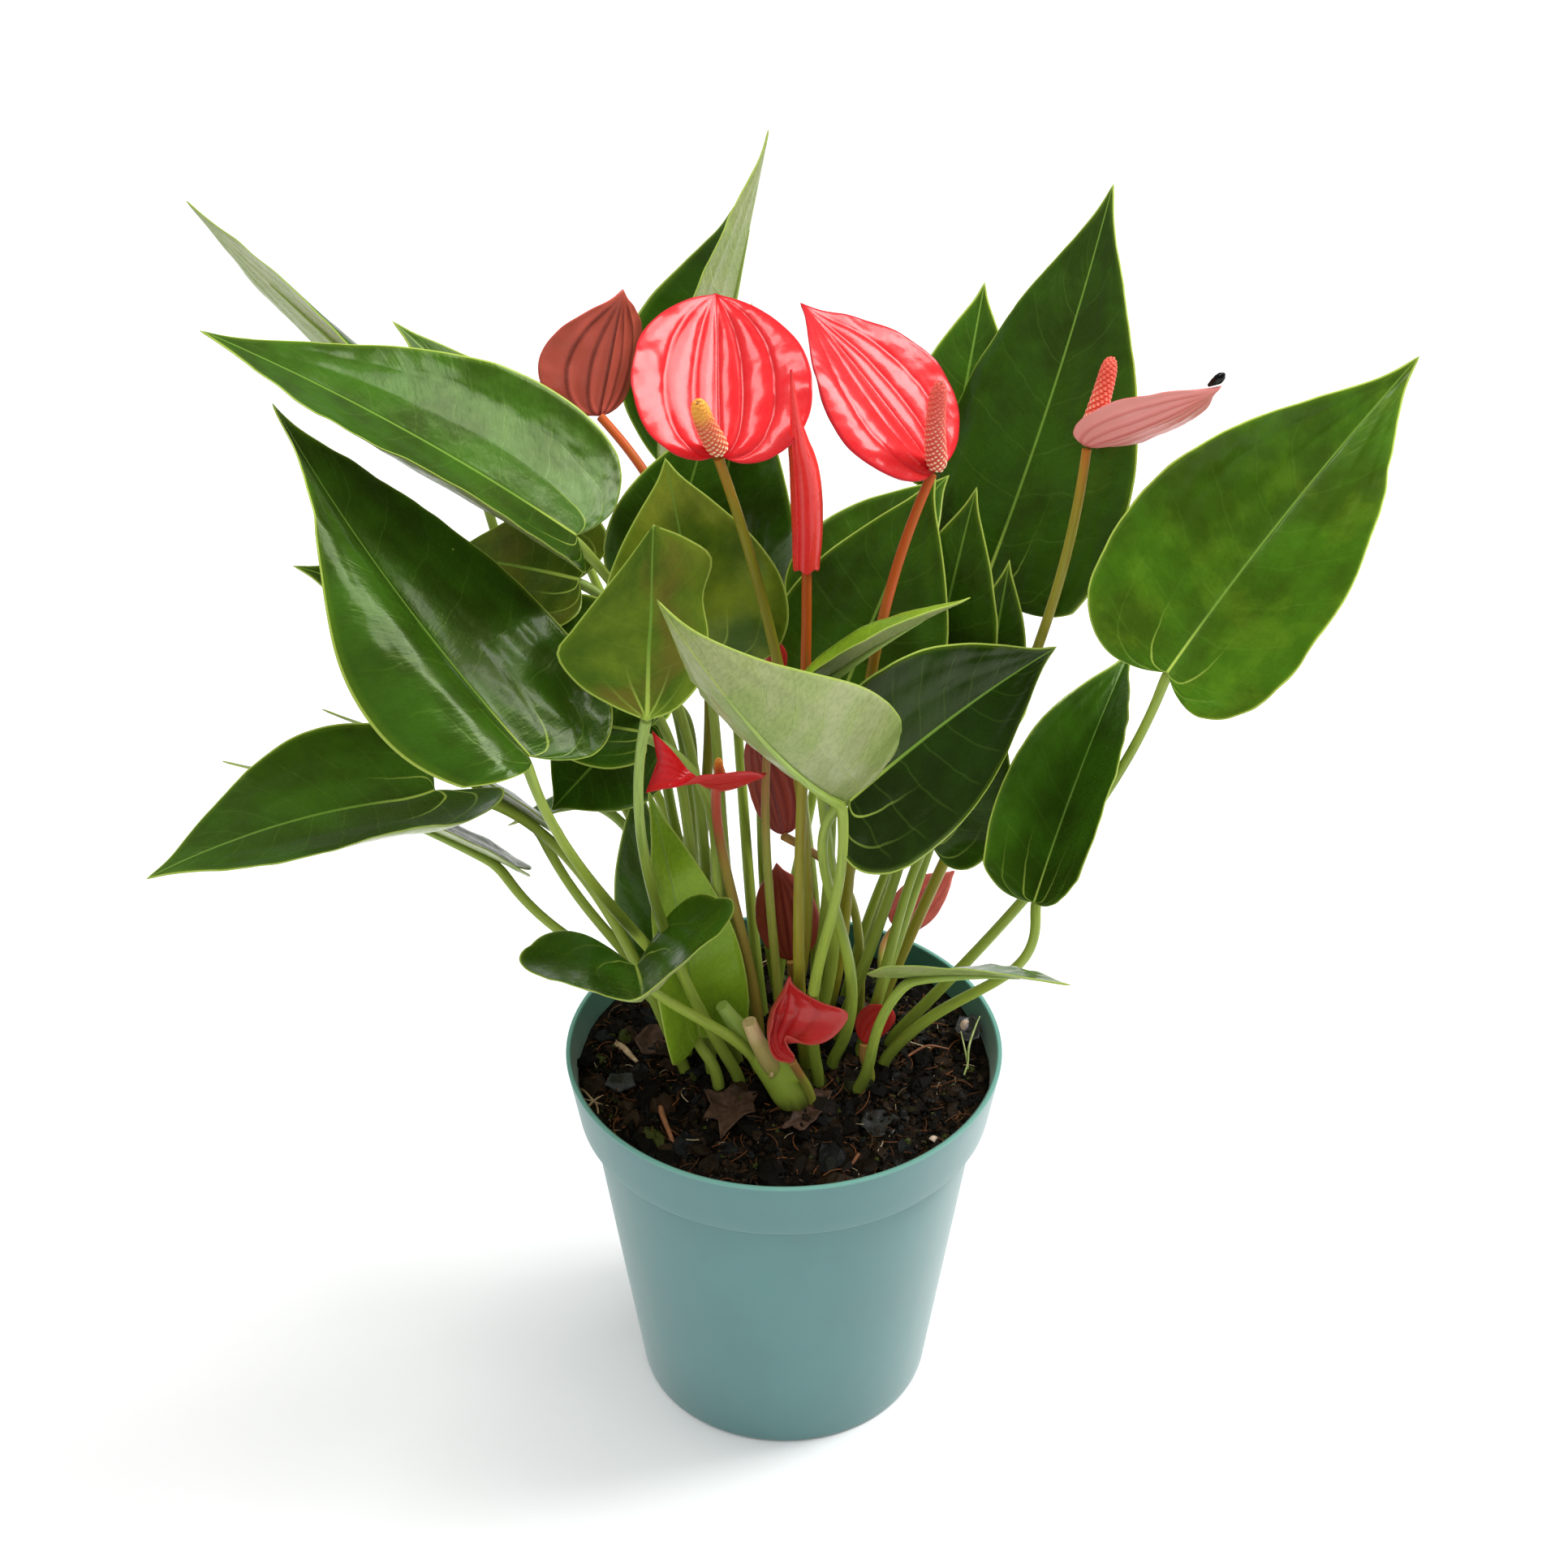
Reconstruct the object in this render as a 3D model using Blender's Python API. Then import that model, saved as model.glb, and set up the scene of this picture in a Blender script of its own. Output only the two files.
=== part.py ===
"""Potted anthurium: a tapered nursery pot filled with peat, with leaves and blooms on stems.

Units are metres, +Z is up, and the origin is the middle of the pot's flat underside.
Positions in the tables of leaves and blooms are millimetres in the same frame.
"""

import math
import random

import bmesh
import bpy
from mathutils import Vector

MM = 0.001
PLANT = "plant"

# Pot
POT_HEIGHT = 113.0
RIM_RADIUS = 60.4
COLLAR_RADIUS = 57.4
COLLAR_DEPTH = 18.5
SHOULDER_RADIUS = 54.3
BASE_RADIUS = 41.5
BASE_ROUNDING = 1.5
WALL = 1.6
LIP_ROUNDING = 0.5
FLOOR_THICKNESS = 2.0
DRAIN_RADIUS = 4.0
DRAIN_CIRCLE = 27.0
DRAIN_COUNT = 6
POT_SIDES = 32

# Peat
SOIL_LEVEL = 105.0
SOIL_CROWN = 3.0
SOIL_CROWN_RADIUS = 45.0
SOIL_ROUGHNESS = 1.4
SOIL_RINGS = 7
SOIL_SIDES = 26
SOIL_EDGE_INSET = 0.2
SOIL_EDGE_DROP = 1.0

# Stems
GAP = 0.3
HOLE_CLEARANCE = 0.6
HOLE_SIDES = 6
HOLE_ABOVE_SOIL = 6.0
ROOT_DEPTH = 8.0
STRAIGHT = 12.0
STEM_SIDES = 4
STEM_BASE_RADIUS = 1.7
STEM_TOP_RADIUS = 1.2
BUD_STEM_RADII = (1.4, 1.0)
SHORTEST_LEAN = 20.0
ARRIVAL_SHARE = 0.3

# Blades
BLADE_THICKNESS = 0.8
SPATHE_THICKNESS = 0.9
WIDE_BLADE = 45.0
FURLED = 45
STALK_UNDER_BLADE = 0.05
STALK_END_SHARE = 0.7
SHARP_ANGLE = 40

# Blooms: how the stalk and the spadix meet the spathe
STALK_DROP = 0.2
ARRIVAL_RISE = 2.5
FURLED_STALK_DROP = 3.4
FURLED_SPADIX_RISE = 2.2
SPADIX_AHEAD = 0.6
SPADIX_SIDES = 6
SPADIX_BEND = 0.03
BEAD_OUT = 0.12
BEAD_IN = -0.10

# Base colour and roughness of each finish, and the pieces that don't have their kind's usual one.
FINISHES = {
    "pot_plastic": ((0.16, 0.33, 0.31), 0.45),
    "peat": ((0.02, 0.013, 0.01), 0.95),
    "leaf_green": ((0.03, 0.11, 0.02), 0.35),
    "leaf_olive": ((0.10, 0.16, 0.04), 0.4),
    "stalk_green": ((0.25, 0.33, 0.06), 0.45),
    "spathe_red": ((0.72, 0.02, 0.03), 0.25),
    "spathe_pink": ((0.60, 0.10, 0.10), 0.35),
    "spathe_maroon": ((0.26, 0.05, 0.03), 0.4),
    "spadix_orange": ((0.80, 0.30, 0.16), 0.5),
}
OTHER_FINISH = {
    "leaf_middle_olive": "leaf_olive",
    "leaf_left_olive": "leaf_olive",
    "leaf_folded_yellow": "leaf_olive",
    "leaf_young_erect": "leaf_olive",
    "bloom_right_pink": "spathe_pink",
    "bud_back_right": "spathe_pink",
    "bloom_back_maroon": "spathe_maroon",
    "bud_middle_upper": "spathe_maroon",
    "bud_middle_lower": "spathe_maroon",
}

# Outlines from the stalk's junction to the tip: place along the blade in blade lengths,
# place across it in half widths, and the place on the midrib that this point is joined to.
LEAF_OUTLINE = (
    (-0.06, 0.28, 0.02),
    (-0.08, 0.60, 0.07),
    (0.00, 0.88, 0.16),
    (0.16, 1.0, 0.28),
    (0.36, 0.95, 0.43),
    (0.56, 0.74, 0.60),
    (0.75, 0.42, 0.76),
    (0.90, 0.13, 0.90),
)
SPATHE_OUTLINE = (
    (-0.10, 0.28, 0.02),
    (-0.10, 0.66, 0.08),
    (0.03, 0.93, 0.18),
    (0.22, 1.0, 0.31),
    (0.43, 0.96, 0.45),
    (0.63, 0.78, 0.60),
    (0.80, 0.46, 0.76),
    (0.92, 0.16, 0.90),
)


class Blade:
    """The curved surface of one leaf or spathe, from its junction to its tip."""

    def __init__(self, junction, tip, width, face, fold=8, arch=0.03, cup=0.0,
                 twist=0, lobe=1.0, lift=0.0, curl=(0.0, 0.0), sweep=0.0):
        self.junction = Vector(junction)
        span = Vector(tip) - self.junction
        self.length = span.length
        self.axis = span.normalized()
        facing = Vector(face)
        self.up = (facing - self.axis * facing.dot(self.axis)).normalized()
        self.left = self.up.cross(self.axis)
        self.half_width = width / 2
        self.fold = math.radians(fold)
        self.arch = arch
        self.cup = cup
        self.twist = math.radians(twist)
        self.lobe = lobe
        self.lift = lift
        self.curl = curl
        self.sweep = sweep

    def point(self, along, across):
        """The middle of the blade's thickness, at a place along and across it."""
        if along < 0:
            along *= self.lobe
        inside = min(max(along, 0.0), 1.0)
        turn = self.twist * inside
        up = self.up * math.cos(turn) + self.left * math.sin(turn)
        left = self.left * math.cos(turn) - self.up * math.sin(turn)
        bow = 4 * inside * (1 - inside)
        height = self.arch * self.length * (bow if along > 0 else 4 * along)
        out = abs(across)
        raised = math.sin(self.fold) * out + self.cup * out * out
        raised += self.curl[0 if across > 0 else 1] * out ** 3
        height += self.half_width * raised + self.lift * self.length * max(0.1 - along, 0.0)
        sideways = self.half_width * across * math.cos(self.fold) + self.sweep * self.length * bow
        return self.junction + self.axis * (self.length * along) + up * height + left * sideways

    def normal(self, along, across):
        step = 0.02
        run = self.point(along + step, across) - self.point(along - step, across)
        rise = self.point(along, across + step) - self.point(along, across - step)
        return run.cross(rise).normalized()


def material(name, color, roughness, metallic=0.0):
    made = bpy.data.materials.new(name)
    made.use_nodes = True
    shader = made.node_tree.nodes["Principled BSDF"]
    shader.inputs["Base Color"].default_value = (*color, 1.0)
    shader.inputs["Roughness"].default_value = roughness
    shader.inputs["Metallic"].default_value = metallic
    made.diffuse_color = (*color, 1.0)
    return made


def place(name, mesh, finish, origin=(0.0, 0.0, 0.0)):
    """Puts a mesh made in millimetres into the scene at its real size, with its own origin."""
    origin = Vector(origin)
    for vertex in mesh.verts:
        vertex.co = (vertex.co - origin) * MM
    bmesh.ops.recalc_face_normals(mesh, faces=mesh.faces[:])
    data = bpy.data.meshes.new(name)
    mesh.to_mesh(data)
    mesh.free()
    data.shade_smooth()
    data.set_sharp_from_angle(angle=math.radians(SHARP_ANGLE))
    data.materials.append(finish)
    made = bpy.data.objects.new(name, data)
    made.location = origin * MM
    made.parent = bpy.data.objects[PLANT]
    bpy.context.scene.collection.objects.link(made)
    return made


def blade_mesh(mesh, blade, outline, thickness):
    """Adds a closed blade: two faces split alike and the strip round their edge."""
    def pair(along, across):
        middle = blade.point(along, across)
        offset = blade.normal(along, across) * (thickness / 2)
        return mesh.verts.new(middle + offset), mesh.verts.new(middle - offset)

    cells = 2 if blade.half_width * 2 > WIDE_BLADE else 1
    start = pair(0.0, 0.0)
    end = pair(1.0, 0.0)
    ribs = [pair(rib, 0.0) for _, _, rib in outline]
    for side in (1, -1):
        rows = []
        for (along, across, rib), middle in zip(outline, ribs):
            row = [middle]
            for cell in range(1, cells + 1):
                share = cell / cells
                row.append(pair(rib + (along - rib) * share, side * across * share))
            rows.append(row)
        for face in (0, 1):
            flip = (side > 0) == (face == 0)

            def triangle(a, b, c):
                corners = (a[face], b[face], c[face])
                mesh.faces.new(corners if flip else corners[::-1])

            for cell in range(cells):
                triangle(start, rows[0][cell], rows[0][cell + 1])
                triangle(end, rows[-1][cell + 1], rows[-1][cell])
                for near, far in zip(rows, rows[1:]):
                    triangle(near[cell], far[cell], far[cell + 1])
                    triangle(near[cell], far[cell + 1], near[cell + 1])
        rim = [start] + [row[-1] for row in rows] + [end]
        for a, b in zip(rim, rim[1:]):
            first = (a[0], b[0], b[1])
            second = (a[0], b[1], a[1])
            for corners in (first, second):
                mesh.faces.new(corners[::-1] if side > 0 else corners)


def tube_mesh(mesh, points, radii, sides=STEM_SIDES):
    """Adds a closed tube through the points, with a flat cap at each end."""
    rings = []
    across = None
    for index, point in enumerate(points):
        ahead = points[min(index + 1, len(points) - 1)]
        behind = points[max(index - 1, 0)]
        along = (ahead - behind).normalized()
        if across is None:
            across = along.orthogonal().normalized()
        across = (across - along * across.dot(along)).normalized()
        third = along.cross(across)
        ring = []
        for corner in range(sides):
            angle = 2 * math.pi * corner / sides
            offset = across * math.cos(angle) + third * math.sin(angle)
            ring.append(mesh.verts.new(point + offset * radii[index]))
        rings.append(ring)
    for lower, upper in zip(rings, rings[1:]):
        for corner in range(sides):
            following = (corner + 1) % sides
            mesh.faces.new((lower[corner], lower[following], upper[following]))
            mesh.faces.new((lower[corner], upper[following], upper[corner]))
    mesh.faces.new(rings[0][::-1])
    mesh.faces.new(rings[-1])


def curve_points(start, start_handle, end_handle, end, count):
    """Evenly spaced points of one cubic curve."""
    points = []
    for index in range(count + 1):
        t = index / count
        points.append(
            start * (1 - t) ** 3
            + start_handle * (3 * t * (1 - t) ** 2)
            + end_handle * (3 * t * t * (1 - t))
            + end * t ** 3
        )
    return points


def ground(x, y):
    """Height of the peat's smooth surface, a little higher in the middle."""
    return SOIL_LEVEL + SOIL_CROWN * max(0.0, 1 - (x * x + y * y) / SOIL_CROWN_RADIUS ** 2)


def stem_route(root, end, arrival, steps, bow=0.35, lean=0.3, sway=(0.0, 0.0, 0.0)):
    """A stalk that leaves the peat straight and bends to arrive at its end in a direction."""
    x, y = root
    foot = Vector((x, y, ground(x, y) - ROOT_DEPTH))
    away = Vector((end.x - x, end.y - y, 0.0))
    reach = (end - foot).length
    rise = Vector((0.0, 0.0, 1.0)) + away * (lean / max(away.length, SHORTEST_LEAN))
    rise.normalize()
    top = foot + rise * STRAIGHT
    shift = Vector(sway)
    points = curve_points(
        top,
        top + rise * (bow * reach) + shift,
        end - arrival * (ARRIVAL_SHARE * reach) + shift,
        end,
        steps,
    )
    return [foot] + points


def tapered(count, bottom, top):
    return [bottom + (top - bottom) * index / (count - 1) for index in range(count)]


def union(name, first, others):
    """Joins solids that meet into one body and removes the ones that were added."""
    collection = bpy.data.collections.new(name + "_parts")
    for other in others:
        collection.objects.link(other)
    cut = first.modifiers.new("join", "BOOLEAN")
    cut.operation = "UNION"
    cut.operand_type = "COLLECTION"
    cut.collection = collection
    apply_modifiers(first)
    for other in others:
        bpy.data.objects.remove(other)
    bpy.data.collections.remove(collection)
    return first


def apply_modifiers(made):
    bpy.context.view_layer.update()
    graph = bpy.context.evaluated_depsgraph_get()
    mesh = bpy.data.meshes.new_from_object(made.evaluated_get(graph))
    made.modifiers.clear()
    made.data = mesh


def stalked_blade(name, leaf, root, outline, thickness, finish, radii):
    """One blade and the stalk that carries it, as two solids that meet at the junction."""
    shape = dict(leaf)
    route = {key: shape.pop(key) for key in ("bow", "lean", "sway") if key in shape}
    arrive = shape.pop("arrive", 0.8)
    steps = shape.pop("steps", 5)
    blade = Blade(**shape)
    mesh = bmesh.new()
    blade_mesh(mesh, blade, outline, thickness)
    foot = (*root, SOIL_LEVEL)
    body = place(name, mesh, finish, foot)
    arrival = (blade.axis + blade.up * arrive).normalized()
    points = stem_route(root, blade.point(0.0, 0.0), arrival, steps, **route)
    radius = tapered(len(points), *radii)
    points.append(blade.point(STALK_UNDER_BLADE, 0.0))
    radius.append(thickness * STALK_END_SHARE)
    mesh = bmesh.new()
    tube_mesh(mesh, points, radius)
    stalk = place(name + "_stalk", mesh, finish, foot)
    return body, stalk


def leaf_shoot(name, root, leaves, finish):
    """A shoot of one or more leaves whose stalks share one root."""
    solids = []
    for index, leaf in enumerate(leaves):
        solids += stalked_blade(
            f"{name}_{index}", leaf, root, LEAF_OUTLINE, BLADE_THICKNESS, finish,
            (STEM_BASE_RADIUS, STEM_TOP_RADIUS),
        )
    made = union(name, solids[0], solids[1:])
    made.name = name
    return made


# Each leafy shoot: where it leaves the peat, and its leaves with the stalk's junction, the tip
# and the direction that the upper side faces.
LEAF_SHOOTS = {
    "leaf_upper_left": ((-17, 3), [
        dict(junction=(-51, 0, 272), tip=(-140, 14, 320), width=62, face=(0.45, -0.15, 0.9), fold=11,
             curl=(0.2, 0.2), sway=(16, 4, 1)),
    ]),
    "leaf_facing_left": ((-18, -5), [
        dict(junction=(-60, -53, 242), tip=(-122, 1, 307), width=71, face=(0.7, -0.05, 0.7),
             fold=34, arch=0.01, cup=-0.4, curl=(-0.4, 0.0), sweep=0.07, lobe=0.3,
             bow=0.15, sway=(6, 24, -5)),
    ]),
    "leaf_low_left": ((-25, -4), [
        dict(junction=(-88, -20, 208), tip=(-153, -58, 210), width=52, face=(0.1, -0.1, 1), fold=2,
             arch=0.07, curl=(0.3, 0.25), arrive=0.3),
    ]),
    "leaf_back_left_tall": ((-15, 25), [
        dict(junction=(-79, 45, 271), tip=(-153, 74, 329), width=50, face=(0.6, 0.65, 0.45), fold=0,
             arch=-0.02, cup=-0.15, curl=(-0.15, 0.4), lobe=0.3),
    ]),
    "leaf_pair_behind_left": ((-21, 11), [
        dict(junction=(-72, 12, 233), tip=(-125, 19, 253), width=38, face=(0, -0.2, 1), sway=(8, 0, 0)),
        dict(junction=(-38, 11, 212), tip=(-62, 13, 182), width=36, face=(-0.2, -0.8, 0.5)),
    ]),
    "leaf_back_left_small": ((-8, 25), [
        dict(junction=(-62, 76, 246), tip=(-106, 94, 287), width=27, face=(0.3, -0.5, 0.8)),
    ]),
    "leaf_pair_left_edge": ((-25, 4), [
        dict(junction=(-64, 2, 185), tip=(-120, 11, 215), width=34, face=(0, 0.5, 0.85)),
        dict(junction=(-74, -8, 180), tip=(-145, 0, 206), width=36, face=(0, 0.5, 0.85)),
    ]),
    "leaf_back_tall": ((0, 25), [
        dict(junction=(-22, 55, 267), tip=(-4, 79, 346), width=52, face=(-0.95, 0.15, 0.2), fold=24,
             arch=0.0, curl=(0.7, 0.0), sway=(0, 1, -5)),
    ]),
    "leaf_right_tall": ((16, 17), [
        dict(junction=(52, 27, 243), tip=(84, 73, 334), width=65, face=(-0.6, -0.55, 0.55), fold=10,
             curl=(-0.25, -0.25), sweep=-0.04, lobe=0.3, sway=(-4, 11, 0)),
    ]),
    "leaf_right_far": ((27, 7), [
        dict(junction=(95, -12, 240), tip=(160, 41, 301), width=66, face=(-0.1, -0.7, 0.7), fold=32,
             arch=-0.04, cup=0.2, curl=(0.1, 0.2), sweep=0.02, lobe=0.6, bow=0.2,
             sway=(12, 5, -5)),
    ]),
    "leaf_front_right": ((13, -2), [
        dict(junction=(16, -39, 220), tip=(69, 4, 238), width=49, face=(0.5, -0.8, 0.3), fold=8,
             sweep=0.04, sway=(16, 0, 0)),
    ]),
    "leaf_right_hanging": ((25, -2), [
        dict(junction=(64, -26, 180), tip=(93, 36, 219), width=43, face=(-0.15, -0.5, 0.85), fold=48,
             arch=0.07, cup=0.4, curl=(-0.35, 0.15), lobe=0.3, sway=(10, 3, 0)),
    ]),
    "leaf_front_underside": ((9, -9), [
        dict(junction=(14, -45, 224), tip=(-27, -88, 304), width=42, face=(0.0, 0.85, 0.5),
             fold=32, arch=-0.1, cup=0.2, curl=(0.2, 0.2), sweep=0.03, lobe=0.3,
             sway=(-9, 8, 0)),
    ]),
    "leaf_middle_olive": ((-11, -8), [
        dict(junction=(-33, -36, 250), tip=(-31, -20, 284), width=44, face=(0, -0.7, 0.6), fold=10,
             bow=0.27, sway=(-8, 2, -2)),
    ]),
    "leaf_middle_behind": ((-6, 10), [
        dict(junction=(-20, -6, 243), tip=(-29, 8, 289), width=46, face=(0, -0.8, 0.5), fold=10),
    ]),
    "leaf_pair_inner_left": ((-11, 1), [
        dict(junction=(-46, -5, 239), tip=(-78, 5, 243), width=32, face=(0, -0.5, 0.85), sway=(-3, 0, 9)),
        dict(junction=(-36, -8, 220), tip=(-68, 4, 216), width=30, face=(0, -0.3, 0.9), sway=(0, 0, 6)),
    ]),
    "leaf_left_olive": ((-14, 11), [
        dict(junction=(-52, 12, 253), tip=(-88, 28, 251), width=38, face=(0, -0.5, 0.85)),
    ]),
    "leaf_back_left_middle": ((-12, 18), [
        dict(junction=(-31, 16, 250), tip=(-18, 28, 292), width=34, face=(0, -0.8, 0.5), sway=(0, 0, -3)),
    ]),
    "leaf_left_low_inner": ((-28, 14), [
        dict(junction=(-52, 26, 177), tip=(-75, 22, 171), width=19, face=(0, 0.3, 0.9), sway=(0, -5, 0)),
        dict(junction=(-33, 8, 134), tip=(-39, 10, 196), width=22, face=(-0.3, -0.9, 0.3)),
    ]),
    "leaf_young_erect": ((-17, -13), [
        dict(junction=(-23, -11, 124), tip=(-35, -7, 202), width=30, face=(0.5, -0.75, 0.3), fold=25,
             lobe=0.3, bow=0.3),
    ]),
    "leaf_back_middle": ((-5, 17), [
        dict(junction=(-16, 40, 219), tip=(-8, 42, 315), width=36, face=(-0.25, -0.95, -0.05), fold=0,
             arch=0.12, cup=-0.3, curl=(0.0, -0.3), lobe=0.6),
    ]),
    "leaf_middle_right": ((4, 11), [
        dict(junction=(13, 0, 220), tip=(38, 22, 277), width=48, face=(-0.3, -0.8, 0.5), sway=(2, -3, 0)),
    ]),
    "leaf_right_erect": ((12, 9), [
        dict(junction=(37, 4, 223), tip=(48, 16, 277), width=32, face=(-0.3, -0.8, 0.5)),
    ]),
    "leaf_folded_yellow": ((7, 4), [
        dict(junction=(8, -35, 251), tip=(44, -29, 271), width=24, face=(0.1, 0.35, 0.9), fold=20,
             sway=(14, 11, 0)),
    ]),
    "leaf_pair_back_right": ((8, 23), [
        dict(junction=(12, 21, 239), tip=(43, 46, 265), width=34, face=(0, -0.5, 0.8), sway=(0, 0, 5)),
        dict(junction=(44, 59, 260), tip=(53, 83, 303), width=29, face=(0, -0.8, 0.5)),
    ]),
    "leaf_pair_right_inner": ((19, 4), [
        dict(junction=(52, 8, 223), tip=(57, 15, 257), width=17, face=(0, -0.8, 0.5), sway=(0, 0, 7)),
        dict(junction=(38, -2, 183), tip=(54, 8, 227), width=34, face=(0, -0.8, 0.5), sway=(-2, 0, -3)),
    ]),
    "leaf_low_right": ((18, -10), [
        dict(junction=(32, -30, 159), tip=(70, -62, 181), width=30, face=(0, 0.6, 0.8), sway=(-12, -4, 0)),
    ]),
    "leaf_hidden_back": ((-3, 33), [
        dict(junction=(12, 66, 185), tip=(22, 122, 200), width=44, face=(0, 0.2, 1)),
    ]),
    "leaf_hidden_back_left": ((-13, 33), [
        dict(junction=(-45, 60, 180), tip=(-86, 95, 190), width=42, face=(0, 0.2, 1)),
    ]),
    "leaf_hidden_back_right": ((16, 28), [
        dict(junction=(44, 54, 176), tip=(72, 84, 182), width=36, face=(0, 0.2, 1)),
    ]),
}

# The thick shoot at the front: rings of its knob and of a cut stub, from the peat's surface.
KNOB_SIDES = 8
KNOB = (
    ((1.5, -3.5, -5.0), 3.6),
    ((1.0, -3.5, -1.0), 5.0),
    ((-0.5, -2.5, 2.5), 5.2),
    ((-4.0, -0.5, 7.0), 4.0),
    ((-8.0, 0.5, 12.0), 2.6),
    ((-12.0, 1.0, 18.0), 1.5),
)
STUB = (
    ((-1.0, -0.5, 2.0), 2.0),
    ((-4.5, 2.5, 10.0), 2.2),
    ((-7.0, 4.0, 15.0), 1.9),
)
CROWN_ROOT = (-1, -13)
CROWN_LEAF = dict(junction=(-38, -32, 164), tip=(-37, -64, 178), width=65, face=(-0.25, 0.35, 0.9),
                  fold=30, arch=-0.1, cup=-0.07, sweep=0.03, lobe=2.5, sway=(1, -3, 0))

# Each open bloom: where its stalk leaves the peat, its spathe and the tip of its spadix.
BLOOMS = {
    "bloom_round_red": dict(
        root=(-2, 5), spadix_tip=(-19, -42, 328), spadix_radius=2.3,
        route=dict(bow=0.16, sway=(24, 15, -3)),
        spathe=dict(junction=(-15, -30, 309), tip=(-16, 4, 331), width=46,
                    face=(0.15, -0.55, 0.8), fold=24, arch=0.0, cup=0.1),
    ),
    "bloom_heart_red": dict(
        root=(9, 16), spadix_tip=(36, -19, 322), spadix_radius=2.3,
        route=dict(bow=0.34, sway=(-5, -24, 2)),
        spathe=dict(junction=(36, -7, 293), tip=(4, 12, 328), width=41,
                    face=(0.6, -0.35, 0.75), fold=11, cup=-0.05, curl=(-0.15, 0.1), sweep=0.02,
                    lobe=0.2),
    ),
    "bloom_slim_red": dict(
        root=(6, -3), spadix_tip=(5, -13, 297), spadix_radius=1.2,
        route=dict(sway=(-4, 0, -7)),
        spathe=dict(junction=(5, -20, 274), tip=(1, -18, 321), width=18,
                    face=(0.3, 0.9, -0.1), fold=66, arch=0.03),
    ),
    "bloom_right_pink": dict(
        root=(21, 11), spadix_tip=(79, 14, 313), spadix_radius=1.9,
        route=dict(bow=0.39, sway=(6, 21, -4)),
        spathe=dict(junction=(74, 11, 291), tip=(103, -4, 314), width=25,
                    face=(-0.2, 0.8, 0.5), fold=12, arch=-0.04),
    ),
    "bloom_back_maroon": dict(
        root=(-21, 18), spadix_tip=(-48, 52, 303), spadix_radius=1.7,
        route=dict(bow=0.42, sway=(15, 3, -11)),
        spathe=dict(junction=(-47, 36, 287), tip=(-40, 41, 319), width=34,
                    face=(-0.65, 0.75, 0.05), fold=16, arch=0.0, cup=0.15),
    ),
    "bloom_small_red": dict(
        root=(-6, -3), spadix_tip=(-16, -30, 226), spadix_radius=1.2,
        route=dict(bow=0.2, sway=(7, 11, -2)),
        spathe=dict(junction=(-16, -25, 217), tip=(-33, -31, 230), width=26,
                    face=(0.2, -0.3, 0.9), fold=10, arch=0.08, lobe=1.6),
    ),
}

# Each young bloom, still furled round its spadix.
BUDS = {
    "bud_middle_upper": dict(root=(24, 17), junction=(0, 2, 182), tip=(-8, 2, 216), width=16,
                             face=(0.1, 1, 0.2), fold=25, bow=0.4, sway=(10, 8, 12)),
    "bud_middle_lower": dict(root=(2, 18), junction=(2, 12, 133), tip=(-2, 14, 164), width=18,
                             face=(0.1, 1, 0.2), fold=15),
    "bud_front_red": dict(root=(9, -17), junction=(1, -23, 121), tip=(4, -20, 143), width=17,
                          face=(-0.2, -0.8, 0.4), fold=25),
    "bud_front_right": dict(root=(27, -10), junction=(21, -5, 117), tip=(29, -6, 131), width=10,
                            face=(0.2, 0.9, 0.2), fold=35),
    "bud_back_right": dict(root=(27, 26), junction=(32, 42, 122), tip=(49, 50, 136), width=14,
                           face=(0, -0.6, 0.8), fold=25),
    "bud_inner_tip": dict(root=(0, -2), junction=(-3, 0, 226), tip=(-1, 0, 242), width=8,
                          face=(0, 1, 0.2), fold=45),
}


def spadix_points(foot, tip, radius):
    """Route and thickness of a spadix, narrow at its foot and rounded at its tip."""
    shares = (0.0, 0.06, 0.16, 0.3, 0.45, 0.6, 0.74, 0.86, 0.95, 1.0)
    sizes = (0.42, 0.8, 0.98, 1.0, 1.0, 0.96, 0.9, 0.8, 0.55, 0.2)
    bend = (tip - foot).orthogonal().normalized() * (SPADIX_BEND * (tip - foot).length)
    points = [foot.lerp(tip, share) + bend * (4 * share * (1 - share)) for share in shares]
    return points, [radius * size for size in sizes]


def beaded(mesh, points, radii, sides=SPADIX_SIDES):
    """Adds a tube whose corners stand out in turn, as rows of small beads."""
    first = len(mesh.verts)
    tube_mesh(mesh, points, radii, sides)
    mesh.verts.ensure_lookup_table()
    for ring in range(1, len(points) - 1):
        for corner in range(sides):
            vertex = mesh.verts[first + ring * sides + corner]
            relief = BEAD_OUT if (ring + corner) % 2 else BEAD_IN
            vertex.co += (vertex.co - points[ring]) * relief


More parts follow.
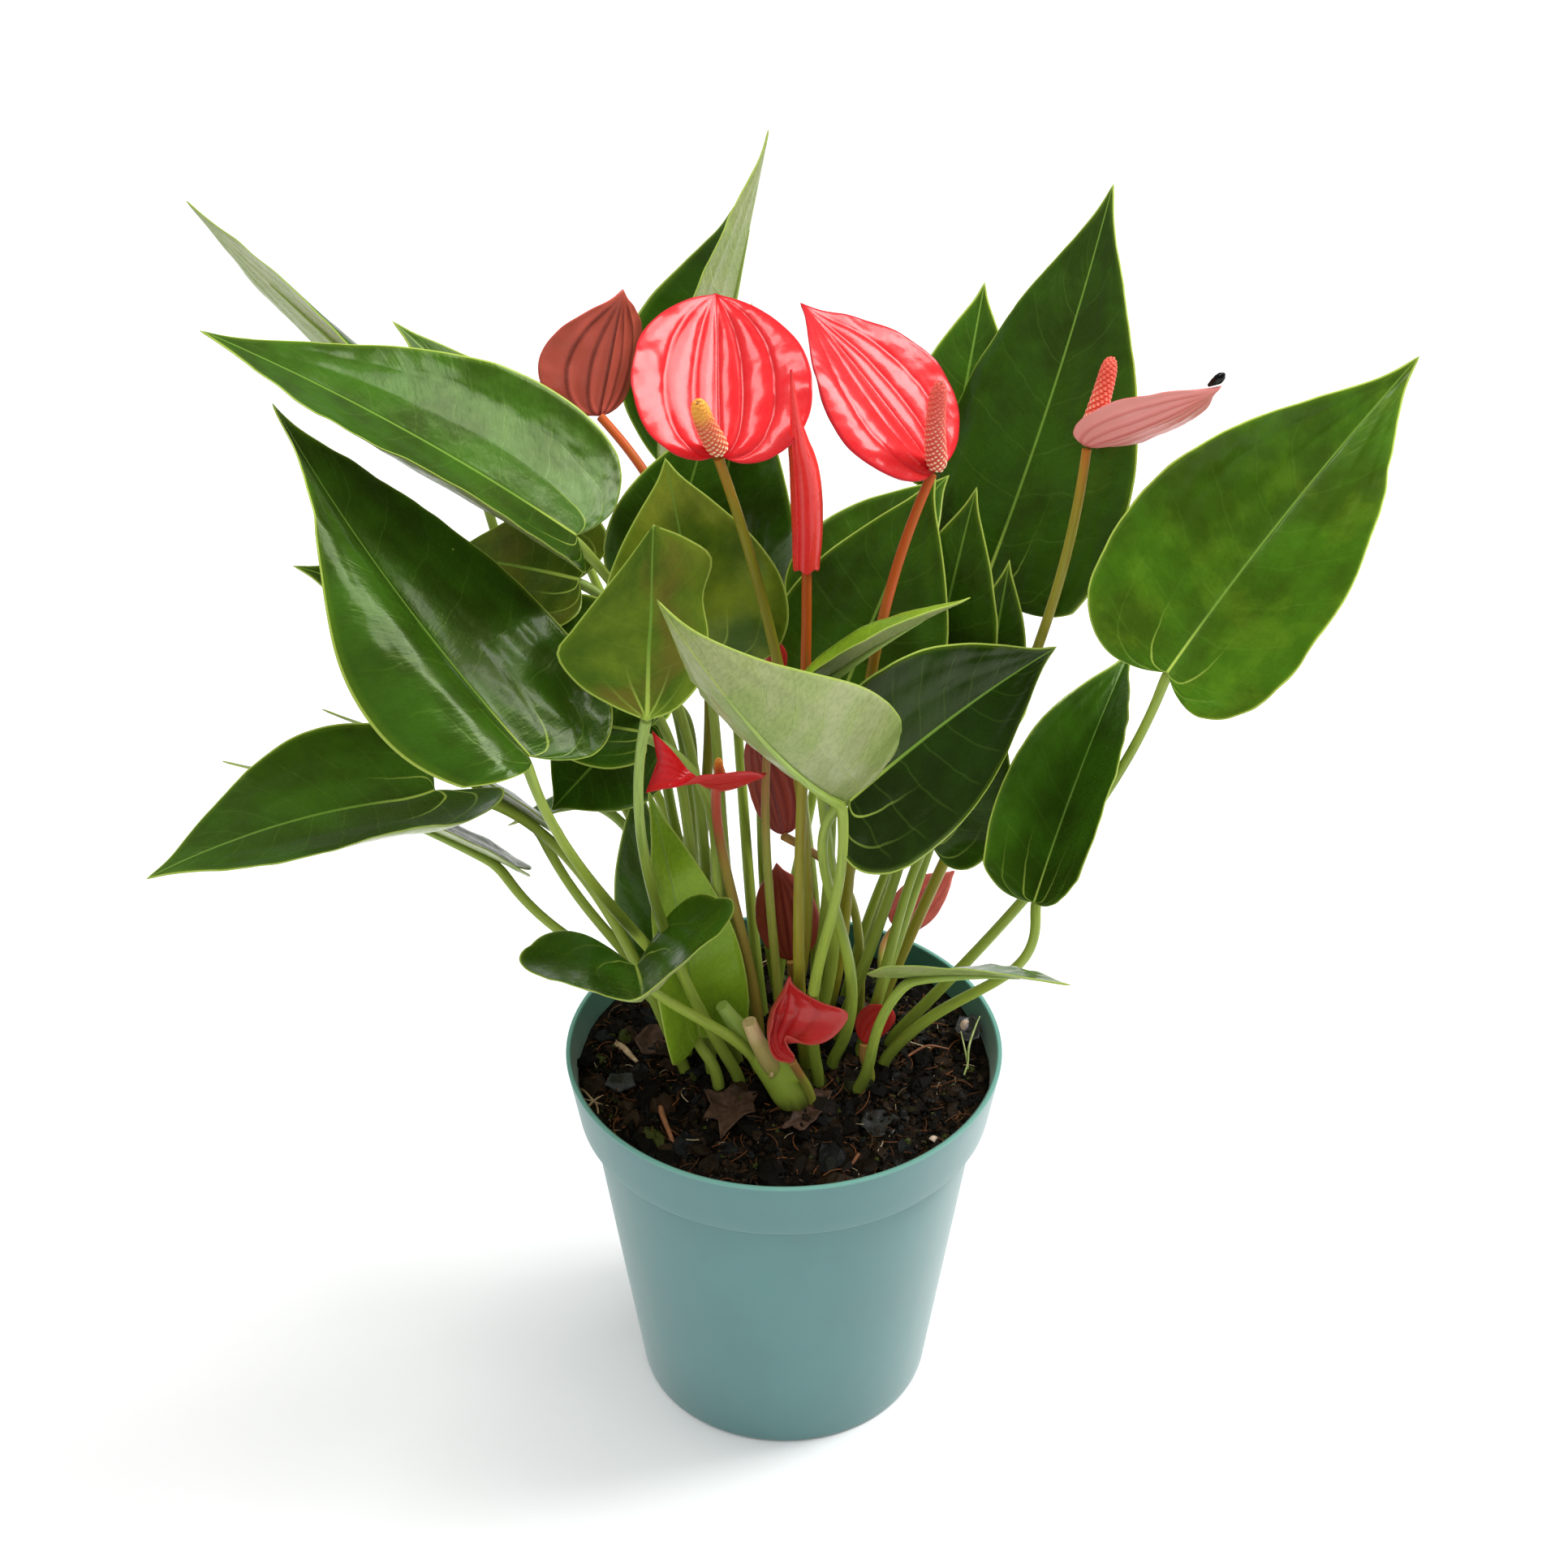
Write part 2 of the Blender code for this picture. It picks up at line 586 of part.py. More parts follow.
def bloom(name, spec, stalk_finish, spathe_finish, spadix_finish):
    """A stalk, a coloured spathe and a beaded spadix, a small gap apart where they meet."""
    blade = Blade(**spec["spathe"])
    clear = SPATHE_THICKNESS / 2 + GAP
    mesh = bmesh.new()
    blade_mesh(mesh, blade, SPATHE_OUTLINE, SPATHE_THICKNESS)
    place(name + "_spathe", mesh, spathe_finish, blade.junction)

    end = blade.junction - blade.up * (clear + STALK_DROP)
    arrival = (blade.up * ARRIVAL_RISE + blade.axis).normalized()
    if spec["spathe"]["fold"] > FURLED:
        end = blade.junction - blade.axis * (clear + FURLED_STALK_DROP)
        arrival = blade.axis
    points = stem_route(spec["root"], end, arrival, 7, **spec.get("route", {}))
    mesh = bmesh.new()
    tube_mesh(mesh, points, tapered(len(points), STEM_BASE_RADIUS, STEM_TOP_RADIUS))
    place(name + "_stalk", mesh, stalk_finish, (*spec["root"], SOIL_LEVEL))

    rise = clear + GAP + spec["spadix_radius"] / 4
    if spec["spathe"]["fold"] > FURLED:
        rise += FURLED_SPADIX_RISE
    foot = blade.junction + blade.up * rise + blade.axis * SPADIX_AHEAD
    mesh = bmesh.new()
    beaded(mesh, *spadix_points(foot, Vector(spec["spadix_tip"]), spec["spadix_radius"]))
    place(name + "_spadix", mesh, spadix_finish, foot)


def bud(name, spec, finish):
    """A young spathe that is still furled, in one piece with its stalk."""
    shape = {key: value for key, value in spec.items() if key != "root"}
    body, stalk = stalked_blade(
        name, dict(shape, arrive=0.1, steps=5), spec["root"], SPATHE_OUTLINE, SPATHE_THICKNESS,
        finish, BUD_STEM_RADII,
    )
    return union(name, body, [stalk])


def crown(finish):
    """The thick green shoot at the front, with a cut stub and the leaf that grows from it."""
    x, y = CROWN_ROOT
    leaf, stalk = stalked_blade(
        "crown_shoot", CROWN_LEAF, CROWN_ROOT, LEAF_OUTLINE, BLADE_THICKNESS,
        finish, (STEM_BASE_RADIUS, STEM_TOP_RADIUS),
    )
    base = Vector((x, y, ground(x, y)))
    others = [stalk]
    for label, rings, sides in (("knob", KNOB, KNOB_SIDES), ("stub", STUB, 6)):
        mesh = bmesh.new()
        points = [base + Vector(offset) for offset, _ in rings]
        tube_mesh(mesh, points, [radius for _, radius in rings], sides)
        others.append(place("crown_" + label, mesh, finish, base))
    return union("crown_shoot", leaf, others)


def turned(mesh, profile, sides):
    """Adds a solid of revolution whose profile starts and ends on the axis."""
    rings = []
    for radius, height in profile:
        if radius == 0:
            rings.append([mesh.verts.new((0.0, 0.0, height))])
            continue
        rings.append([
            mesh.verts.new((
                radius * math.cos(2 * math.pi * side / sides),
                radius * math.sin(2 * math.pi * side / sides),
                height,
            ))
            for side in range(sides)
        ])
    for lower, upper in zip(rings, rings[1:]):
        for side in range(sides):
            following = (side + 1) % sides
            corners = [lower[side % len(lower)], lower[following % len(lower)],
                       upper[following % len(upper)], upper[side % len(upper)]]
            mesh.faces.new(list(dict.fromkeys(corners)))
    return rings


def wall_radius(height):
    """Outer radius of the pot's body under its collar."""
    share = height / (POT_HEIGHT - COLLAR_DEPTH)
    return BASE_RADIUS + (SHOULDER_RADIUS - BASE_RADIUS) * share


def inner_profile(inset):
    """The pot's inner wall from its floor to its rim, moved inwards by an inset."""
    shoulder = POT_HEIGHT - COLLAR_DEPTH
    floor = FLOOR_THICKNESS + inset
    return [
        (wall_radius(floor) - WALL - inset, floor),
        (SHOULDER_RADIUS - WALL - inset, shoulder - 0.5 + inset),
        (COLLAR_RADIUS - WALL - inset, shoulder + WALL + inset),
        (RIM_RADIUS - WALL - inset, POT_HEIGHT),
    ]


def pot(finish):
    shoulder = POT_HEIGHT - COLLAR_DEPTH
    profile = [
        (0.0, 0.0),
        (BASE_RADIUS - BASE_ROUNDING, 0.0),
        (BASE_RADIUS - 0.3 * BASE_ROUNDING, 0.3 * BASE_ROUNDING),
        (wall_radius(BASE_ROUNDING), BASE_ROUNDING),
        (SHOULDER_RADIUS, shoulder),
        (COLLAR_RADIUS - LIP_ROUNDING, shoulder),
        (COLLAR_RADIUS, shoulder + LIP_ROUNDING),
        (RIM_RADIUS, POT_HEIGHT - LIP_ROUNDING),
        (RIM_RADIUS - LIP_ROUNDING, POT_HEIGHT),
    ]
    profile += inner_profile(0.0)[::-1]
    profile.append((0.0, FLOOR_THICKNESS))
    mesh = bmesh.new()
    turned(mesh, profile, POT_SIDES)
    body = place("pot", mesh, finish)
    holes = []
    for index in range(DRAIN_COUNT):
        angle = 2 * math.pi * index / DRAIN_COUNT
        centre = Vector((DRAIN_CIRCLE * math.cos(angle), DRAIN_CIRCLE * math.sin(angle), 0.0))
        mesh = bmesh.new()
        ends = [centre + Vector((0.0, 0.0, height)) for height in (-1.0, FLOOR_THICKNESS + 1.0)]
        tube_mesh(mesh, ends, [DRAIN_RADIUS, DRAIN_RADIUS], 10)
        holes.append(place("drain", mesh, finish))
    return difference(body, holes)


def difference(body, cutters):
    collection = bpy.data.collections.new("cutters")
    for cutter in cutters:
        collection.objects.link(cutter)
    cut = body.modifiers.new("cut", "BOOLEAN")
    cut.operation = "DIFFERENCE"
    cut.operand_type = "COLLECTION"
    cut.collection = collection
    apply_modifiers(body)
    for cutter in cutters:
        bpy.data.objects.remove(cutter)
    bpy.data.collections.remove(collection)
    return body


def stem_feet():
    """Where each stem enters the peat, and the point it leans towards."""
    feet = [(root, leaf["junction"], leaf.get("lean", 0.3))
            for root, leaves in LEAF_SHOOTS.values() for leaf in leaves]
    feet.append((CROWN_ROOT, CROWN_LEAF["junction"], 0.3))
    feet += [(spec["root"], spec["spathe"]["junction"], spec.get("route", {}).get("lean", 0.3))
             for spec in BLOOMS.values()]
    feet += [(spec["root"], spec["junction"], spec.get("lean", 0.3)) for spec in BUDS.values()]
    return feet


def soil(finish):
    """The peat that fills the pot, rough on top, with a plain hole round each stem."""
    draw = random.Random(11)
    inner = inner_profile(GAP)
    profile = [(0.0, inner[0][1])] + inner[:3]
    share = (SOIL_LEVEL - inner[2][1]) / (POT_HEIGHT - inner[2][1])
    edge = inner[2][0] + (inner[3][0] - inner[2][0]) * share - SOIL_EDGE_INSET
    profile.append((edge, SOIL_LEVEL - SOIL_EDGE_DROP))
    for ring in range(SOIL_RINGS, 0, -1):
        radius = edge * ring / (SOIL_RINGS + 1)
        profile.append((radius, ground(radius, 0.0)))
    profile.append((0.0, ground(0.0, 0.0)))
    mesh = bmesh.new()
    rings = turned(mesh, profile, SOIL_SIDES)
    for ring in rings[5:]:
        for vertex in ring:
            vertex.co.z += draw.uniform(-SOIL_ROUGHNESS, SOIL_ROUGHNESS)
    bmesh.ops.triangulate(mesh, faces=mesh.faces[:])
    body = place("soil", mesh, finish)
    holes = []
    for root, end, lean in stem_feet():
        route = stem_route(root, Vector(end), Vector((0.0, 0.0, 1.0)), 4, lean=lean)
        rise = (route[1] - route[0]).normalized()
        mesh = bmesh.new()
        ends = [route[0] - rise * GAP, route[0] + rise * (ROOT_DEPTH + HOLE_ABOVE_SOIL)]
        radius = STEM_BASE_RADIUS + HOLE_CLEARANCE
        tube_mesh(mesh, ends, [radius, radius], HOLE_SIDES)
        holes.append(place("hole", mesh, finish))
    x, y = CROWN_ROOT
    base = Vector((x, y, ground(x, y)))
    buried = KNOB[:4]
    points = [base + Vector(offset) for offset, _ in buried]
    points[0].z -= HOLE_CLEARANCE
    mesh = bmesh.new()
    tube_mesh(mesh, points, [radius + HOLE_CLEARANCE for _, radius in buried], KNOB_SIDES)
    holes.append(place("hole", mesh, finish))
    return difference(body, holes)


def main():
    for old in list(bpy.data.objects):
        bpy.data.objects.remove(old)
    bpy.context.scene.collection.objects.link(bpy.data.objects.new(PLANT, None))
    finish = {name: material(name, *values) for name, values in FINISHES.items()}
    pot(finish["pot_plastic"])
    soil(finish["peat"])
    crown(finish["leaf_green"])
    for name, (root, leaves) in LEAF_SHOOTS.items():
        leaf_shoot(name, root, leaves, finish[OTHER_FINISH.get(name, "leaf_green")])
    for name, spec in BLOOMS.items():
        spathe = finish[OTHER_FINISH.get(name, "spathe_red")]
        bloom(name, spec, finish["stalk_green"], spathe, finish["spadix_orange"])
    for name, spec in BUDS.items():
        bud(name, spec, finish[OTHER_FINISH.get(name, "spathe_red")])


main()
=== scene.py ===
import math

import bmesh
import bpy
import numpy as np
from bpy.props import FloatProperty, FloatVectorProperty, IntProperty, PointerProperty
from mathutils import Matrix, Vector, noise


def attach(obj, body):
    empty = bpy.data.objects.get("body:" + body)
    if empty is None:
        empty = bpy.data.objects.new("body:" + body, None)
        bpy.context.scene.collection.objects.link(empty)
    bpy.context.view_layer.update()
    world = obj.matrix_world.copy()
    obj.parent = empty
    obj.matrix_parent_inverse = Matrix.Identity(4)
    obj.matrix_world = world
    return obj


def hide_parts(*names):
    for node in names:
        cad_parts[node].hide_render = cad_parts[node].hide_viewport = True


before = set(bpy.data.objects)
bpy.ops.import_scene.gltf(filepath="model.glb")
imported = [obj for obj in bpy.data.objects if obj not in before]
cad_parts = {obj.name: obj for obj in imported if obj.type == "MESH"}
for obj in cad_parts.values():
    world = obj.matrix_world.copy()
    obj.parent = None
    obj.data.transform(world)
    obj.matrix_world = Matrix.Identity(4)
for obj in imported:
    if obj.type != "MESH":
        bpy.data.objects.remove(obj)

bl_info = {
    "name": "Potted anthurium",
    "version": (1, 0, 0),
    "blender": (4, 5, 0),
    "location": "View3D > Sidebar > Anthurium",
    "description": "Dresses the solids of a potted anthurium: pot, peat, leaves and blooms",
    "category": "Object",
}

MM = 0.001
BODY = "root"

# Place of the camera that took the photograph: its aim, distance and height over the horizon.
CAMERA_AIM = (0.0, 0.0, 0.199)
CAMERA_DISTANCE = 0.718
CAMERA_ELEVATION = 33.45
CAMERA_LENS = 63.45
CAMERA_SENSOR = 36.0

# Pot, in millimetres
POT_HEIGHT = 113.0
RIM_RADIUS = 60.4
COLLAR_RADIUS = 57.4
COLLAR_DEPTH = 18.5
SHOULDER_RADIUS = 54.3
BASE_RADIUS = 41.5
WALL = 1.6
FLOOR_THICKNESS = 2.0
DRAIN_RADIUS = 4.0
DRAIN_CIRCLE = 27.0
DRAIN_COUNT = 6

# Peat
SOIL_LEVEL = 105.0
SOIL_CROWN = 3.0
SOIL_CROWN_RADIUS = 45.0
SOIL_EDGE = 57.1

# Stems
ROOT_DEPTH = 8.0
STRAIGHT = 12.0
SHORTEST_LEAN = 20.0
ARRIVAL_SHARE = 0.3
STEM_BASE_RADIUS = 1.7
STEM_TOP_RADIUS = 1.2
BUD_STEM_RADII = (1.4, 1.0)
SPATHE_CLEARANCE = 0.75
STALK_DROP = 0.2
ARRIVAL_RISE = 2.5
FURLED = 45
FURLED_STALK_DROP = 3.4
FURLED_SPADIX_RISE = 2.2
SPADIX_AHEAD = 0.6
GAP = 0.3

# Outlines from the stalk's junction to the tip: place along the blade in blade lengths,
# place across it in half widths, and the place on the midrib that this point is joined to.
LEAF_OUTLINE = (
    (-0.07, 0.22, 0.02), (-0.11, 0.48, 0.05), (-0.07, 0.75, 0.11), (0.05, 0.94, 0.20),
    (0.20, 1.0, 0.31), (0.38, 0.94, 0.45), (0.57, 0.73, 0.61), (0.75, 0.42, 0.76), (0.90, 0.13, 0.90),
)
SPATHE_OUTLINE = (
    (0.00, 0.28, 0.02), (0.05, 0.60, 0.08), (0.17, 0.88, 0.18), (0.34, 1.0, 0.31),
    (0.51, 0.95, 0.46), (0.68, 0.76, 0.61), (0.82, 0.45, 0.76), (0.92, 0.16, 0.90),
)
ROUND_OUTLINE = (
    (-0.06, 0.25, 0.02), (-0.05, 0.56, 0.08), (0.05, 0.84, 0.18), (0.22, 0.99, 0.31),
    (0.42, 1.0, 0.45), (0.62, 0.88, 0.61), (0.80, 0.62, 0.77), (0.93, 0.30, 0.90),
)

# Each leafy shoot: where it leaves the peat, and its leaves with the stalk's junction, the tip
# and the direction that the upper side faces.
LEAF_SHOOTS = {
    "leaf_upper_left": ((-17, 3), [
        dict(junction=(-51, 0, 272), tip=(-140, 14, 320), width=62, face=(0.45, -0.15, 0.9), fold=11,
             curl=(0.32, 0.2), lobe=0.5, sway=(16, 4, 1)),
    ]),
    "leaf_facing_left": ((-18, -5), [
        dict(junction=(-60, -53, 242), tip=(-122, 1, 307), width=71, face=(0.7, -0.05, 0.7),
             fold=34, arch=0.01, cup=-0.4, curl=(-0.4, 0.25), sweep=0.07, lobe=(0.4, 0.65),
             bow=0.15, sway=(6, 24, -5)),
    ]),
    "leaf_low_left": ((-25, -4), [
        dict(junction=(-88, -20, 208), tip=(-153, -58, 210), width=52, face=(0.1, -0.1, 1), fold=2,
             arch=0.07, curl=(0.45, 0.2), lobe=(1.5, 0.4), lift=0.35, arrive=0.3),
    ]),
    "leaf_back_left_tall": ((-15, 25), [
        dict(junction=(-79, 45, 271), tip=(-153, 74, 329), width=50, face=(0.6, 0.65, 0.45), fold=0,
             arch=-0.02, cup=-0.15, curl=(-0.15, 0.4), lobe=0.3),
    ]),
    "leaf_pair_behind_left": ((-21, 11), [
        dict(junction=(-72, 12, 233), tip=(-125, 19, 253), width=38, face=(0, -0.2, 1), sway=(8, 0, 0)),
        dict(junction=(-38, 11, 212), tip=(-62, 13, 182), width=36, face=(-0.2, -0.8, 0.5)),
    ]),
    "leaf_back_left_small": ((-8, 25), [
        dict(junction=(-62, 76, 246), tip=(-106, 94, 287), width=27, face=(0.3, -0.5, 0.8)),
    ]),
    "leaf_pair_left_edge": ((-25, 4), [
        dict(junction=(-64, 2, 185), tip=(-120, 11, 215), width=34, face=(0, 0.5, 0.85)),
        dict(junction=(-74, -8, 180), tip=(-145, 0, 206), width=36, face=(0, 0.5, 0.85)),
    ]),
    "leaf_back_tall": ((0, 25), [
        dict(junction=(-22, 55, 267), tip=(-4, 79, 346), width=52, face=(-0.95, 0.15, 0.2), fold=24,
             arch=0.0, curl=(0.7, 0.0), sway=(0, 1, -5)),
    ]),
    "leaf_right_tall": ((16, 17), [
        dict(junction=(52, 27, 243), tip=(84, 73, 334), width=65, face=(-0.6, -0.55, 0.55), fold=10,
             curl=(-0.25, -0.25), sweep=-0.04, lobe=0.3, sway=(-4, 11, 0)),
    ]),
    "leaf_right_far": ((27, 7), [
        dict(junction=(95, -12, 240), tip=(160, 41, 301), width=66, face=(-0.1, -0.7, 0.7), fold=32,
             arch=-0.04, cup=0.2, curl=(0.1, 0.2), sweep=0.02, lobe=0.6, bow=0.2,
             sway=(12, 5, -5)),
    ]),
    "leaf_front_right": ((13, -2), [
        dict(junction=(16, -39, 220), tip=(69, 4, 238), width=49, face=(0.5, -0.8, 0.3), fold=8,
             sweep=0.04, sway=(16, 0, 0)),
    ]),
    "leaf_right_hanging": ((25, -2), [
        dict(junction=(64, -26, 180), tip=(93, 36, 219), width=43, face=(-0.15, -0.5, 0.85), fold=48,
             arch=0.07, cup=0.4, curl=(-0.35, 0.15), lobe=0.3, sway=(10, 3, 0)),
    ]),
    "leaf_front_underside": ((9, -9), [
        dict(junction=(14, -45, 224), tip=(-27, -88, 304), width=42, face=(0.0, 0.85, 0.5),
             fold=32, arch=-0.1, cup=0.2, curl=(0.2, 0.2), sweep=0.03, lobe=0.3,
             sway=(-9, 8, 0)),
    ]),
    "leaf_middle_olive": ((-11, -8), [
        dict(junction=(-33, -41, 244), tip=(-31, -20, 284), width=44, face=(0, -0.7, 0.6), fold=10,
             bow=0.27, sway=(-8, 2, -2)),
    ]),
    "leaf_middle_behind": ((-6, 10), [
        dict(junction=(-20, -6, 243), tip=(-29, 8, 289), width=46, face=(0, -0.8, 0.5), fold=10),
    ]),
    "leaf_pair_inner_left": ((-11, 1), [
        dict(junction=(-46, -5, 239), tip=(-78, 5, 243), width=32, face=(0, -0.5, 0.85), sway=(-3, 0, 9)),
        dict(junction=(-36, -8, 220), tip=(-68, 4, 216), width=30, face=(0, -0.3, 0.9), sway=(0, 0, 6)),
    ]),
    "leaf_left_olive": ((-14, 11), [
        dict(junction=(-52, 12, 253), tip=(-88, 28, 251), width=38, face=(0, -0.5, 0.85)),
    ]),
    "leaf_back_left_middle": ((-12, 18), [
        dict(junction=(-31, 16, 250), tip=(-18, 28, 292), width=34, face=(0, -0.8, 0.5), sway=(0, 0, -3)),
    ]),
    "leaf_left_low_inner": ((-28, 14), [
        dict(junction=(-52, 26, 177), tip=(-75, 22, 171), width=19, face=(0, 0.3, 0.9), sway=(0, -5, 0)),
        dict(junction=(-33, 8, 134), tip=(-39, 10, 196), width=22, face=(-0.3, -0.9, 0.3)),
    ]),
    "leaf_young_erect": ((-17, -13), [
        dict(junction=(-23, -11, 124), tip=(-35, -7, 202), width=30, face=(0.5, -0.75, 0.3), fold=25,
             lobe=0.3, bow=0.3),
    ]),
    "leaf_back_middle": ((-5, 17), [
        dict(junction=(-16, 40, 219), tip=(-8, 42, 315), width=36, face=(-0.25, -0.95, -0.05), fold=0,
             arch=0.12, cup=-0.3, curl=(0.0, -0.3), lobe=0.6),
    ]),
    "leaf_middle_right": ((4, 11), [
        dict(junction=(13, 0, 220), tip=(38, 22, 277), width=48, face=(-0.3, -0.8, 0.5), sway=(2, -3, 0)),
    ]),
    "leaf_right_erect": ((12, 9), [
        dict(junction=(37, 4, 223), tip=(48, 16, 277), width=32, face=(-0.3, -0.8, 0.5)),
    ]),
    "leaf_folded_yellow": ((7, 4), [
        dict(junction=(8, -35, 251), tip=(44, -29, 271), width=24, face=(0.1, 0.35, 0.9), fold=20,
             sway=(14, 11, 0)),
    ]),
    "leaf_pair_back_right": ((8, 23), [
        dict(junction=(12, 21, 239), tip=(43, 46, 265), width=34, face=(0, -0.5, 0.8), sway=(0, 0, 5)),
        dict(junction=(44, 59, 260), tip=(53, 83, 303), width=29, face=(0, -0.8, 0.5)),
    ]),
    "leaf_pair_right_inner": ((19, 4), [
        dict(junction=(52, 8, 223), tip=(57, 15, 257), width=17, face=(0, -0.8, 0.5), sway=(0, 0, 7)),
        dict(junction=(38, -2, 183), tip=(54, 8, 227), width=34, face=(0, -0.8, 0.5), sway=(-2, 0, -3)),
    ]),
    "leaf_low_right": ((18, -10), [
        dict(junction=(32, -30, 159), tip=(70, -62, 181), width=30, face=(0, 0.6, 0.8), lean=0.5, bow=0.25),
    ]),
    "leaf_hidden_back": ((-3, 33), [
        dict(junction=(12, 66, 185), tip=(22, 122, 200), width=44, face=(0, 0.2, 1)),
    ]),
    "leaf_hidden_back_left": ((-13, 33), [
        dict(junction=(-45, 60, 180), tip=(-86, 95, 190), width=42, face=(0, 0.2, 1)),
    ]),
    "leaf_hidden_back_right": ((16, 28), [
        dict(junction=(44, 54, 176), tip=(72, 84, 182), width=36, face=(0, 0.2, 1)),
    ]),
}

# The thick shoot at the front: rings of its knob and of a cut stub, from the peat's surface.
KNOB = (
    ((3.8, -6.0, -3.0), 3.4),
    ((3.4, -5.8, 0.8), 4.8),
    ((2.2, -5.2, 4.0), 5.3),
    ((-0.6, -4.2, 8.2), 4.9),
    ((-4.6, -3.0, 13.4), 4.1),
    ((-8.6, -2.2, 19.0), 3.1),
    ((-12.4, -2.4, 25.0), 2.3),
    ((-15.6, -3.0, 31.0), 1.8),
)
STUB = (
    ((-1.5, -6.0, 10.0), 2.2),
    ((-3.4, -6.8, 15.5), 2.5),
    ((-6.0, -7.2, 22.0), 2.3),
    ((-8.3, -7.4, 29.0), 2.0),
)
# A pale scar on the knob, near the foot of the stub
SCAR = ((-3.6, -21.6, 118.2), (-3.4, -21.9, 119.4), (-3.2, -21.8, 120.6))
CROWN_ROOT = (-1, -13)
CROWN_LEAF = dict(junction=(-38, -32, 164), tip=(-37, -64, 178), width=65, face=(-0.25, 0.35, 0.9),
                  fold=30, arch=-0.1, cup=-0.07, sweep=0.03, lobe=2.5, sway=(1, -3, 0))

# Each open bloom: where its stalk leaves the peat, its spathe and the tip of its spadix.
BLOOMS = {
    "bloom_round_red": dict(
        root=(-2, 5), spadix_tip=(-19, -42, 328), spadix_radius=2.3, turn=0.88,
        route=dict(bow=0.16, sway=(24, 15, -3)),
        spathe=dict(junction=(-15, -30, 309), tip=(-16, 6, 333), width=43,
                    face=(0.15, -0.55, 0.8), fold=18, arch=0.0, cup=0.1),
    ),
    "bloom_heart_red": dict(
        root=(9, 16), spadix_tip=(36, -19, 322), spadix_radius=2.3, puff=0.5,
        route=dict(bow=0.34, sway=(-5, -24, 2)),
        spathe=dict(junction=(36, -7, 293), tip=(4, 12, 328), width=41,
                    face=(0.6, -0.35, 0.75), fold=11, cup=-0.05, curl=(-0.15, 0.1), sweep=0.02,
                    lobe=0.2),
    ),
    "bloom_slim_red": dict(
        root=(6, -3), spadix_tip=(5, -13, 297), spadix_radius=1.2,
        route=dict(sway=(-4, 0, -7)),
        spathe=dict(junction=(5, -20, 274), tip=(1, -18, 321), width=18,
                    face=(0.3, 0.9, -0.1), fold=66, arch=0.03),
    ),
    "bloom_right_pink": dict(
        root=(21, 11), spadix_tip=(79, 14, 313), spadix_radius=2.4, turn=0.88,
        route=dict(bow=0.39, sway=(6, 21, -4)),
        spathe=dict(junction=(74, 11, 291), tip=(103, -4, 314), width=25,
                    face=(-0.2, 0.8, 0.5), fold=12, arch=-0.04),
        knob=((100.2, -2.8, 313.6), (101.2, -3.2, 314.6), (102.2, -3.7, 315.6), (102.9, -4.1, 316.6),
              (103.4, -4.4, 317.4)),
    ),
    "bloom_back_maroon": dict(
        root=(-21, 18), spadix_tip=(-48, 52, 303), spadix_radius=1.7,
        route=dict(bow=0.42, sway=(15, 3, -11)),
        spathe=dict(junction=(-47, 36, 287), tip=(-40, 41, 319), width=34,
                    face=(-0.65, 0.75, 0.05), fold=16, arch=0.0, cup=0.15),
    ),
    "bloom_small_red": dict(
        root=(-6, -3), spadix_tip=(-16, -30, 226), spadix_radius=1.2,
        route=dict(bow=0.2, sway=(7, 11, -2)),
        spathe=dict(junction=(-16, -25, 217), tip=(-33, -31, 230), width=26,
                    face=(0.2, -0.3, 0.9), fold=10, arch=0.08, lobe=1.6),
    ),
}

# Each young bloom, still furled round its spadix.
BUDS = {
    "bud_middle_upper": dict(root=(24, 17), junction=(0, 2, 182), tip=(-8, 2, 216), width=16,
                             face=(0.1, 1, 0.2), fold=25, bow=0.4, sway=(10, 8, 12)),
    "bud_middle_lower": dict(root=(2, 18), junction=(2, 12, 133), tip=(-2, 14, 164), width=18,
                             face=(0.1, 1, 0.2), fold=15),
    "bud_front_red": dict(root=(9, -17), junction=(2, -27, 128), tip=(2, -20, 151), width=18,
                          face=(-0.2, -0.8, 0.4), fold=25, lean=0.5, bow=0.2, arrive=1.0),
    "bud_front_right": dict(root=(24, -8), junction=(22, -6, 118), tip=(29, -6, 131), width=12,
                            face=(0.2, 0.9, 0.2), fold=35, bow=0.1),
    "bud_back_right": dict(root=(27, 26), junction=(32, 42, 122), tip=(49, 50, 136), width=14,
                           face=(0, -0.6, 0.8), fold=25),
    "bud_inner_tip": dict(root=(0, -2), junction=(-3, 0, 226), tip=(-1, 0, 242), width=8,
                          face=(0, 1, 0.2), fold=45),
}


# Shapes


